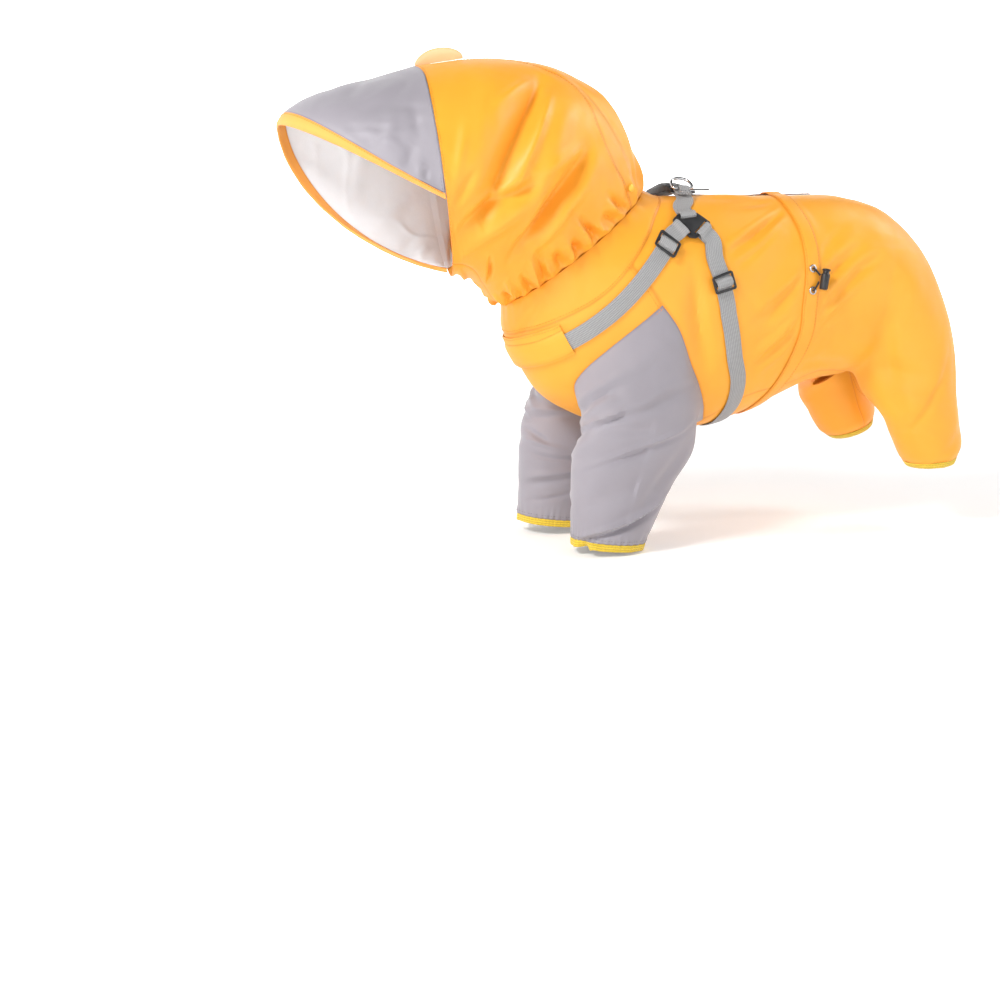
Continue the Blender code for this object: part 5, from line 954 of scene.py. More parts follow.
class Look(Enum):
    """Every finish of the coat, with the record's material slot that it belongs to."""

    ORANGE = Dress("orange_cloth", ClothFinish("orange_shell", (0.97, 0.405, 0.03), roughness=0.46, sheen=0.04))
    BINDING = Dress("orange_cloth", ClothFinish("orange_binding", (0.95, 0.41, 0.08), roughness=0.6, sheen=0.05,
                                                crumple_mm=0.2))
    GREY = Dress("grey_cloth", ClothFinish("grey_shell", (0.315, 0.292, 0.325), shadow=(0.6, 0.6, 0.65)))
    LINING = Dress("silver_lining", ClothFinish("silver_satin", (0.90, 0.94, 0.98), roughness=0.36, sheen=0.1,
                                                coat=0.25, crumple_mm=0.6, shadow=(0.6, 0.6, 0.62)))
    CUFF = Dress("yellow_elastic", TapeFinish("yellow_rib", (0.98, 0.60, 0.04), rib_mm=1.0, cord_mm=2.4))
    # Painted highlight: the ears' pale peach, lighter than the hood's orange, stands for the light that washes over
    # them.
    PEACH = Dress("peach_cloth", ClothFinish("peach_highlight_shell", (0.99, 0.65, 0.37), roughness=0.7, crumple_mm=0.2))
    WEBBING = Dress("grey_webbing", TapeFinish("grey_web", (0.40, 0.40, 0.405), depth_mm=0.24))
    BLACK = Dress("black_plastic", PlasticFinish("black_moulding", (0.021, 0.021, 0.023)))
    CORD = Dress("black_cord", TapeFinish("black_braid", (0.018, 0.018, 0.02), rib_mm=0.9, cord_mm=0.9))
    STEEL = Dress("steel", MetalFinish("plated_steel", (0.62, 0.62, 0.63)))
    DARK_METAL = Dress("steel", MetalFinish("dark_plated_zinc", (0.10, 0.10, 0.11), roughness=0.34))
    ZIP = Dress("navy_zip", TapeFinish("navy_tape", (0.030, 0.036, 0.075), rib_mm=0.8, cord_mm=0.8))
    SNAP = Dress("yellow_snap", PlasticFinish("yellow_moulding", (0.96, 0.55, 0.05), roughness=0.32))
    ORANGE_THREAD = Dress("orange_cloth", PlasticFinish("orange_thread", (0.80, 0.27, 0.02), roughness=0.6))
    GREY_THREAD = Dress("grey_cloth", PlasticFinish("grey_thread", (0.22, 0.20, 0.22), roughness=0.6))
    WEB_THREAD = Dress("grey_webbing", PlasticFinish("webbing_thread", (0.20, 0.20, 0.21), roughness=0.6))

    def material(self) -> bpy.types.Material:
        """The finish's material, made once."""
        found = bpy.data.materials.get(self.value.finish.name)
        return found or self.value.finish.build()


# ---------------------------------------------------------------- meshes and pieces

@dataclass
class Skin:
    """An open skin of points in mm, with its faces and what the finish reads on each point."""

    points: np.ndarray
    faces: list[list[int]]
    cut: np.ndarray
    seam: np.ndarray

    @classmethod
    def joined(cls, points: list, faces: list[list[int]], cut: list, seam: list) -> Skin:
        """A skin from lists of rows."""
        return cls(np.concatenate(points), faces, np.concatenate(cut), np.concatenate(seam))

    def turn_outwards(self, outward: np.ndarray, start: int = 0) -> None:
        """Flip every face where those round the points from start on face away from outward."""
        normals = point_normals(self.points, self.faces)[start:start + len(outward)]
        if (normals * outward).sum() < 0:
            self.faces = [face[::-1] for face in self.faces]

    def area(self) -> float:
        """Its area in square metres."""
        total = 0.0
        for size in (3, 4):
            group = np.array([f for f in self.faces if len(f) == size], int)
            if len(group):
                corners = self.points[group]
                across = corners[:, 2:] - corners[:, :1]
                first = corners[:, 1] - corners[:, 0]
                total += 0.5 * np.linalg.norm(np.cross(first, across[:, 0]), axis=1).sum()
                if size == 4:
                    total += 0.5 * np.linalg.norm(np.cross(across[:, 0], across[:, 1]), axis=1).sum()
        return total * MM * MM


def grid_faces(rows: int, columns: int, closed: bool = False) -> list[list[int]]:
    """Quads over a grid of points listed row by row."""
    faces = []
    span = columns if closed else columns - 1
    for row in range(rows - 1):
        for column in range(span):
            beside = (column + 1) % columns
            faces.append([row * columns + column, row * columns + beside,
                          (row + 1) * columns + beside, (row + 1) * columns + column])
    return faces


def point_normals(points: np.ndarray, faces: list[list[int]]) -> np.ndarray:
    """The mean direction of the faces round each point."""
    total = np.zeros_like(points)
    for size in sorted({len(f) for f in faces}):
        group = np.array([f for f in faces if len(f) == size], int)
        corners = points[group]
        direction = np.zeros((len(group), 3))
        for k in range(1, size - 1):
            direction += np.cross(corners[:, k] - corners[:, 0], corners[:, k + 1] - corners[:, 0])
        for k in range(size):
            np.add.at(total, group[:, k], direction)
    return unit(total)


class Piece:
    """Makes one finished piece of the coat and ties it to its body, its solids and its finish."""

    made: list[bpy.types.Object] = []

    def __init__(self, name: str, look: Look, stands_for: Sequence[str] = (), body: str = "coat") -> None:
        """Keep what the piece is.

        Args:
            name: The piece's name.
            look: Its finish.
            stands_for: The solids that it replaces.
            body: The moving body that it rides on.
        """
        self.name = name
        self.look = look
        self.stands_for = stands_for
        self.body = body
        self.object: bpy.types.Object | None = None

    def from_mesh(self, mesh: bpy.types.Mesh, smooth_angle: float = 40.0) -> bpy.types.Object:
        """Link a finished mesh as the piece."""
        mesh.materials.clear()
        mesh.materials.append(self.look.material())
        mesh.shade_smooth()
        mesh.set_sharp_from_angle(angle=math.radians(smooth_angle))
        self.object = linked(self.name, mesh)
        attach(self.object, self.body)
        if self.stands_for:
            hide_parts(*self.stands_for)
        Piece.made.append(self.object)
        LOG.info("%s: %d faces", self.name, len(mesh.polygons))
        return self.object

    def from_points(self, points: np.ndarray, faces: list[list[int]], cut: np.ndarray | None = None,
                    seam: np.ndarray | None = None, smooth_angle: float = 40.0) -> bpy.types.Object:
        """Link a closed body of points in mm as the piece, its faces turned outwards.

        Args:
            points: The corners in mm.
            faces: Corner numbers of each face.
            cut: Places on the flat cloth in metres for each corner.
            seam: Each corner's distance from the nearest seam in mm.
            smooth_angle: Edges sharper than this stay sharp.
        """
        mesh = bpy.data.meshes.new(self.name)
        mesh.from_pydata((np.asarray(points) * MM).tolist(), [], faces)
        work = bmesh.new()
        work.from_mesh(mesh)
        bmesh.ops.recalc_face_normals(work, faces=work.faces)
        work.to_mesh(mesh)
        work.free()
        if cut is not None:
            layer = mesh.uv_layers.new(name="cut")
            corner = np.zeros(len(mesh.loops), np.int32)
            mesh.loops.foreach_get("vertex_index", corner)
            layer.data.foreach_set("uv", np.asarray(cut, np.float32)[corner].ravel())
        far = np.full(len(mesh.vertices), FAR_FROM_SEAM) if seam is None else np.asarray(seam)
        mesh.attributes.new("seam", "FLOAT", "POINT").data.foreach_set("value", far.astype(np.float32))
        return self.from_mesh(mesh, smooth_angle)

    def from_skin(self, skin: Skin, thick: float) -> bpy.types.Object:
        """Link a wall of one thickness under an open skin."""
        inner = skin.points - point_normals(skin.points, skin.faces) * thick
        return self.between(skin.points, inner, skin)

    def between(self, outer: np.ndarray, inner: np.ndarray, skin: Skin) -> bpy.types.Object:
        """Link a closed piece between two skins that share their faces."""
        count = len(outer)
        edges: dict[tuple[int, int], tuple[int, int]] = {}
        for face in skin.faces:
            for a, b in zip(face, face[1:] + face[:1]):
                key = (a, b) if a < b else (b, a)
                if key in edges:
                    del edges[key]
                else:
                    edges[key] = (a, b)
        solid = [list(face) for face in skin.faces]
        solid += [[i + count for i in reversed(face)] for face in skin.faces]
        solid += [[b, a, a + count, b + count] for a, b in edges.values()]
        return self.from_points(np.vstack([outer, inner]), solid, np.vstack([skin.cut, skin.cut]),
                                np.concatenate([skin.seam, skin.seam]))

    def refined(self, node: str, width: float, segments: int = 3) -> bpy.types.Object:
        """Link a copy of a solid with rounded edges, standing for it.

        Args:
            node: The solid.
            width: How far the rounding reaches from an edge, in mm.
            segments: How many faces each rounding has.
        """
        work = bmesh.new()
        work.from_mesh(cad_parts[node].data)
        bmesh.ops.remove_doubles(work, verts=work.verts, dist=1e-6)
        bmesh.ops.dissolve_limit(work, angle_limit=math.radians(2), verts=work.verts, edges=work.edges)
        bmesh.ops.triangulate(work, faces=[f for f in work.faces if len(f.verts) > 4])
        mesh = bpy.data.meshes.new(self.name)
        work.to_mesh(mesh)
        work.free()
        draft = linked(self.name + "_draft", mesh)
        bevel = draft.modifiers.new("rounding", "BEVEL")
        bevel.width = width * MM
        bevel.segments = segments
        bevel.limit_method = "ANGLE"
        bevel.angle_limit = math.radians(38)
        bevel.use_clamp_overlap = True
        finished = evaluated_mesh(draft)
        bpy.data.objects.remove(draft)
        finished.attributes.new("seam", "FLOAT", "POINT")
        self.stands_for = (node,)
        return self.from_mesh(finished, 50.0)


def linked(name: str, data: bpy.types.ID) -> bpy.types.Object:
    """An object of a mesh, light or camera, in the scene."""
    thing = bpy.data.objects.new(name, data)
    bpy.context.scene.collection.objects.link(thing)
    return thing


def wire(name: str, rows: Iterable[np.ndarray]) -> bpy.types.Object:
    """Rows of points in mm as the lines of one object."""
    points, edges = [], []
    for row in rows:
        first = len(points)
        points += (row * MM).tolist()
        edges += [(first + i, first + i + 1) for i in range(len(row) - 1)]
    mesh = bpy.data.meshes.new(name)
    mesh.from_pydata(points, edges, [])
    return linked(name, mesh)


def evaluated_mesh(thing: bpy.types.Object) -> bpy.types.Mesh:
    """A plain mesh of an object with its modifiers applied."""
    bpy.context.view_layer.update()
    graph = bpy.context.evaluated_depsgraph_get()
    return bpy.data.meshes.new_from_object(thing.evaluated_get(graph))


@dataclass(frozen=True)
class Cut:
    """The flat cloth that a piece was cut from, in metres and square metres."""

    width: float
    length: float
    held: str = "stretched"
    rests_on: tuple[str, ...] = ()

    def declare(self, piece: bpy.types.Object, area: float) -> None:
        LOG.info("cut of %s: %.3f x %.3f m, %.4f m2", piece.name, self.width, self.length, area)

    def make(self, name: str, look: Look, node: str, skin: Skin, thick: float = CLOTH) -> bpy.types.Object:
        """Make a piece of one skin that stands for a solid, and declare its cloth."""
        piece = Piece(name, look, [node]).from_skin(skin, thick)
        self.declare(piece, skin.area())
        return piece


# ---------------------------------------------------------------- seams and cut panels

def seam_line(points: Sequence, step: float = FINE_STEP, metric: Sequence[float] = BODY_METRIC,
              count: int | None = None) -> np.ndarray:
    """Evenly spaced points on a smooth line through a seam's table."""
    table = np.array([tuple(p) for p in points], float)
    fine = along_table(table, np.linspace(0, len(table) - 1, 60 * len(table)))
    scaled = fine[:, :2] * np.array(metric)
    travelled = distances_along(scaled)
    if count is None:
        count = max(1, int(round(travelled[-1] / step)))
    stations = np.linspace(0, travelled[-1], count + 1)
    return np.stack([np.interp(stations, travelled, fine[:, k]) for k in range(fine.shape[1])], 1)


def ring_line(ring: float, start: float, end: float, count: int) -> np.ndarray:
    """Even places round one ring, from one angle to another."""
    return np.stack([np.full(count, ring), np.linspace(start, end, count)], 1)


def outline_of(*lines: np.ndarray) -> np.ndarray:
    """Join seams end to end into one closed outline."""
    return np.array([tuple(p[:2]) for line in lines for p in line[:-1]])


def to_right(line: np.ndarray) -> np.ndarray:
    """The same seam on the right side, where the body's angles run from 180 to 360."""
    other = np.array(line, float)
    other[:, 1] = 360 - other[:, 1]
    return other


def inside_outline(points: np.ndarray, outline: np.ndarray) -> np.ndarray:
    """Which points lie inside a closed outline."""
    x, y = points[:, 0], points[:, 1]
    result = np.zeros(len(points), bool)
    for (ax, ay), (bx, by) in zip(outline, np.roll(outline, -1, axis=0)):
        crosses = (ay > y) != (by > y)
        at_x = ax + (y - ay) * (bx - ax) / (by - ay if by != ay else 1e-9)
        result ^= crosses & (x < at_x)
    return result


def from_outline(points: np.ndarray, outline: np.ndarray, kept: np.ndarray | None = None) -> np.ndarray:
    """Each point's distance from an outline, or from the kept ones of its edges."""
    nearest = np.full(len(points), FAR_AWAY)
    for number, (a, b) in enumerate(zip(outline, np.roll(outline, -1, axis=0))):
        if kept is not None and not kept[number]:
            continue
        run = b - a
        part = np.clip(((points - a) @ run) / max(run @ run, 1e-9), 0, 1)
        nearest = np.minimum(nearest, np.linalg.norm(points - a - part[:, None] * run, axis=1))
    return nearest


def cut_panel(outline: np.ndarray, metric: np.ndarray, step: float) -> tuple[np.ndarray, list[list[int]]]:
    """Triangles over the inside of an outline; the outline's points come first."""
    border = outline * metric
    low, high = border.min(axis=0), border.max(axis=0)
    rows = []
    for number, y in enumerate(np.arange(low[1] + step / 3, high[1], step * math.sqrt(0.75))):
        x = np.arange(low[0] + (0.25 + 0.5 * (number % 2)) * step, high[0], step)
        rows.append(np.stack([x, np.full(len(x), y)], 1))
    inner = np.concatenate(rows)
    inner = inner[inside_outline(inner, border)]
    inner = inner[from_outline(inner, border) > 0.6 * step]
    everything = [Vector(p) for p in np.concatenate([border, inner])]
    found = delaunay_2d_cdt(everything, [], [list(range(len(border)))], 1, 1e-5)
    return np.array([tuple(p) for p in found[0]]) / metric, [list(face) for face in found[2]]


@dataclass(frozen=True)
class SeamFeel:
    """How cloth turns down into a seam and puckers beside it, in mm."""

    roll: float = 0.45
    roll_width: float = 1.6
    pucker: float = 0.55
    pucker_reach: float = 8.0
    pucker_size: float = 9.0

    def lift(self, distance: np.ndarray, smooth: np.ndarray) -> np.ndarray:
        """The move along the normal at a distance from the nearest seam."""
        uneven = lattice_noise(smooth, self.pucker_size, 17)
        return (-self.roll * np.exp(-(distance / self.roll_width) ** 2)
                + self.pucker * np.exp(-distance / self.pucker_reach) * uneven)


FEEL = SeamFeel()


@dataclass
class Panel:
    """A cut piece of cloth: a wall over the inside of an outline on a surface."""

    name: str
    surface: Surface
    outline: np.ndarray
    look: Look
    cut: Cut
    step: float = FINE_STEP
    open_edge: Callable[[np.ndarray], np.ndarray] | None = None

    def skin(self) -> Skin:
        """Lay the panel over its surface, its outline pulled in by half a seam gap."""
        metric = self.surface.metric
        places, faces = cut_panel(self.outline, metric, self.step)
        count = len(self.outline)
        smooth = self.surface.shape(places[:, 0], places[:, 1])
        sewn = None if self.open_edge is None else ~self.open_edge(self.outline)
        distance = from_outline(places * metric, self.outline * metric, sewn)
        calm = self.surface.calmness(places[:, 0], places[:, 1])
        lift = FEEL.lift(distance, smooth) * np.maximum(calm, 0.15)
        points = self.surface.point(places[:, 0], places[:, 1], lift)
        normals = self.surface.normal(places[:, 0], places[:, 1])
        line = self.outline
        area = np.sum(line[:, 0] * np.roll(line[:, 1], -1) - line[:, 1] * np.roll(line[:, 0], -1))
        points = self.pulled_in(points, normals * (-self.surface.facing * np.sign(area)), count)
        skin = Skin(points, faces, places * metric * MM, distance)
        skin.turn_outwards(normals)
        return skin

    @staticmethod
    def pulled_in(points: np.ndarray, normals: np.ndarray, count: int) -> np.ndarray:
        """Move the first points, an outline in order, into the panel by half a seam gap."""
        moved = points.copy()
        ring = points[:count]
        ahead = unit(np.roll(ring, -1, axis=0) - ring)
        behind = np.roll(ahead, 1, axis=0)
        middle = unit(np.cross(normals[:count], ahead) + np.cross(normals[:count], behind))
        moved[:count] += middle * 0.5 * SEAM_GAP
        return moved

    def build(self, node: str) -> bpy.types.Object:
        """Make the panel, which stands for a solid, and declare its cloth."""
        return self.cut.make(self.name, self.look, node, self.skin())


# ---------------------------------------------------------------- stitches

class StitchRows:
    """Rows of thread stitches that follow lines on the cloth, all of one colour."""

    def __init__(self, name: str, look: Look) -> None:
        """Start with no rows."""
        self.name = name
        self.look = look
        self.rows: list[np.ndarray] = []

    def add(self, points: np.ndarray, outward: np.ndarray, lift: float = 0.1) -> None:
        """Add a row through points in mm, lying on a wall whose normals are given."""
        self.rows.append(np.asarray(points) + np.asarray(outward) * lift)

    def build(self, pitch: float = STITCH_PITCH, length: float = 2.5, width: float = 0.62) -> None:
        """Run the node tree along the rows and link the plain mesh."""
        finished = converted(wire(self.name + "_path", self.rows), stitch_tree(self.look.material()),
                             {"Pitch": pitch * MM, "Stitch Length": length * MM, "Thread Width": width * MM})
        finished.attributes.new("seam", "FLOAT", "POINT")
        Piece(self.name, self.look).from_mesh(finished, 80.0)


def new_tree(name: str, sizes: dict[str, float]) -> tuple[bpy.types.GeometryNodeTree, dict]:
    """A geometry node tree with a geometry input and output and named sizes."""
    tree = bpy.data.node_groups.new(name, "GeometryNodeTree")
    tree.interface.new_socket("Geometry", in_out="INPUT", socket_type="NodeSocketGeometry")
    for label, value in sizes.items():
        socket = tree.interface.new_socket(label, in_out="INPUT", socket_type="NodeSocketFloat")
        socket.default_value = value
    tree.interface.new_socket("Geometry", in_out="OUTPUT", socket_type="NodeSocketGeometry")
    start = tree.nodes.new("NodeGroupInput")
    return tree, {socket.name: socket for socket in start.outputs}


def finish_tree(tree: bpy.types.GeometryNodeTree, geometry: bpy.types.NodeSocket,
                material: bpy.types.Material) -> None:
    """End a tree in real geometry with its material."""
    real = add_node(tree, "GeometryNodeRealizeInstances", {"Geometry": geometry})
    dressed = add_node(tree, "GeometryNodeSetMaterial", {"Geometry": real.outputs[0]})
    dressed.inputs["Material"].default_value = material
    end = tree.nodes.new("NodeGroupOutput")
    tree.links.new(dressed.outputs[0], end.inputs[0])


def row_tree(name: str, sizes: dict[str, float], shape: str, settings: dict, axes: Sequence[str],
             material: bpy.types.Material, level: bool = False) -> bpy.types.GeometryNodeTree:
    """A tree that lays one small shape at even steps along every line, turned along it.

    Args:
        name: The tree's name.
        sizes: Its named sizes in metres, the Pitch among them.
        shape: The node that makes the shape.
        settings: That node's inputs.
        axes: Which sizes the shape has along its own X, Y and Z.
        material: What it is made of.
        level: Whether the shape's Y is also turned across the coat.

    Returns:
        The tree.
    """
    tree, named = new_tree(name, sizes)
    curve = add_node(tree, "GeometryNodeMeshToCurve", {"Mesh": named["Geometry"]})
    even = add_node(tree, "GeometryNodeResampleCurve", {"Curve": curve.outputs[0], "Length": named["Pitch"]},
                    mode="LENGTH")
    copied = add_node(tree, shape, settings)
    size = add_node(tree, "ShaderNodeCombineXYZ", {axis: named[label] for axis, label in zip("XYZ", axes)})
    tangent = tree.nodes.new("GeometryNodeInputTangent")
    turn = add_node(tree, "FunctionNodeAlignRotationToVector", {"Vector": tangent.outputs[0]}, axis="Z")
    if level:
        turn = add_node(tree, "FunctionNodeAlignRotationToVector",
                        {"Rotation": turn.outputs[0], "Vector": (0.0, 1.0, 0.0)}, axis="Y", pivot_axis="Z")
    placed = add_node(tree, "GeometryNodeInstanceOnPoints",
                      {"Points": even.outputs[0], "Instance": copied.outputs[0],
                       "Rotation": turn.outputs[0], "Scale": size.outputs[0]})
    finish_tree(tree, placed.outputs[0], material)
    return tree


def stitch_tree(material: bpy.types.Material) -> bpy.types.GeometryNodeTree:
    """Threads laid end to end along every line, each a small capsule."""
    return row_tree("stitches_" + material.name,
                    {"Pitch": 0.0032, "Stitch Length": 0.0025, "Thread Width": 0.0006},
                    "GeometryNodeMeshUVSphere", {"Segments": 6, "Rings": 4, "Radius": 0.5},
                    ("Thread Width", "Thread Width", "Stitch Length"), material)


def converted(thing: bpy.types.Object, tree: bpy.types.GeometryNodeTree, values: dict[str, float]
              ) -> bpy.types.Mesh:
    """The plain mesh that a node tree makes of an object, which is removed.

    Args:
        thing: The object that the tree starts from.
        tree: The tree.
        values: Its named sizes in metres.
    """
    modifier = thing.modifiers.new(tree.name, "NODES")
    modifier.node_group = tree
    for item in tree.interface.items_tree:
        if item.name in values and item.in_out == "INPUT":
            modifier[item.identifier] = values[item.name]
    mesh = evaluated_mesh(thing)
    bpy.data.objects.remove(thing)
    return mesh


THREADS = {
    Look.ORANGE: StitchRows("stitching_orange", Look.ORANGE_THREAD),
    Look.GREY: StitchRows("stitching_grey", Look.GREY_THREAD),
    Look.WEBBING: StitchRows("stitching_straps", Look.WEB_THREAD),
}


def stitch_on(surface: Surface, line: np.ndarray, look: Look, lift: float = 0.1) -> None:
    """A row of stitches along ring and angle places of a surface."""
    points = surface.point(line[:, 0], line[:, 1])
    THREADS[look].add(points, surface.normal(line[:, 0], line[:, 1]), lift)


def beside(line: np.ndarray, offset: float, metric: Sequence[float]) -> np.ndarray:
    """The same line moved sideways by some mm on its surface."""
    scaled = line[:, :2] * np.array(metric)
    run = unit(np.gradient(scaled, axis=0))
    return (scaled + np.stack([-run[:, 1], run[:, 0]], 1) * offset) / np.array(metric)


# ---------------------------------------------------------------- hood, brim and ears

@dataclass
class Hood:
    """Three cut pieces gathered into the neck seam."""

    sides: Cut = Cut(0.30, 0.26, "gathered", ("collar",))
    crown: Cut = Cut(0.32, 0.16, "gathered", ("collar",))

    @staticmethod
    def neck(start: float, end: float) -> np.ndarray:
        """Points of the neck seam."""
        return ring_line(0.0, start, end, int(round(abs(end - start) / 2.0)) + 1)

    @staticmethod
    def face(start: float, end: float) -> np.ndarray:
        """Points of the face edge."""
        return ring_line(FACE_RING, start, end, int(round(abs(end - start) / 2.25)) + 1)

    def build(self) -> None:
        """Make the three pieces and their seams' stitches."""
        seam = seam_line(CROWN_SEAM, HOOD_STEP, HOOD_METRIC)
        throat = np.stack([np.linspace(0, FACE_RING, 80), np.full(80, 180.0)], 1)
        half = (self.neck(50, 180), throat, self.face(180, 25), seam[::-1])
        mirror = {side: np.array([1, side.value]) for side in Side}
        for side in Side:
            outline = outline_of(*(line * mirror[side] for line in half))
            Panel(f"hood_{side.word}_cloth", HOOD, outline, Look.ORANGE, self.sides, HOOD_STEP
                  ).build(f"hood_{side.word}")
        crown = outline_of(self.neck(-50, 50), seam, self.face(25, -25), seam[::-1] * mirror[Side.RIGHT])
        Panel("hood_crown_cloth", HOOD, crown, Look.ORANGE, self.crown, HOOD_STEP).build("hood_crown")
        for side in Side:
            stitch_on(HOOD, beside(seam * mirror[side], STITCH_FROM_SEAM * side.value, HOOD_METRIC), Look.ORANGE)
        stitch_on(HOOD, ring_line(FACE_RING - 0.055, -179, 179, 260), Look.ORANGE)


@dataclass
class Brim:
    """The grey brim, its hanging silver lining and the binding folded round their free edge."""

    half_turn: float = 136.3
    tip_height: float = 68.5
    side_flare: float = 1.14
    tip_rounding: float = 2.32
    rise_rounding: float = 1.55
    crowning: float = 14.0
    layer_gap: float = 0.6
    rim_gap: float = 0.8
    lining_rim_gap: float = 2.0
    spread: float = 78.0
    reach: float = 0.967
    length: float = 146.7
    binding: float = 8.5
    columns: int = 201
    ring_length: float = 28.5
    tuck: float = 20.0
    pleats: float = 26.0
    binding_reach: float = 0.994
    rows: int = 52
    sag: float = 3.0
    tuck_row: float = 2.5
    tuck_drop: float = 1.5
    half_cut: float = 0.18
    stitch_inset: float = 1.8
    outer_cut: Cut = Cut(0.36, 0.16, "stretched", ("hood_left_cloth", "hood_right_cloth", "hood_crown_cloth"))
    lining_cut: Cut = Cut(0.38, 0.18, "hung", ("brim_binding_cloth",))

    def edge(self, across: np.ndarray) -> np.ndarray:
        """The free edge: across runs from -1 on the right to 1 on the left."""
        ring = HOOD_RINGS[-1]
        forward, sideways, up = hood_axes(ring.pitch, ring.yaw, ring.roll)
        half_turn = math.radians(self.half_turn)
        size = np.abs(across)
        ahead = self.length * (1 - size ** self.tip_rounding)
        aside = ring.half_width * math.sin(half_turn) * across * (1 + self.side_flare * (1 - size ** 2))
        low = ring.half_height * math.cos(half_turn)
        height = low + (self.tip_height - low) * (1 - size ** self.rise_rounding)
        centre = np.array([ring.x, ring.y, ring.z])
        return centre + ahead[:, None] * forward + aside[:, None] * sideways + height[:, None] * up

    def point(self, across: np.ndarray, out: np.ndarray) -> np.ndarray:
        """A point of the brim: out runs from 0 at the face edge to 1 at the free edge."""
        across, out = spread(across, out)
        flat_across, flat_out = across.ravel(), out.ravel()
        face = hood_shape(np.full(flat_across.shape, FACE_RING), flat_across * self.half_turn)
        ring = HOOD_RINGS[-1]
        outward = unit(face - np.array([ring.x, ring.y, ring.z]))
        rounded = np.clip(flat_out, 0, 1) ** 1.5 * np.clip(1 - flat_out, 0, 1) ** 0.5
        bulge = self.crowning * 3 * rounded * (1 - np.abs(flat_across) ** 3)
        points = face + (self.edge(flat_across) - face) * flat_out[:, None] + outward * bulge[:, None]
        return points.reshape(across.shape + (3,))

    def normal(self, across: np.ndarray, out: np.ndarray) -> np.ndarray:
        """The brim's outward direction."""
        run = self.point(across, out + 0.01) - self.point(across, out - 0.01)
        turn = self.point(across + 0.01, out) - self.point(across - 0.01, out)
        return unit(np.cross(run, turn))

    def stations(self, reach: float = 0.0) -> tuple[np.ndarray, np.ndarray]:
        """The columns across the brim, out to a share of its half width, and how deep it is on each."""
        spread = np.sin(np.linspace(-1, 1, self.columns) * math.radians(self.spread))
        across = spread / math.sin(math.radians(self.spread)) * (reach or self.reach)
        face_side = self.point(across, np.zeros(self.columns))
        return across, np.linalg.norm(self.edge(across) - face_side, axis=1)

    @cached_property
    def crease_spots(self) -> list[tuple[np.ndarray, Fold]]:
        """Places along each crease of the brim, with the crease."""
        lines = [(bent_line(*(np.array(p) for p in (fold.start, fold.middle, fold.end))), fold)
                 for fold in BRIM_CREASES]
        return [(self.point(line[:, 0], line[:, 1]), fold) for line, fold in lines]

    def dent(self, flat: np.ndarray) -> np.ndarray:
        """How far the soft folds push both layers in at each place."""
        ragged = 0.9 * crease_lines(flat, 31.0, 47) - 0.8 * lattice_noise(flat, 27.0, 41)
        return ragged + sum(fold.depth * curve_weight(flat, spots, fold.width) for spots, fold in self.crease_spots)

    def layer(self, rows: int, rim: float, drop: float, sag: float, inside: float = 0.0) -> Skin:
        """One layer between the hood's face edge, or some mm inside it, and the binding."""
        across, depth = self.stations()
        inner_end = 1 - (self.binding + SEAM_GAP) / depth
        first = rim / depth
        points, cut, seam = [], [], []
        tucked = int(inside / self.tuck_row)
        for row in range(tucked):
            back = inside * (1 - row / tucked)
            ring = np.full(self.columns, FACE_RING - back / self.ring_length)
            points.append(HOOD.point(ring, across * self.half_turn, -CLOTH - self.tuck_drop))
            cut.append(np.stack([across * self.half_cut, np.full(self.columns, -back * MM)], 1))
            seam.append(np.full(self.columns, CLEAR_OF_SEAM))
        for row in range(rows):
            part = row / (rows - 1)
            out = first + (inner_end - first) * part
            flat = self.point(across, out)
            swell = sag * math.sin(math.pi * part) * (1 - np.abs(across) ** 4)
            distance = (inner_end - out) * depth
            dent = self.dent(flat) * math.sin(math.pi * part) ** 0.6
            if sag:
                pleats = np.sin(across * 2 * math.pi * self.pleats + 2.0 * lattice_noise(flat, 20.0, 35))
                swell = swell + np.maximum(0.55 * (1 + pleats) * np.exp(-distance / 8.0) * (1 - part ** 8), 0.0)
            else:
                distance = np.minimum(distance, (out - first) * depth)
            lower = drop + swell + dent + 0.3 * np.exp(-(distance / 1.6) ** 2)
            points.append(flat - self.normal(across, out) * lower[:, None])
            cut.append(np.stack([across * self.half_cut, out * depth * MM], 1))
            seam.append(distance)
        return Skin.joined(points, grid_faces(rows + tucked, self.columns), cut, seam)

    def build(self) -> None:
        """Make the three layers and the stitches beside the binding and the face edge."""
        under = LINING_CLOTH + self.layer_gap
        outer = self.layer(self.rows, self.rim_gap, 0.0, 0.0)
        self.outer_cut.make("brim_outer_cloth", Look.GREY, "brim_outer", outer, LINING_CLOTH)
        lining = self.layer(self.rows, self.lining_rim_gap, under, self.sag, self.tuck)
        self.lining_cut.make("brim_lining_cloth", Look.LINING, "brim_lining", lining, LINING_CLOTH)
        self.build_binding(under)
        across, depth = self.stations()
        for look, out, lift in ((Look.ORANGE, 1 - (self.binding - self.stitch_inset) / depth, 0.75),
                                (Look.GREY, (self.rim_gap + 2.4) / depth, 0.15)):
            THREADS[look].add(self.point(across, out), self.normal(across, out), lift)

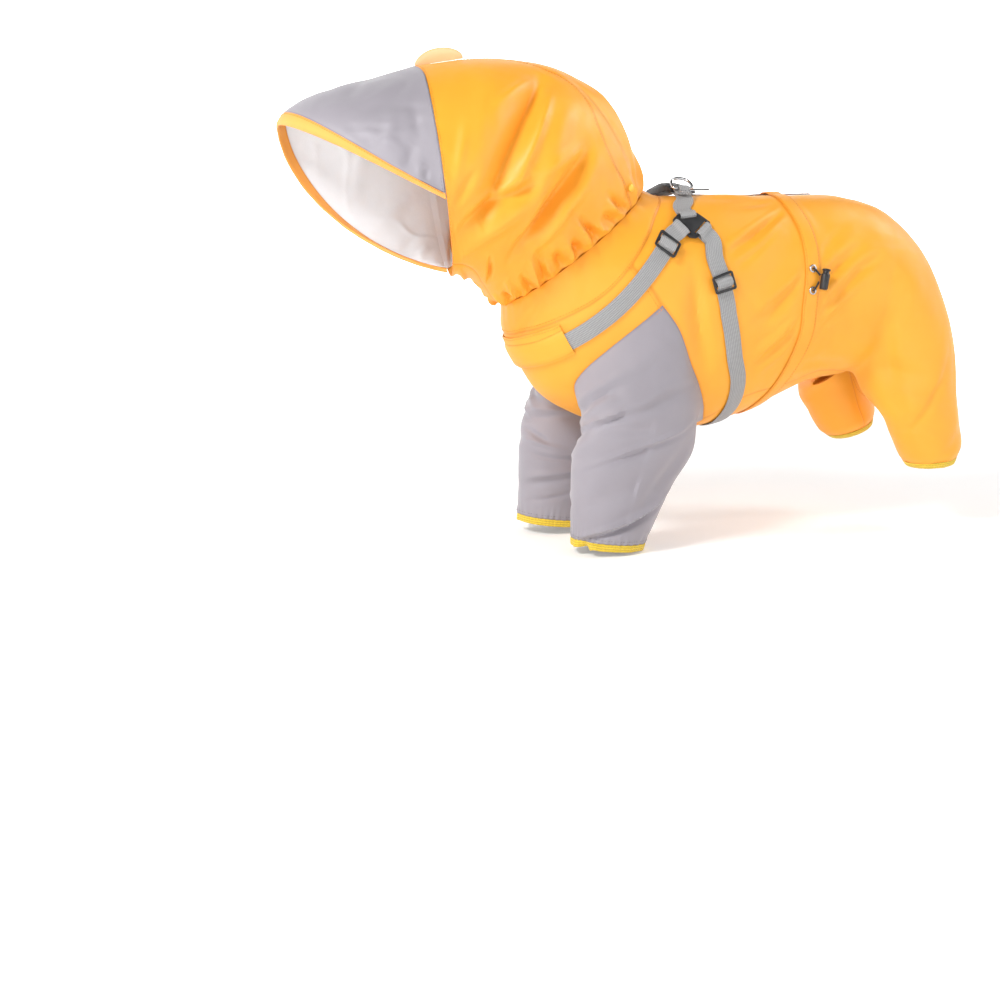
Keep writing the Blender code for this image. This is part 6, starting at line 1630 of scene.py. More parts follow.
    def build_binding(self, under: float) -> None:
        """The binding: a tape folded round the free edge, its section turned along it."""
        across, depth = self.stations(self.binding_reach)
        thick = LINING_CLOTH + under + 1.0
        section = [(self.binding, 0.5), (self.binding * 0.5, 0.62), (1.6, 0.5), (0.5, 0.05), (0.1, -0.35 * thick),
                   (0.5, -0.75 * thick), (1.6, 0.45 - thick), (self.binding * 0.5, 0.38 - thick),
                   (self.binding, 0.5 - thick)]
        rows = []
        for number, (inward, lift) in enumerate(section):
            out = 1 - np.minimum(inward, depth - 0.9) / depth
            flat = self.point(across, out)
            wrinkle = 0.22 * lattice_noise(flat, 7.0, 51) if 0 < number < len(section) - 1 else 0.0
            rows.append(flat + self.normal(across, out) * (lift + wrinkle)[:, None]
                        if not np.isscalar(wrinkle) else flat + self.normal(across, out) * lift)
        run = distances_along(rows[3]) * MM
        girth = distances_along(section) * MM
        points = np.stack(rows, 1).reshape(-1, 3)
        sides = len(section)
        faces = grid_faces(self.columns, sides, closed=True)
        last = (self.columns - 1) * sides
        faces += [list(range(sides))[::-1], [last + i for i in range(sides)]]
        cut = np.stack([np.repeat(run, sides), np.tile(girth, self.columns)], 1)
        seam = np.tile(np.array([0.2, 3.0, 3.0, 3.0, 3.0, 3.0, 3.0, 3.0, 0.2]), self.columns)
        piece = Piece("brim_binding_cloth", Look.BINDING, ["brim_binding"]).from_points(points, faces, cut, seam)
        LOG.info("%s is %.3f m long, folded round a core, and is no open sheet", piece.name, run[-1])


@dataclass
class Ear:
    """A small padded half-round ear in a crown seam."""

    side: Side
    half_chord: float = 23.5
    height: float = 13.5
    middle_ring: float = 5.42
    lean: float = 0.45
    thick: float = 3.0
    columns: int = 61
    rows: int = 16

    def build(self) -> None:
        """Make the ear, fullest in its middle and thin at its edge."""
        table = np.array(CROWN_SEAM)
        sign = self.side.value
        angle = np.interp(self.middle_ring, table[:, 0], table[:, 1]) * sign
        ends = HOOD.point(np.array([self.middle_ring - 0.1, self.middle_ring + 0.1]), np.array([angle, angle]))
        per_mm = 0.2 / np.linalg.norm(ends[1] - ends[0])
        along = np.sin(np.linspace(-1, 1, self.columns) * math.pi / 2) * 0.985 * self.half_chord
        rings = self.middle_ring + along * per_mm
        base = HOOD.point(rings, np.interp(rings, table[:, 0], table[:, 1]) * sign, 1.3)
        upward = HOOD.normal(np.array([self.middle_ring]), np.array([angle]))[0]
        forward = unit(ends[1] - ends[0])
        rise = unit(upward - self.lean * np.cross(forward, upward) * sign)
        aside = unit(np.cross(forward, rise))
        height = self.height * np.sqrt(1 - (along / self.half_chord) ** 2)
        front, back, cut, seam = [], [], [], []
        for row in range(self.rows):
            part = math.sin(0.5 * math.pi * row / (self.rows - 1))
            middle = base + rise * (height * part)[:, None]
            inset = np.minimum(height * (1 - part), self.half_chord - np.abs(along))
            half = 0.35 + (0.5 * self.thick - 0.35) * np.clip(inset / 5.0, 0, 1) ** 0.5
            half = half + 0.12 * lattice_noise(middle, 6.0, 61)
            front.append(middle + aside * half[:, None])
            back.append(middle - aside * half[:, None])
            cut.append(np.stack([along, height * part], 1) * MM)
            seam.append(inset)
        skin = Skin.joined(front, grid_faces(self.rows, self.columns), cut, seam)
        # The ear wears the painted highlight's pale peach.
        piece = Piece(f"ear_{self.side.word}_cloth", Look.PEACH, [f"ear_{self.side.word}"])
        piece.between(np.concatenate(front), np.concatenate(back), skin)


# ---------------------------------------------------------------- body

def folded_back(angles: np.ndarray) -> np.ndarray:
    """Angles past 180 as those of the left side."""
    return np.where(angles > 180, 360 - angles, angles)


def read_seam(seam: list, angles: np.ndarray) -> np.ndarray:
    """A cross seam's ring number at each angle."""
    fine = along_table(seam, np.linspace(0, len(seam) - 1, 400))
    return np.interp(folded_back(angles), fine[:, 1], fine[:, 0])


def collar_line(start: float, end: float) -> np.ndarray:
    """Points of the collar seam at 1.875 degree steps."""
    angles = np.linspace(start, end, int(round(abs(end - start) / 1.875)) + 1)
    return np.stack([read_seam(COLLAR_SEAM, angles), angles], 1)


def waist_seam(start: float, end: float) -> np.ndarray:
    """The seam that the casing covers."""
    angles = np.linspace(start, end, int(round(abs(end - start) / 2.0)) + 1)
    return np.stack([read_seam(WAIST_EDGE, angles) + WAIST_SEAM_BEHIND_EDGE, angles], 1)


def armhole() -> tuple[np.ndarray, np.ndarray]:
    """The armhole's front and rear lines, with the sleeve's turn at each point."""
    return (seam_line(ARMHOLE_FRONT, count=ARMHOLE_FRONT_STEPS),
            seam_line(ARMHOLE_REAR, count=ARMHOLE_REAR_STEPS))


def dorsal_angle(ring: np.ndarray) -> np.ndarray:
    """The angle that keeps the back seam on the middle plane as the leg rings move outwards."""
    row = along_table(BODY_RINGS, ring)
    leg = smooth_step((ring - HIP_RING) / (THIGH_RING - HIP_RING))
    sine = np.clip(HIND_LEG_OFF_CENTRE * leg / row[..., 4], 0, 1)
    return -np.degrees(np.arcsin(sine ** (row[..., 6] / 2)))


@dataclass
class Collar:
    """The band between the hood's gathers and the body's panels, lightly gathered at its edge by the hood."""

    rows: int = 12
    columns: int = 240
    gather: float = 0.55
    cut: Cut = Cut(0.055, 0.56, "stretched", ("side_left_cloth", "side_right_cloth", "chest_cloth"))

    def build(self) -> None:
        """Make the band and the stitches beside the collar seam."""
        angles = np.arange(self.columns) * 360.0 / self.columns
        edge = read_seam(COLLAR_SEAM, angles)
        points, cut, seam = [], [], []
        for row in range(self.rows):
            part = row / (self.rows - 1)
            rings = edge * part
            width = edge * BODY_METRIC[0]
            distance = np.minimum(part, 1 - part) * width
            smooth = TORSO.shape(rings, angles)
            wave = self.gather * np.sin(np.radians(angles * 34 + 40 * np.sin(np.radians(angles * 5))))
            lift = FEEL.lift(distance, smooth) + wave * np.exp(-part * width / 9.0) * smooth_step(
                np.full(self.columns, part * 6))
            points.append(TORSO.point(rings, angles, lift))
            cut.append(np.stack([rings * BODY_METRIC[0], angles * BODY_METRIC[1]], 1) * MM)
            seam.append(distance)
        points[0] = points[0] + unit(points[1] - points[0]) * SEAM_GAP / 2
        points[-1] = points[-1] + unit(points[-2] - points[-1]) * SEAM_GAP / 2
        faces = [face[::-1] for face in grid_faces(self.rows, self.columns, closed=True)]
        skin = Skin.joined(points, faces, cut, seam)
        skin.turn_outwards(TORSO.normal(np.full(self.columns, 0.6), angles), self.columns * 5)
        self.cut.make("collar_cloth", Look.ORANGE, "collar", skin)
        stitch_on(TORSO, np.stack([edge - 2.4 / BODY_METRIC[0], angles], 1), Look.ORANGE)


@dataclass
class Body:
    """Chest, two sides, belly and two rears, each with its hind leg cut in one."""

    chest: Cut = Cut(0.36, 0.20, "stretched", ("collar_cloth",))
    belly: Cut = Cut(0.16, 0.17, "stretched", ("chest_cloth",))
    side: Cut = Cut(0.26, 0.24, "stretched", ("collar_cloth",))
    rear: Cut = Cut(0.48, 0.38, "hung", ("side_left_cloth", "side_right_cloth"))

    def build(self) -> None:
        """Make the six panels."""
        front, rear = armhole()
        raglan = seam_line(RAGLAN_SEAM)
        belly_front = seam_line(BELLY_SEAM_FRONT)
        belly_rear = seam_line(BELLY_SEAM_REAR)
        breast = ring_line(BREAST_RING, 156, 204, 33)
        chest = outline_of(collar_line(RAGLAN_ANGLE, 360 - RAGLAN_ANGLE), to_right(raglan), to_right(front),
                           breast[::-1], front[::-1], raglan[::-1])
        Panel("chest_cloth", TORSO, chest, Look.ORANGE, self.chest).build("chest_panel")
        belly_end = ring_line(BELLY_END_RING, 166, 194, 15)
        belly = outline_of(breast, to_right(belly_front), to_right(belly_rear), belly_end[::-1],
                           belly_rear[::-1], belly_front[::-1])
        Panel("belly_cloth", TORSO, belly, Look.ORANGE, self.belly,
              open_edge=lambda line: line[:, 0] > BELLY_END_RING - 0.01).build("belly_panel")
        for side in Side:
            back = seam_line([(float(waist_seam(0, 10)[0][0]), 0.0), (float(collar_line(0, 10)[0][0]), 0.0)])
            outline = outline_of(collar_line(0, RAGLAN_ANGLE), raglan, rear[::-1], belly_front,
                                 waist_seam(142, 0), back)
            Panel(f"side_{side.word}_cloth", BODY[side], outline, Look.ORANGE, self.side
                  ).build(f"side_{side.word}")
            self.build_rear(side, belly_rear)
            stitch_on(BODY[side], beside(raglan, STITCH_FROM_SEAM, BODY_METRIC), Look.ORANGE)
            line = np.concatenate([front[:-1], rear])
            stitch_on(BODY[side], beside(line, -STITCH_FROM_SEAM, BODY_METRIC), Look.ORANGE)

    def build_rear(self, side: Side, belly_rear: np.ndarray) -> None:
        """The rear of one side with its leg; the legs stay open between them."""
        lower = seam_line(OPENING_LOWER)
        upper = seam_line(OPENING_UPPER + [(TAIL_RING, float(dorsal_angle(np.array(TAIL_RING))))])
        legs = np.linspace(THIGH_RING, HIND_CUFF_RING, 30)
        inner_down = np.stack([legs, np.full(30, 270.0)], 1)
        cuff = ring_line(HIND_CUFF_RING, 270, -90, 97)
        inner_up = np.stack([legs[::-1], np.full(30, -90.0)], 1)
        back = np.linspace(TAIL_RING, float(waist_seam(0, 10)[0][0]), 50)
        dorsal = np.stack([back, dorsal_angle(back)], 1)
        outline = outline_of(waist_seam(0, 142), belly_rear, lower, inner_down, cuff, inner_up, upper, dorsal)
        panel = Panel(f"rear_{side.word}_cloth", BODY[side], outline, Look.ORANGE, self.rear)
        panel.build(f"rear_{side.word}")
        surface = BODY[side]
        stitch_on(surface, beside(lower, 5.0, BODY_METRIC), Look.ORANGE)
        stitch_on(surface, beside(upper[:-2], 5.0, BODY_METRIC), Look.ORANGE)
        stitch_on(surface, ring_line(HIND_CUFF_RING - 0.16, -90, 270, 150), Look.ORANGE)


# ---------------------------------------------------------------- sleeves and cuffs

class SleeveShape:
    """A sleeve's rings: 0 is the armhole, and 1 to 5 go down the leg."""

    def __init__(self, side: Side) -> None:
        """Read the armhole for one side."""
        self.side = side
        front, rear = armhole()
        self.loop = np.concatenate([front[:-1], rear])

    def rows(self, turn: np.ndarray) -> np.ndarray:
        """The points of every ring at each turn."""
        sign = self.side.value
        within = np.mod(turn, 360.0)
        turns = self.loop[:, 2]
        ring, angle = (np.interp(within, turns, self.loop[:, k]) for k in (0, 1))
        lines = [BODY[self.side].shape(ring, angle)]
        radians = np.radians(within)
        forward = 0.0 if self.side is Side.LEFT else RIGHT_SLEEVE_FORWARD
        lift = 0.0 if self.side is Side.LEFT else RIGHT_SLEEVE_LIFT
        for row in SLEEVE_RINGS:
            along = -row.half_length * np.sin(radians)
            lines.append(np.stack([row.x - forward + along, -sign * (row.y + row.half_width * np.cos(radians)),
                                   row.z + lift - row.rear_drop * along / row.half_length
                                   - row.inner_drop * 0.5 * (1 - np.cos(radians))], -1))
        return np.stack(lines)

    def __call__(self, ring: np.ndarray, turn: np.ndarray) -> np.ndarray:
        """Points at ring and turn, smooth through the rings."""
        ring, turn = spread(ring, turn)
        lines = self.rows(turn)
        last = len(lines) - 1
        over = ring - np.clip(ring, 0, last)
        ring = np.clip(ring, 0, last)
        lower = np.minimum(ring.astype(int), last - 1)
        part = (ring - lower)[..., None]

        def pick(index: np.ndarray) -> np.ndarray:
            return np.take_along_axis(lines, np.clip(index, 0, last)[None, ..., None], axis=0)[0]

        here, after = pick(lower), pick(lower + 1)
        before = np.where((lower == 0)[..., None], 2 * here - after, pick(lower - 1))
        beyond = np.where((lower == last - 1)[..., None], 2 * after - here, pick(lower + 2))
        return between_rows(before, here, after, beyond, part) + (after - here) * over[..., None]


@dataclass
class Cuff:
    """A narrow ribbed elastic band below the last ring of a leg."""

    name: str
    ribs: int = 60
    wall: float = 1.8
    columns: int = 240
    rib_height: float = 0.28

    def build(self, surface: Surface, ring: float) -> None:
        """Make the band: its edges rounded, its ribs running down it."""
        angles = np.arange(self.columns) * 360.0 / self.columns
        end = surface.point(np.full(self.columns, ring), angles)
        above = surface.point(np.full(self.columns, ring - 0.2), angles)
        normal = surface.normal(np.full(self.columns, ring - 0.02), angles)
        down = unit(end - above)
        rib = self.rib_height * np.cos(np.radians(angles * self.ribs))
        section = [(0.0, -0.1), (0.6, 0.3), (CUFF_HEIGHT * 0.5, 0.45), (CUFF_HEIGHT - 0.6, 0.3),
                   (CUFF_HEIGHT, -0.2), (CUFF_HEIGHT, 0.5 - self.wall), (CUFF_HEIGHT * 0.5, 0.3 - self.wall),
                   (0.0, 0.4 - self.wall)]
        rows = []
        for number, (reach, lift) in enumerate(section):
            ribbed = rib if 0 < number < 4 else 0 * rib
            rows.append(end + down * (SEAM_GAP / 2 + reach) + normal * (lift + ribbed)[:, None])
        count = len(section)
        faces = grid_faces(count, self.columns, closed=True)
        first = (count - 1) * self.columns
        faces += [[first + i, first + (i + 1) % self.columns, (i + 1) % self.columns, i]
                  for i in range(self.columns)]
        run = distances_along(end) * MM
        girth = distances_along(section) * MM
        cut = np.stack([np.tile(run, count), np.repeat(girth, self.columns)], 1)
        piece = Piece(self.name + "_elastic", Look.CUFF, [self.name]).from_points(
            np.concatenate(rows), faces, cut, np.full(count * self.columns, 3.0))
        around = float(run[-1]) * self.columns / (self.columns - 1)
        Cut(around, CUFF_HEIGHT * MM + 0.0026, "stretched").declare(piece, around * CUFF_HEIGHT * MM)


@dataclass
class Sleeve:
    """A grey sleeve set into the armhole, with the folds of a standing leg."""

    side: Side
    rows: int = 84
    cut: Cut = Cut(0.30, 0.20, "hung", ("chest_cloth",))

    def build(self) -> None:
        """Make the sleeve, its cuff and their stitches."""
        surface = Surface(SleeveShape(self.side), SLEEVE_FOLDS, SLEEVE_METRIC, self.side.value)
        surface.creases = turned_round(SLEEVE_CREASES, False)
        front, rear = armhole()
        loop = np.concatenate([front[:-1], rear[:-1]])
        turns = loop[:, 2]
        count = len(turns)
        levels = SLEEVE_END * np.linspace(0, 1, self.rows)
        columns = np.arange(count)
        gather = 0.8 * np.sin(columns * 2 * math.pi * 30 / count + 1.5 * np.sin(columns * 2 * math.pi * 4 / count))
        points, cut, seam = [], [], []
        for level in levels:
            ring = np.full(count, level)
            distance = np.full(count, min(level, SLEEVE_END - level) * SLEEVE_METRIC[0])
            smooth = surface.shape(ring, turns)
            lift = FEEL.lift(distance, smooth) + gather * math.exp(-(SLEEVE_END - level) * SLEEVE_METRIC[0] / 10.0)
            if level == 0:
                points.append(BODY[self.side].point(loop[:, 0], loop[:, 1], lift))
            else:
                blend = float(smooth_step(level / 0.35))
                edge = BODY[self.side].point(loop[:, 0], loop[:, 1], lift) - BODY[self.side].shape(
                    loop[:, 0], loop[:, 1])
                own = surface.point(ring, turns, lift) - smooth
                points.append(smooth + own * blend + edge * (1 - blend))
            cut.append(np.stack([np.arange(count) * 360.0 / count * 0.8, ring * SLEEVE_METRIC[0]], 1) * MM)
            seam.append(distance)
        points[0] = points[0] + unit(points[1] - points[0]) * SEAM_GAP / 2
        points[-1] = points[-1] - unit(points[-1] - points[-2]) * SEAM_GAP / 2
        skin = Skin.joined(points, grid_faces(self.rows, count, closed=True), cut, seam)
        skin.turn_outwards(surface.normal(np.full(count, levels[40]), turns), count * 40)
        name = f"sleeve_{self.side.word}"
        self.cut.make(name + "_cloth", Look.GREY, name, skin)
        stitch_on(surface, ring_line(SLEEVE_END - 0.13, 0, 360, 150), Look.GREY)
        Cuff(f"cuff_front_{self.side.word}").build(surface, SLEEVE_END)


# ---------------------------------------------------------------- straps and hardware

BAR_LOOP = [(8.6, 3.25), (7.2, 3.9), (6.3, 5.2), (5.0, 6.4), (2.0, 6.5), (0.6, 5.9), (0.1, 4.7), (0.1, 2.7),
            (0.5, 1.65), (1.6, 1.3)]
SLIDE_WEAVE = [(-7.2, 3.2), (-5.2, 3.6), (-4.2, 4.8), (-3.3, 6.4), (-1.9, 7.2), (1.9, 7.2), (3.3, 6.4),
               (4.2, 4.8), (5.0, 3.0), (6.2, 1.7), (7.6, 1.3)]
BUCKLE_LOOP = [(-20.0, 1.3), (-10.0, 2.1), (-2.0, 2.7), (2.2, 2.9), (3.8, 3.8), (4.4, 5.2), (4.4, 7.0),
               (3.9, 8.4), (2.4, 9.2), (0.0, 9.2), (-2.2, 8.0), (-5.0, 6.3), (-14.0, 5.2)]


LEAST_CUT = 0.0101


@dataclass
class Band:
    """A woven band whose middle goes through places along and above its strip."""

    name: str
    strip: Strip
    route: list[tuple[float, float]]
    look: Look = Look.WEBBING
    width: float = WEBBING_WIDTH
    thick: float = WEBBING_THICK
    across: float = 0.0
    step: float = 3.0
    columns: int = 7
    swell: float = 0.0

    def stations(self) -> tuple[np.ndarray, np.ndarray]:
        """Places along the route at small steps, and the direction up from each."""
        route = np.array(self.route, float)
        parts = [route[:1]]
        for start, end in zip(route, route[1:]):
            count = max(1, int(math.ceil(abs(end[0] - start[0]) / self.step)))
            parts.append(start + (end - start) * (np.arange(1, count + 1) / count)[:, None])
        route = np.concatenate(parts)
        run = unit(np.diff(route, axis=0))
        ahead = np.concatenate([run, run[-1:]])
        heading = unit(np.concatenate([run[:1], run]) + ahead)
        widen = 1 / np.clip((heading * ahead).sum(axis=1), 0.6, 1)
        return route, np.stack([-heading[:, 1], heading[:, 0]], 1) * widen[:, None]

    def section(self) -> list[tuple[float, float]]:
        """The band's cross section: across and up, its edges a little rounded."""
        half, thick = 0.5 * self.width, 0.5 * self.thick
        rim = min(0.45, thick)
        spots = np.linspace(-1, 1, self.columns)
        lower = [(spot * half, -thick if abs(spot) < 1 else -thick + rim) for spot in spots]
        upper = [(spot * half, thick + self.swell * (1 - spot * spot) if abs(spot) < 1 else thick - rim)
                 for spot in spots[::-1]]
        return lower + upper

    def build(self, node: str) -> bpy.types.Object:
        """Make the band, which stands for a solid, and declare its cloth."""
        route, upward = self.stations()
        section = self.section()
        rows = []
        for aside, lift in section:
            at = route + upward * lift
            rows.append(self.strip.place(at[:, 0], self.across + aside, at[:, 1]))
        points = np.stack(rows, 1).reshape(-1, 3)
        sides = len(section)
        faces = grid_faces(len(route), sides, closed=True)
        for first in (0, len(points) - sides):
            for low in range(self.columns - 1):
                high = sides - 1 - low
                faces.append([first + low, first + low + 1, first + high - 1, first + high])
        run = distances_along(route) * MM
        cut = np.stack([np.repeat(run, sides), np.tile(np.array([s[0] for s in section]) * MM, len(route))], 1)
        edge = np.tile(np.array([0.5 * self.width - abs(s[0]) for s in section]), len(route))
        piece = Piece(self.name, self.look, [node]).from_points(points, faces, cut, edge)
        length = float(run[-1])
        Cut(max(self.width * MM, LEAST_CUT), length).declare(piece, self.width * MM * length)
        return piece

    def stitch(self, along: Sequence[float], half: float, height: float, look: Look = Look.WEBBING) -> None:
        """A bar of stitches across the band at each place along."""
        for place in along:
            aside = np.linspace(-half, half, 9) + self.across
            spots = self.strip.place(np.full(9, place), aside, np.full(9, height))
            outward = self.strip.axes(place)[2]
            THREADS[look].add(spots, np.tile(outward, (9, 1)), 0.05)


@dataclass
class Harness:
    """Chest, girth and top straps with their plates, slides, buckle and ring."""

    chest_slide: float = 28.0
    girth_slide: float = 60.0
    doubled_step: float = 7.0
    tail_length: float = 13.0
    buckle_near_end: float = 14.0
    buckle_length: float = 48.0
    ring_bar_along: float = -8.0
    ring_bar_height: float = 9.6
    ring_wire: float = 3.0
    ring_half_width: float = 10.5
    ring_depth: float = 18.0
    ring_slope: float = 20.0
    loop_width: float = 11.0
    loop_thick: float = 1.0

    def doubled_end(self, slide: float) -> list[tuple[float, float]]:
        """A strap from under its slide to the plate, back on top and down through the slide."""
        between_ends = np.linspace(slide - 1.5, 9.0, int(slide / self.doubled_step))
        route = [(along, STRAP_LAYER) for along in between_ends]
        route += BAR_LOOP[::-1]
        route += [(along, UPPER_LAYER) for along in between_ends[::-1] if 9.5 < along < slide - 8.0]
        return route + [(slide + along, height) for along, height in SLIDE_WEAVE]

    def build(self, chest: Strip, girth: Strip, top: Strip) -> None:
        """Make every strap and its hardware.

        Args:
            chest: The strip of the strap across the chest.
            girth: The strip of the strap under the belly.
            top: The strip of the strap over the withers.
        """
        for word, strip, slide in (("chest", chest, self.chest_slide), ("girth", girth, self.girth_slide)):
            end = self.doubled_end(slide)
            route = end + [(strip.length - along, height) for along, height in end[::-1]]
            band = Band(f"{word}_webbing", strip, route)
            band.build(f"{word}_strap")
            for side in Side:
                Piece(f"{word}_slide_{side.word}_frame", Look.BLACK).refined(f"{word}_slide_{side.word}", 0.55)
        for side in Side:
            Piece(f"junction_plate_{side.word}", Look.BLACK).refined(f"junction_{side.word}", 0.5)
        self.build_top(top)
        self.build_ring(top)

    def buckle_start(self, top: Strip) -> float:
        """Where the buckle's near end is along the top strap."""
        return float(np.interp(0.0, -top.track[:, 1], top.travelled)) - self.buckle_near_end

    def build_top(self, top: Strip) -> None:
        """The two halves of the top strap, each looped round its plate and its end of the buckle."""
        near = self.buckle_start(top)
        far = top.length - near - self.buckle_length
        for word, reach in (("left", near), ("right", far)):
            route = [(self.tail_length, UPPER_LAYER)] + BAR_LOOP
            route += [(reach + along, height) for along, height in BUCKLE_LOOP]
            ends = [self.tail_length - 2.6, self.tail_length - 4.4]
            if word == "right":
                route = [(top.length - along, height) for along, height in route]
                ends = [top.length - along for along in ends]
            band = Band(f"top_webbing_{word}", top, route, step=2.5)
            band.build(f"top_strap_{word}")
            band.stitch(ends, 7.0, UPPER_LAYER + 0.5 * WEBBING_THICK)
        Piece("buckle_socket_shell", Look.BLACK).refined("buckle_socket", 0.9, 4)
        Piece("buckle_tongue_shell", Look.BLACK).refined("buckle_tongue", 0.9, 4)

    def build_ring(self, top: Strip) -> None:
        """The D-shaped leash ring and the webbing loop that holds its bar."""
        along = self.buckle_start(top) + self.ring_bar_along
        middle = top.place(along, 0.0, self.ring_bar_height)
        ahead, aside, outward = top.axes(along)
        slope = math.radians(self.ring_slope)
        leaning = ahead * math.cos(slope) + outward * math.sin(slope)
        half, straight = self.ring_half_width, self.ring_depth - self.ring_half_width
        corner = 2.2
        path = [middle + aside * x for x in np.linspace(-half + corner, half - corner, 7)]
        for turn in np.radians(np.arange(15, 90, 15)):
            path.append(middle + aside * (half - corner + corner * math.sin(turn))
                        + leaning * corner * (1 - math.cos(turn)))
        path += [middle + aside * half + leaning * x for x in np.linspace(corner, straight, 4)]
        for turn in np.radians(np.arange(7.5, 180, 7.5)):
            path.append(middle + leaning * (straight + half * math.sin(turn)) + aside * half * math.cos(turn))
        path += [middle - aside * half + leaning * x for x in np.linspace(straight, corner, 4)]
        for turn in np.radians(np.arange(75, 0, -15)):
            path.append(middle - aside * (half - corner + corner * math.sin(turn))
                        + leaning * corner * (1 - math.cos(turn)))
        points, faces, cut = tube(np.array(path), 0.5 * self.ring_wire, 16, closed=True)
        Piece("leash_ring_wire", Look.STEEL, ["leash_ring"], "ring").from_points(points, faces, cut)
        height, thick = self.ring_bar_height, self.loop_thick
        radius = 0.5 * self.ring_wire + 0.35 + 0.5 * thick
        foot = height - radius
        route = [(along - 9.0, foot)]
        route += [(along + radius * math.sin(turn), height - radius * math.cos(turn))
                  for turn in np.radians(np.arange(0, 181, 15))]
        route += [(along - 3.4, height + 0.9), (along - 5.4, height - 0.85), (along - 9.0, height - 1.05)]
        band = Band("ring_webbing", top, route, width=self.loop_width, thick=thick)
        band.build("ring_loop")
        band.stitch([along - 6.4, along - 8.2], 4.2, height - 0.85 + 0.5 * thick)


def tube(path: np.ndarray, radius: float | np.ndarray, sides: int, closed: bool = False
         ) -> tuple[np.ndarray, list[list[int]], np.ndarray]:
    """A round bar along a path.

    Args:
        path: Points along its middle in mm.
        radius: Its radius, one number or one a point.
        sides: How many faces go round it.
        closed: Whether its end joins its start.

    Returns:
        Points, faces and places on its skin in metres.
    """
    count = len(path)
    run = np.gradient(path, axis=0)
    if closed:
        run = np.roll(path, -1, axis=0) - np.roll(path, 1, axis=0)
    run = unit(run)
    aside = np.zeros_like(path)
    aside[0] = unit(np.cross(run[0], np.array([0.31, 0.22, 0.92])))
    for i in range(1, count):
        aside[i] = unit(aside[i - 1] - run[i] * (aside[i - 1] @ run[i]))
    other = np.cross(run, aside)
    turn = np.arange(sides) * 2 * math.pi / sides
    thick = np.broadcast_to(np.asarray(radius, float), (count,))
    points = (path[:, None] + (np.cos(turn)[None, :, None] * aside[:, None]
                               + np.sin(turn)[None, :, None] * other[:, None]) * thick[:, None, None])
    faces = grid_faces(count, sides, closed=True)
    last = (count - 1) * sides
    if closed:
        gap = points[0] - points[-1, :1]
        shift = int(np.linalg.norm(gap, axis=1).argmin())
        faces += [[last + i, last + (i + 1) % sides, (i + 1 + shift) % sides, (i + shift) % sides]
                  for i in range(sides)]
    else:
        faces += [list(range(sides))[::-1], [last + i for i in range(sides)]]
    steps = distances_along(path) * MM
    cut = np.stack([np.repeat(steps, sides), np.tile(turn * float(thick.mean()) * MM, count)], 1)
    return points.reshape(-1, 3), faces, cut


@dataclass
class Keeper:
    """The patch on the chest with a tunnel for the chest strap."""

    edge_angle: float = 131.0
    top_space: float = 0.12
    low_reach: float = 13.5
    tunnel_half: float = 10.2
    foot: float = 13.4
    stations: int = 97
    cut: Cut = Cut(0.21, 0.052, "stretched", ("chest_cloth",))

    def build(self, strip: Strip) -> None:
        """Make the patch and the stitches that form its tunnel."""
        angles = strip.track[:, 1]
        first = float(np.interp(self.edge_angle, angles, strip.travelled))
        last = float(np.interp(360 - self.edge_angle, angles, strip.travelled))
        along = np.linspace(first, last, self.stations)
        spot = strip.flat(along, 0.0)
        change = strip.flat(along, 1.0) - spot
        ring, angle = spot[:, 0], spot[:, 1]
        ring_mm = np.linalg.norm(TORSO.shape(ring + 0.2, angle) - TORSO.shape(ring - 0.2, angle), axis=1) / 0.4
        rearward = np.sign(change[:, 0])
        reach_up = (ring - read_seam(COLLAR_SEAM, angle) - self.top_space) * ring_mm
        base = LAYER_GAP + 0.2 + CLOTH
        raised = STRAP_LAYER + 0.5 * WEBBING_THICK + LAYER_GAP + CLOTH
        full = np.ones(self.stations)
        sections = [(self.low_reach * full, base), (12.6 * full, base + 0.15), (11.4 * full, 0.5 * (base + raised)),
                    (self.tunnel_half * full, raised), (5.0 * full, raised + 0.25), (0.0 * full, raised + 0.3),
                    (-5.0 * full, raised + 0.25), (-self.tunnel_half * full, raised),
                    (-11.8 * full, 0.5 * (base + raised)), (-self.foot * full, base)]
        for part in (0.25, 0.5, 0.75, 0.97, 1.0):
            sections.append((-(self.foot + (reach_up - self.foot) * part), base - (0.12 if part == 1.0 else 0.0)))
        outer, inner, cut = [], [], []
        for across, height in sections:
            smooth = strip.place(along, rearward * across, height)
            uneven = 0.12 * lattice_noise(smooth, 9.0, 71)
            outer.append(strip.place(along, rearward * across, height + uneven))
            inner.append(strip.place(along, rearward * across, height + uneven - CLOTH + 0.05))
            cut.append(np.stack([along, across], 1) * MM)
        faces = grid_faces(len(sections), self.stations)
        seam = np.concatenate([np.minimum(np.abs(np.broadcast_to(a, self.stations) + self.foot) + 0.4, 9.0)
                               for a, _ in sections])
        skin = Skin(np.concatenate(outer), faces, np.concatenate(cut), seam)
        piece = Piece("strap_keeper_cloth", Look.ORANGE, ["strap_keeper"]).between(
            np.concatenate(outer), np.concatenate(inner), skin)
        self.cut.declare(piece, skin.area())
        line = strip.place(along, rearward * -self.foot, base)
        outward = unit(strip.place(along, rearward * -self.foot, base + 1.0) - line)
        THREADS[Look.ORANGE].add(line, outward, 0.12)
        top_edge = strip.place(along, -rearward * (reach_up - 1.8), base)
        THREADS[Look.ORANGE].add(top_edge, outward, 0.12)


# ---------------------------------------------------------------- zip, casing, drawcord and snap

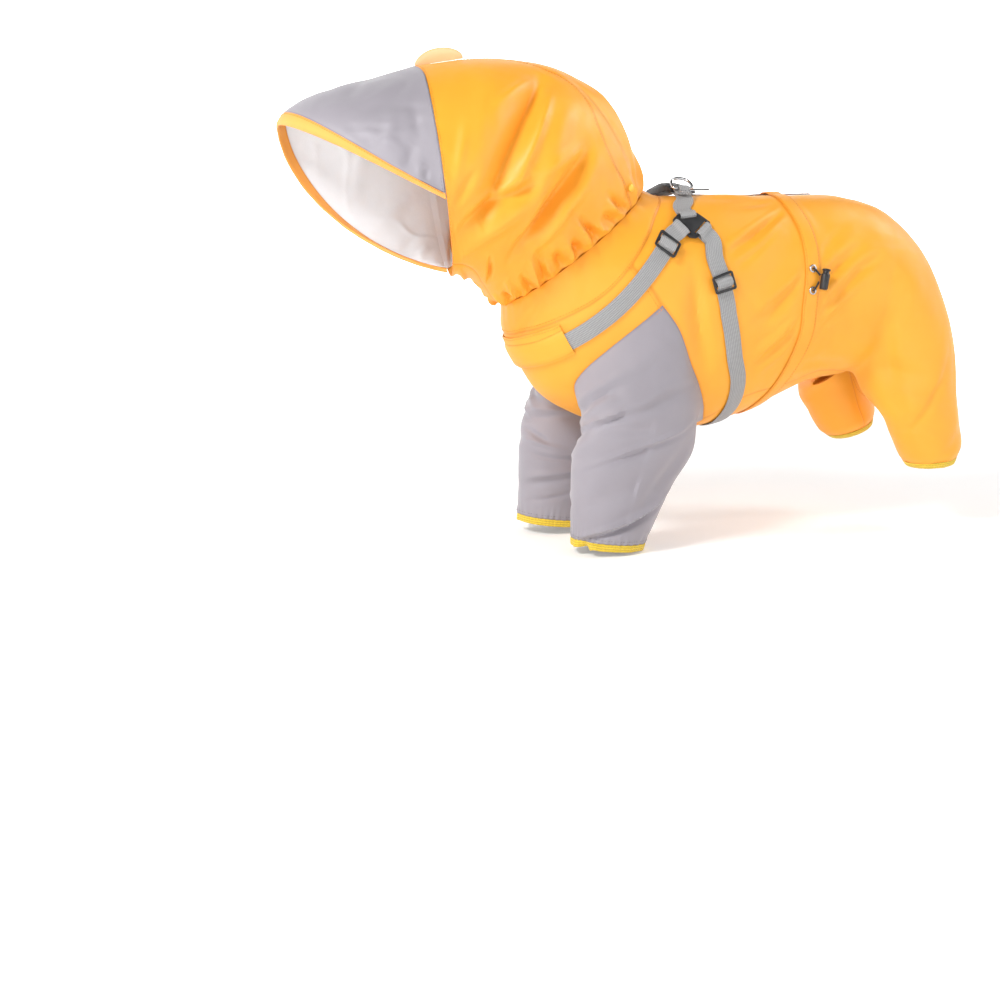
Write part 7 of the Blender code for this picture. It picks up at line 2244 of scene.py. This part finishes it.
def teeth_tree(material: bpy.types.Material) -> bpy.types.GeometryNodeTree:
    """Zip teeth along a line, each a small bar across it."""
    return row_tree("zip_teeth", {"Pitch": 0.0014, "Tooth Length": 0.0009, "Tooth Width": 0.0026,
                                  "Tooth Height": 0.0008},
                    "GeometryNodeMeshCylinder", {"Vertices": 6, "Radius": 0.5, "Depth": 1.0},
                    ("Tooth Height", "Tooth Width", "Tooth Length"), material, level=True)


@dataclass
class BackZip:
    """The navy zip along the back with its slider and pull."""

    start: tuple[float, float] = (2.95, 0.0)
    end: tuple[float, float] = (9.40, 0.0)
    width: float = 7.0
    thick: float = 1.6
    tape: float = 0.7

    def build(self) -> None:
        """Make the tape, its teeth, the slider and the pull."""
        strip = self.strip()
        low = LAYER_GAP + 0.1
        level = low + 0.5 * self.tape
        band = Band("zip_tape", strip, [(0, level), (strip.length, level)], Look.ZIP, self.width, self.tape, step=4.0)
        band.build("zip_strip")
        along = np.arange(0.6, strip.length - 0.5, 2.0)
        crest = low + self.tape + 0.3
        finished = converted(wire("zip_line", [strip.place(along, 0.0, crest)]), teeth_tree(Look.ZIP.material()),
                             {"Pitch": 0.0015, "Tooth Length": 0.0009})
        finished.uv_layers.new(name="cut")
        finished.attributes.new("seam", "FLOAT", "POINT")
        Piece("zip_teeth", Look.ZIP).from_mesh(finished, 30.0)
        for aside in (-0.5 * self.width + 1.0, 0.5 * self.width - 1.0):
            spots = strip.place(along, aside, low + self.tape)
            THREADS[Look.ORANGE].add(spots, np.tile([0.0, 0.0, 1.0], (len(along), 1)), 0.05)
        Piece("zip_slider_body", Look.DARK_METAL).refined("zip_slider", 0.6)
        Piece("zip_pull_tab", Look.DARK_METAL, body="pull").refined("zip_pull", 0.4)

    def strip(self) -> Strip:
        """The strip along the back."""
        return Strip(TORSO, [self.start, (0.5 * (self.start[0] + self.end[0]), 0.0), self.end])


@dataclass
class WaistCasing:
    """The raised drawcord casing round the waist, one band a side."""

    side: Side
    over_zip: float = 3.0
    level: float = 0.85

    def build(self) -> None:
        """Make the band, softly swollen by its cord, with a row of stitches on each edge."""
        strip = Strip(BODY[self.side], WAIST_EDGE)
        end = strip.length - 0.6
        route = [(0.6, self.over_zip), (5.0, self.over_zip), (10.0, self.level), (end, self.level)]
        band = Band(f"waist_casing_{self.side.word}_cloth", strip, route, Look.ORANGE, CASING_WIDTH, CLOTH,
                    across=self.side.value * 0.5 * CASING_WIDTH, step=2.0, columns=15, swell=0.5)
        band.build(f"waist_casing_{self.side.word}")
        along = np.arange(10.5, end, 2.0)
        for aside in (1.6, CASING_WIDTH - 1.6):
            place = self.side.value * np.full(len(along), aside)
            spots = strip.place(along, place, self.level + 0.5 * CLOTH)
            higher = strip.place(along, place, self.level + 0.5 * CLOTH + 1.0)
            THREADS[Look.ORANGE].add(spots, unit(higher - spots), 0.28)


@dataclass
class Drawcord:
    """Two eyelets in the left casing, the cord between them and its lock."""

    places: tuple = ((8.47, 76.0), (8.62, 87.0))
    level: float = 2.0
    diameter: float = 2.0
    holes: tuple = (3.2, -3.4)

    def build(self) -> None:
        """Make both eyelets, the lock and the cord's two short ends."""
        surface = BODY[Side.LEFT]
        strip = Strip(surface, self.places)
        ahead, aside, outward = strip.axes(0.5 * strip.length)
        mouths = []
        for (ring, angle), word in zip(self.places, ("upper", "lower")):
            base = surface.point(ring, angle, self.level)
            normal = surface.normal(ring, angle)
            Piece(f"eyelet_{word}_ring", Look.STEEL).refined(f"eyelet_{word}", 0.3)
            mouths.append((base + normal * 0.4, normal))
        middle = 0.5 * (mouths[0][0] + mouths[1][0]) + aside * 11.0 + outward * 5.2
        axis = unit(-ahead + 0.18 * aside)
        Piece("cord_lock_body", Look.BLACK).refined("cord_lock", 0.5)
        for (mouth, normal), word, along in zip(mouths, ("upper", "lower"), self.holes):
            target = middle + axis * along
            away = mouth + normal * 3.0 - target
            away = unit(away - axis * (away @ axis))
            end = target + away * 5.9
            start, bend = mouth + normal * 0.6, mouth + normal * 3.4
            points, faces, cut = tube(bent_line(start, bend, end, 18), 0.5 * self.diameter, 14)
            Piece(f"drawcord_{word}_end", Look.CORD, [f"drawcord_{word}"]).from_points(points, faces, cut)


# ---------------------------------------------------------------- studio

@dataclass
class Studio:
    """A pale floor, a white surround, soft lights and the camera."""

    floor_height: float = -0.3565
    camera_at: tuple[float, float, float] = (-0.664, -1.3701, -0.0397)
    azimuth: float = 19.3
    pitch: float = -10.5
    lens: float = 51.5

    def build(self) -> None:
        """Make the room round the coat."""
        self.build_floor()
        self.build_world()
        self.area("key", (-1.55, -0.75, 1.25), (0.0, 0.0, -0.1), 0.5, 31.0)
        self.area("low", (-1.0, -1.5, -0.22), (-0.25, 0.0, 0.0), 0.6, 3.0)
        self.area("back", (1.5, -0.1, 1.1), (0.2, 0.0, 0.0), 0.8, 13.0)
        self.build_sweep()
        self.build_camera()

    def build_floor(self) -> None:
        """A wide plain floor just under the cuffs, brighter away from the coat."""
        half, low = 6.0, self.floor_height
        pen = self.plane("floor", [(-half, -half, low), (half, -half, low), (half, half, low), (-half, half, low)])
        length = pen.add("ShaderNodeVectorMath", {0: pen.place()}, operation="LENGTH")
        pen.paint({"Emission Strength": pen.ramp(length.outputs["Value"], 0.9, 2.4, 0.22, 0.8)})

    def build_sweep(self) -> None:
        """White walls far round the coat: the brightest and highest one behind it."""
        half, low = 5.5, self.floor_height - 0.01
        turns = [(-half, half), (half, half), (half, -half), (-half, -half), (-half, half)]
        for number, ((x, y), (to_x, to_y)) in enumerate(zip(turns, turns[1:])):
            high = 2.6 if number else 6.0
            pen = self.plane(f"wall_{number}", [(x, y, low), (to_x, to_y, low), (to_x, to_y, high), (x, y, high)])
            pen.paint({"Emission Strength": 0.5 if number else 1.0})

    @staticmethod
    def plane(name: str, corners: list[tuple[float, float, float]]) -> NodePen:
        """A plain white four-cornered sheet of the studio, and the pen of its paint."""
        mesh = bpy.data.meshes.new(name)
        mesh.from_pydata(corners, [], [(0, 1, 2, 3)])
        sheet = linked(name, mesh)
        pen = NodePen(f"{name}_paint")
        pen.paint({"Base Color": (0.93, 0.93, 0.93, 1.0), "Roughness": 0.95,
                   "Emission Color": (1.0, 1.0, 1.0, 1.0)})
        mesh.materials.append(pen.material)
        return pen

    @staticmethod
    def build_world() -> None:
        """An even white surround."""
        world = bpy.data.worlds.new("surround")
        world.use_nodes = True
        background = world.node_tree.nodes["Background"]
        background.inputs["Color"].default_value = (1.0, 1.0, 1.0, 1.0)
        background.inputs["Strength"].default_value = 0.06
        bpy.context.scene.world = world
        bpy.context.scene.view_settings.view_transform = "Standard"

    @staticmethod
    def area(name: str, place: tuple, target: tuple, size: float, power: float) -> None:
        """A square soft light that looks at a target."""
        light = bpy.data.lights.new(name, "AREA")
        light.size = size
        light.energy = power
        lamp = linked(name, light)
        lamp.location = place
        lamp.rotation_euler = (Vector(target) - Vector(place)).to_track_quat("-Z", "Y").to_euler()

    def build_camera(self) -> None:
        """The camera, level and without shift or depth of field."""
        camera = bpy.data.cameras.new("camera")
        camera.lens = self.lens
        camera.sensor_width = 36.0
        camera.clip_end = 50.0
        eye = linked("camera", camera)
        eye.location = self.camera_at
        azimuth, pitch = math.radians(self.azimuth), math.radians(self.pitch)
        ahead = Vector((math.sin(azimuth) * math.cos(pitch), math.cos(azimuth) * math.cos(pitch), math.sin(pitch)))
        eye.rotation_euler = ahead.to_track_quat("-Z", "Y").to_euler()
        bpy.context.scene.camera = eye


# ---------------------------------------------------------------- the coat

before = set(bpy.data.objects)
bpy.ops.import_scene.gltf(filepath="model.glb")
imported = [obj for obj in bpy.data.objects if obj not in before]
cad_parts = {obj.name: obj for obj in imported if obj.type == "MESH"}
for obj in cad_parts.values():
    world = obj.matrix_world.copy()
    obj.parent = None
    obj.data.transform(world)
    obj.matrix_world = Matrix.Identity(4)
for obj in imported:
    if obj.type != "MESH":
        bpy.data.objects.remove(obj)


def keep_cloth_flat(chest: Strip, girth: Strip, top: Strip) -> None:
    """Tell the body's surfaces where straps, bands and plates lie on them."""
    half_strap = 0.5 * WEBBING_WIDTH + 2.5
    ring, angle = JUNCTION_PLACE
    casing = np.stack([read_seam(WAIST_EDGE, np.arange(0.0, 181.0, 3.0)) + 0.33, np.arange(0.0, 181.0, 3.0)], 1)
    back = np.stack([np.arange(2.9, 9.6, 0.15), np.zeros(45)], 1)
    bands = [(chest.track[::6], half_strap), (girth.track[::6], half_strap), (top.track[::6], half_strap + 1.0),
             (np.array([[ring, angle]]), 25.0), (casing, 0.5 * CASING_WIDTH + 3.0), (back, 8.0)]
    calm = FlatPlaces(bands)
    for surface in (TORSO, *BODY.values()):
        surface.calm = calm


def main() -> None:
    """Build every piece of the coat and the studio round it."""
    logging.basicConfig(level=logging.INFO, format="%(name)s %(message)s")
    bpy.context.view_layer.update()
    Studio().build()
    chest = round_strip(CHEST_SLOT, CHEST_STRAP, CHEST_STRAP_LOW)
    girth = round_strip(GIRTH_SLOT, GIRTH_STRAP, GIRTH_STRAP_LOW)
    top = top_strip()
    keep_cloth_flat(chest, girth, top)
    Hood().build()
    Brim().build()
    Collar().build()
    Body().build()
    for side in Side:
        Ear(side).build()
        Sleeve(side).build()
        Cuff(f"cuff_hind_{side.word}").build(BODY[side], HIND_CUFF_RING - 1e-6)
        WaistCasing(side).build()
    Harness().build(chest, girth, top)
    Keeper().build(chest)
    BackZip().build()
    Drawcord().build()
    Piece("hood_snap_cap", Look.SNAP).refined("hood_snap", 0.5)
    for rows in THREADS.values():
        rows.build()
    LOG.info("%d pieces made", len(Piece.made))


if __name__ == "__main__":
    main()
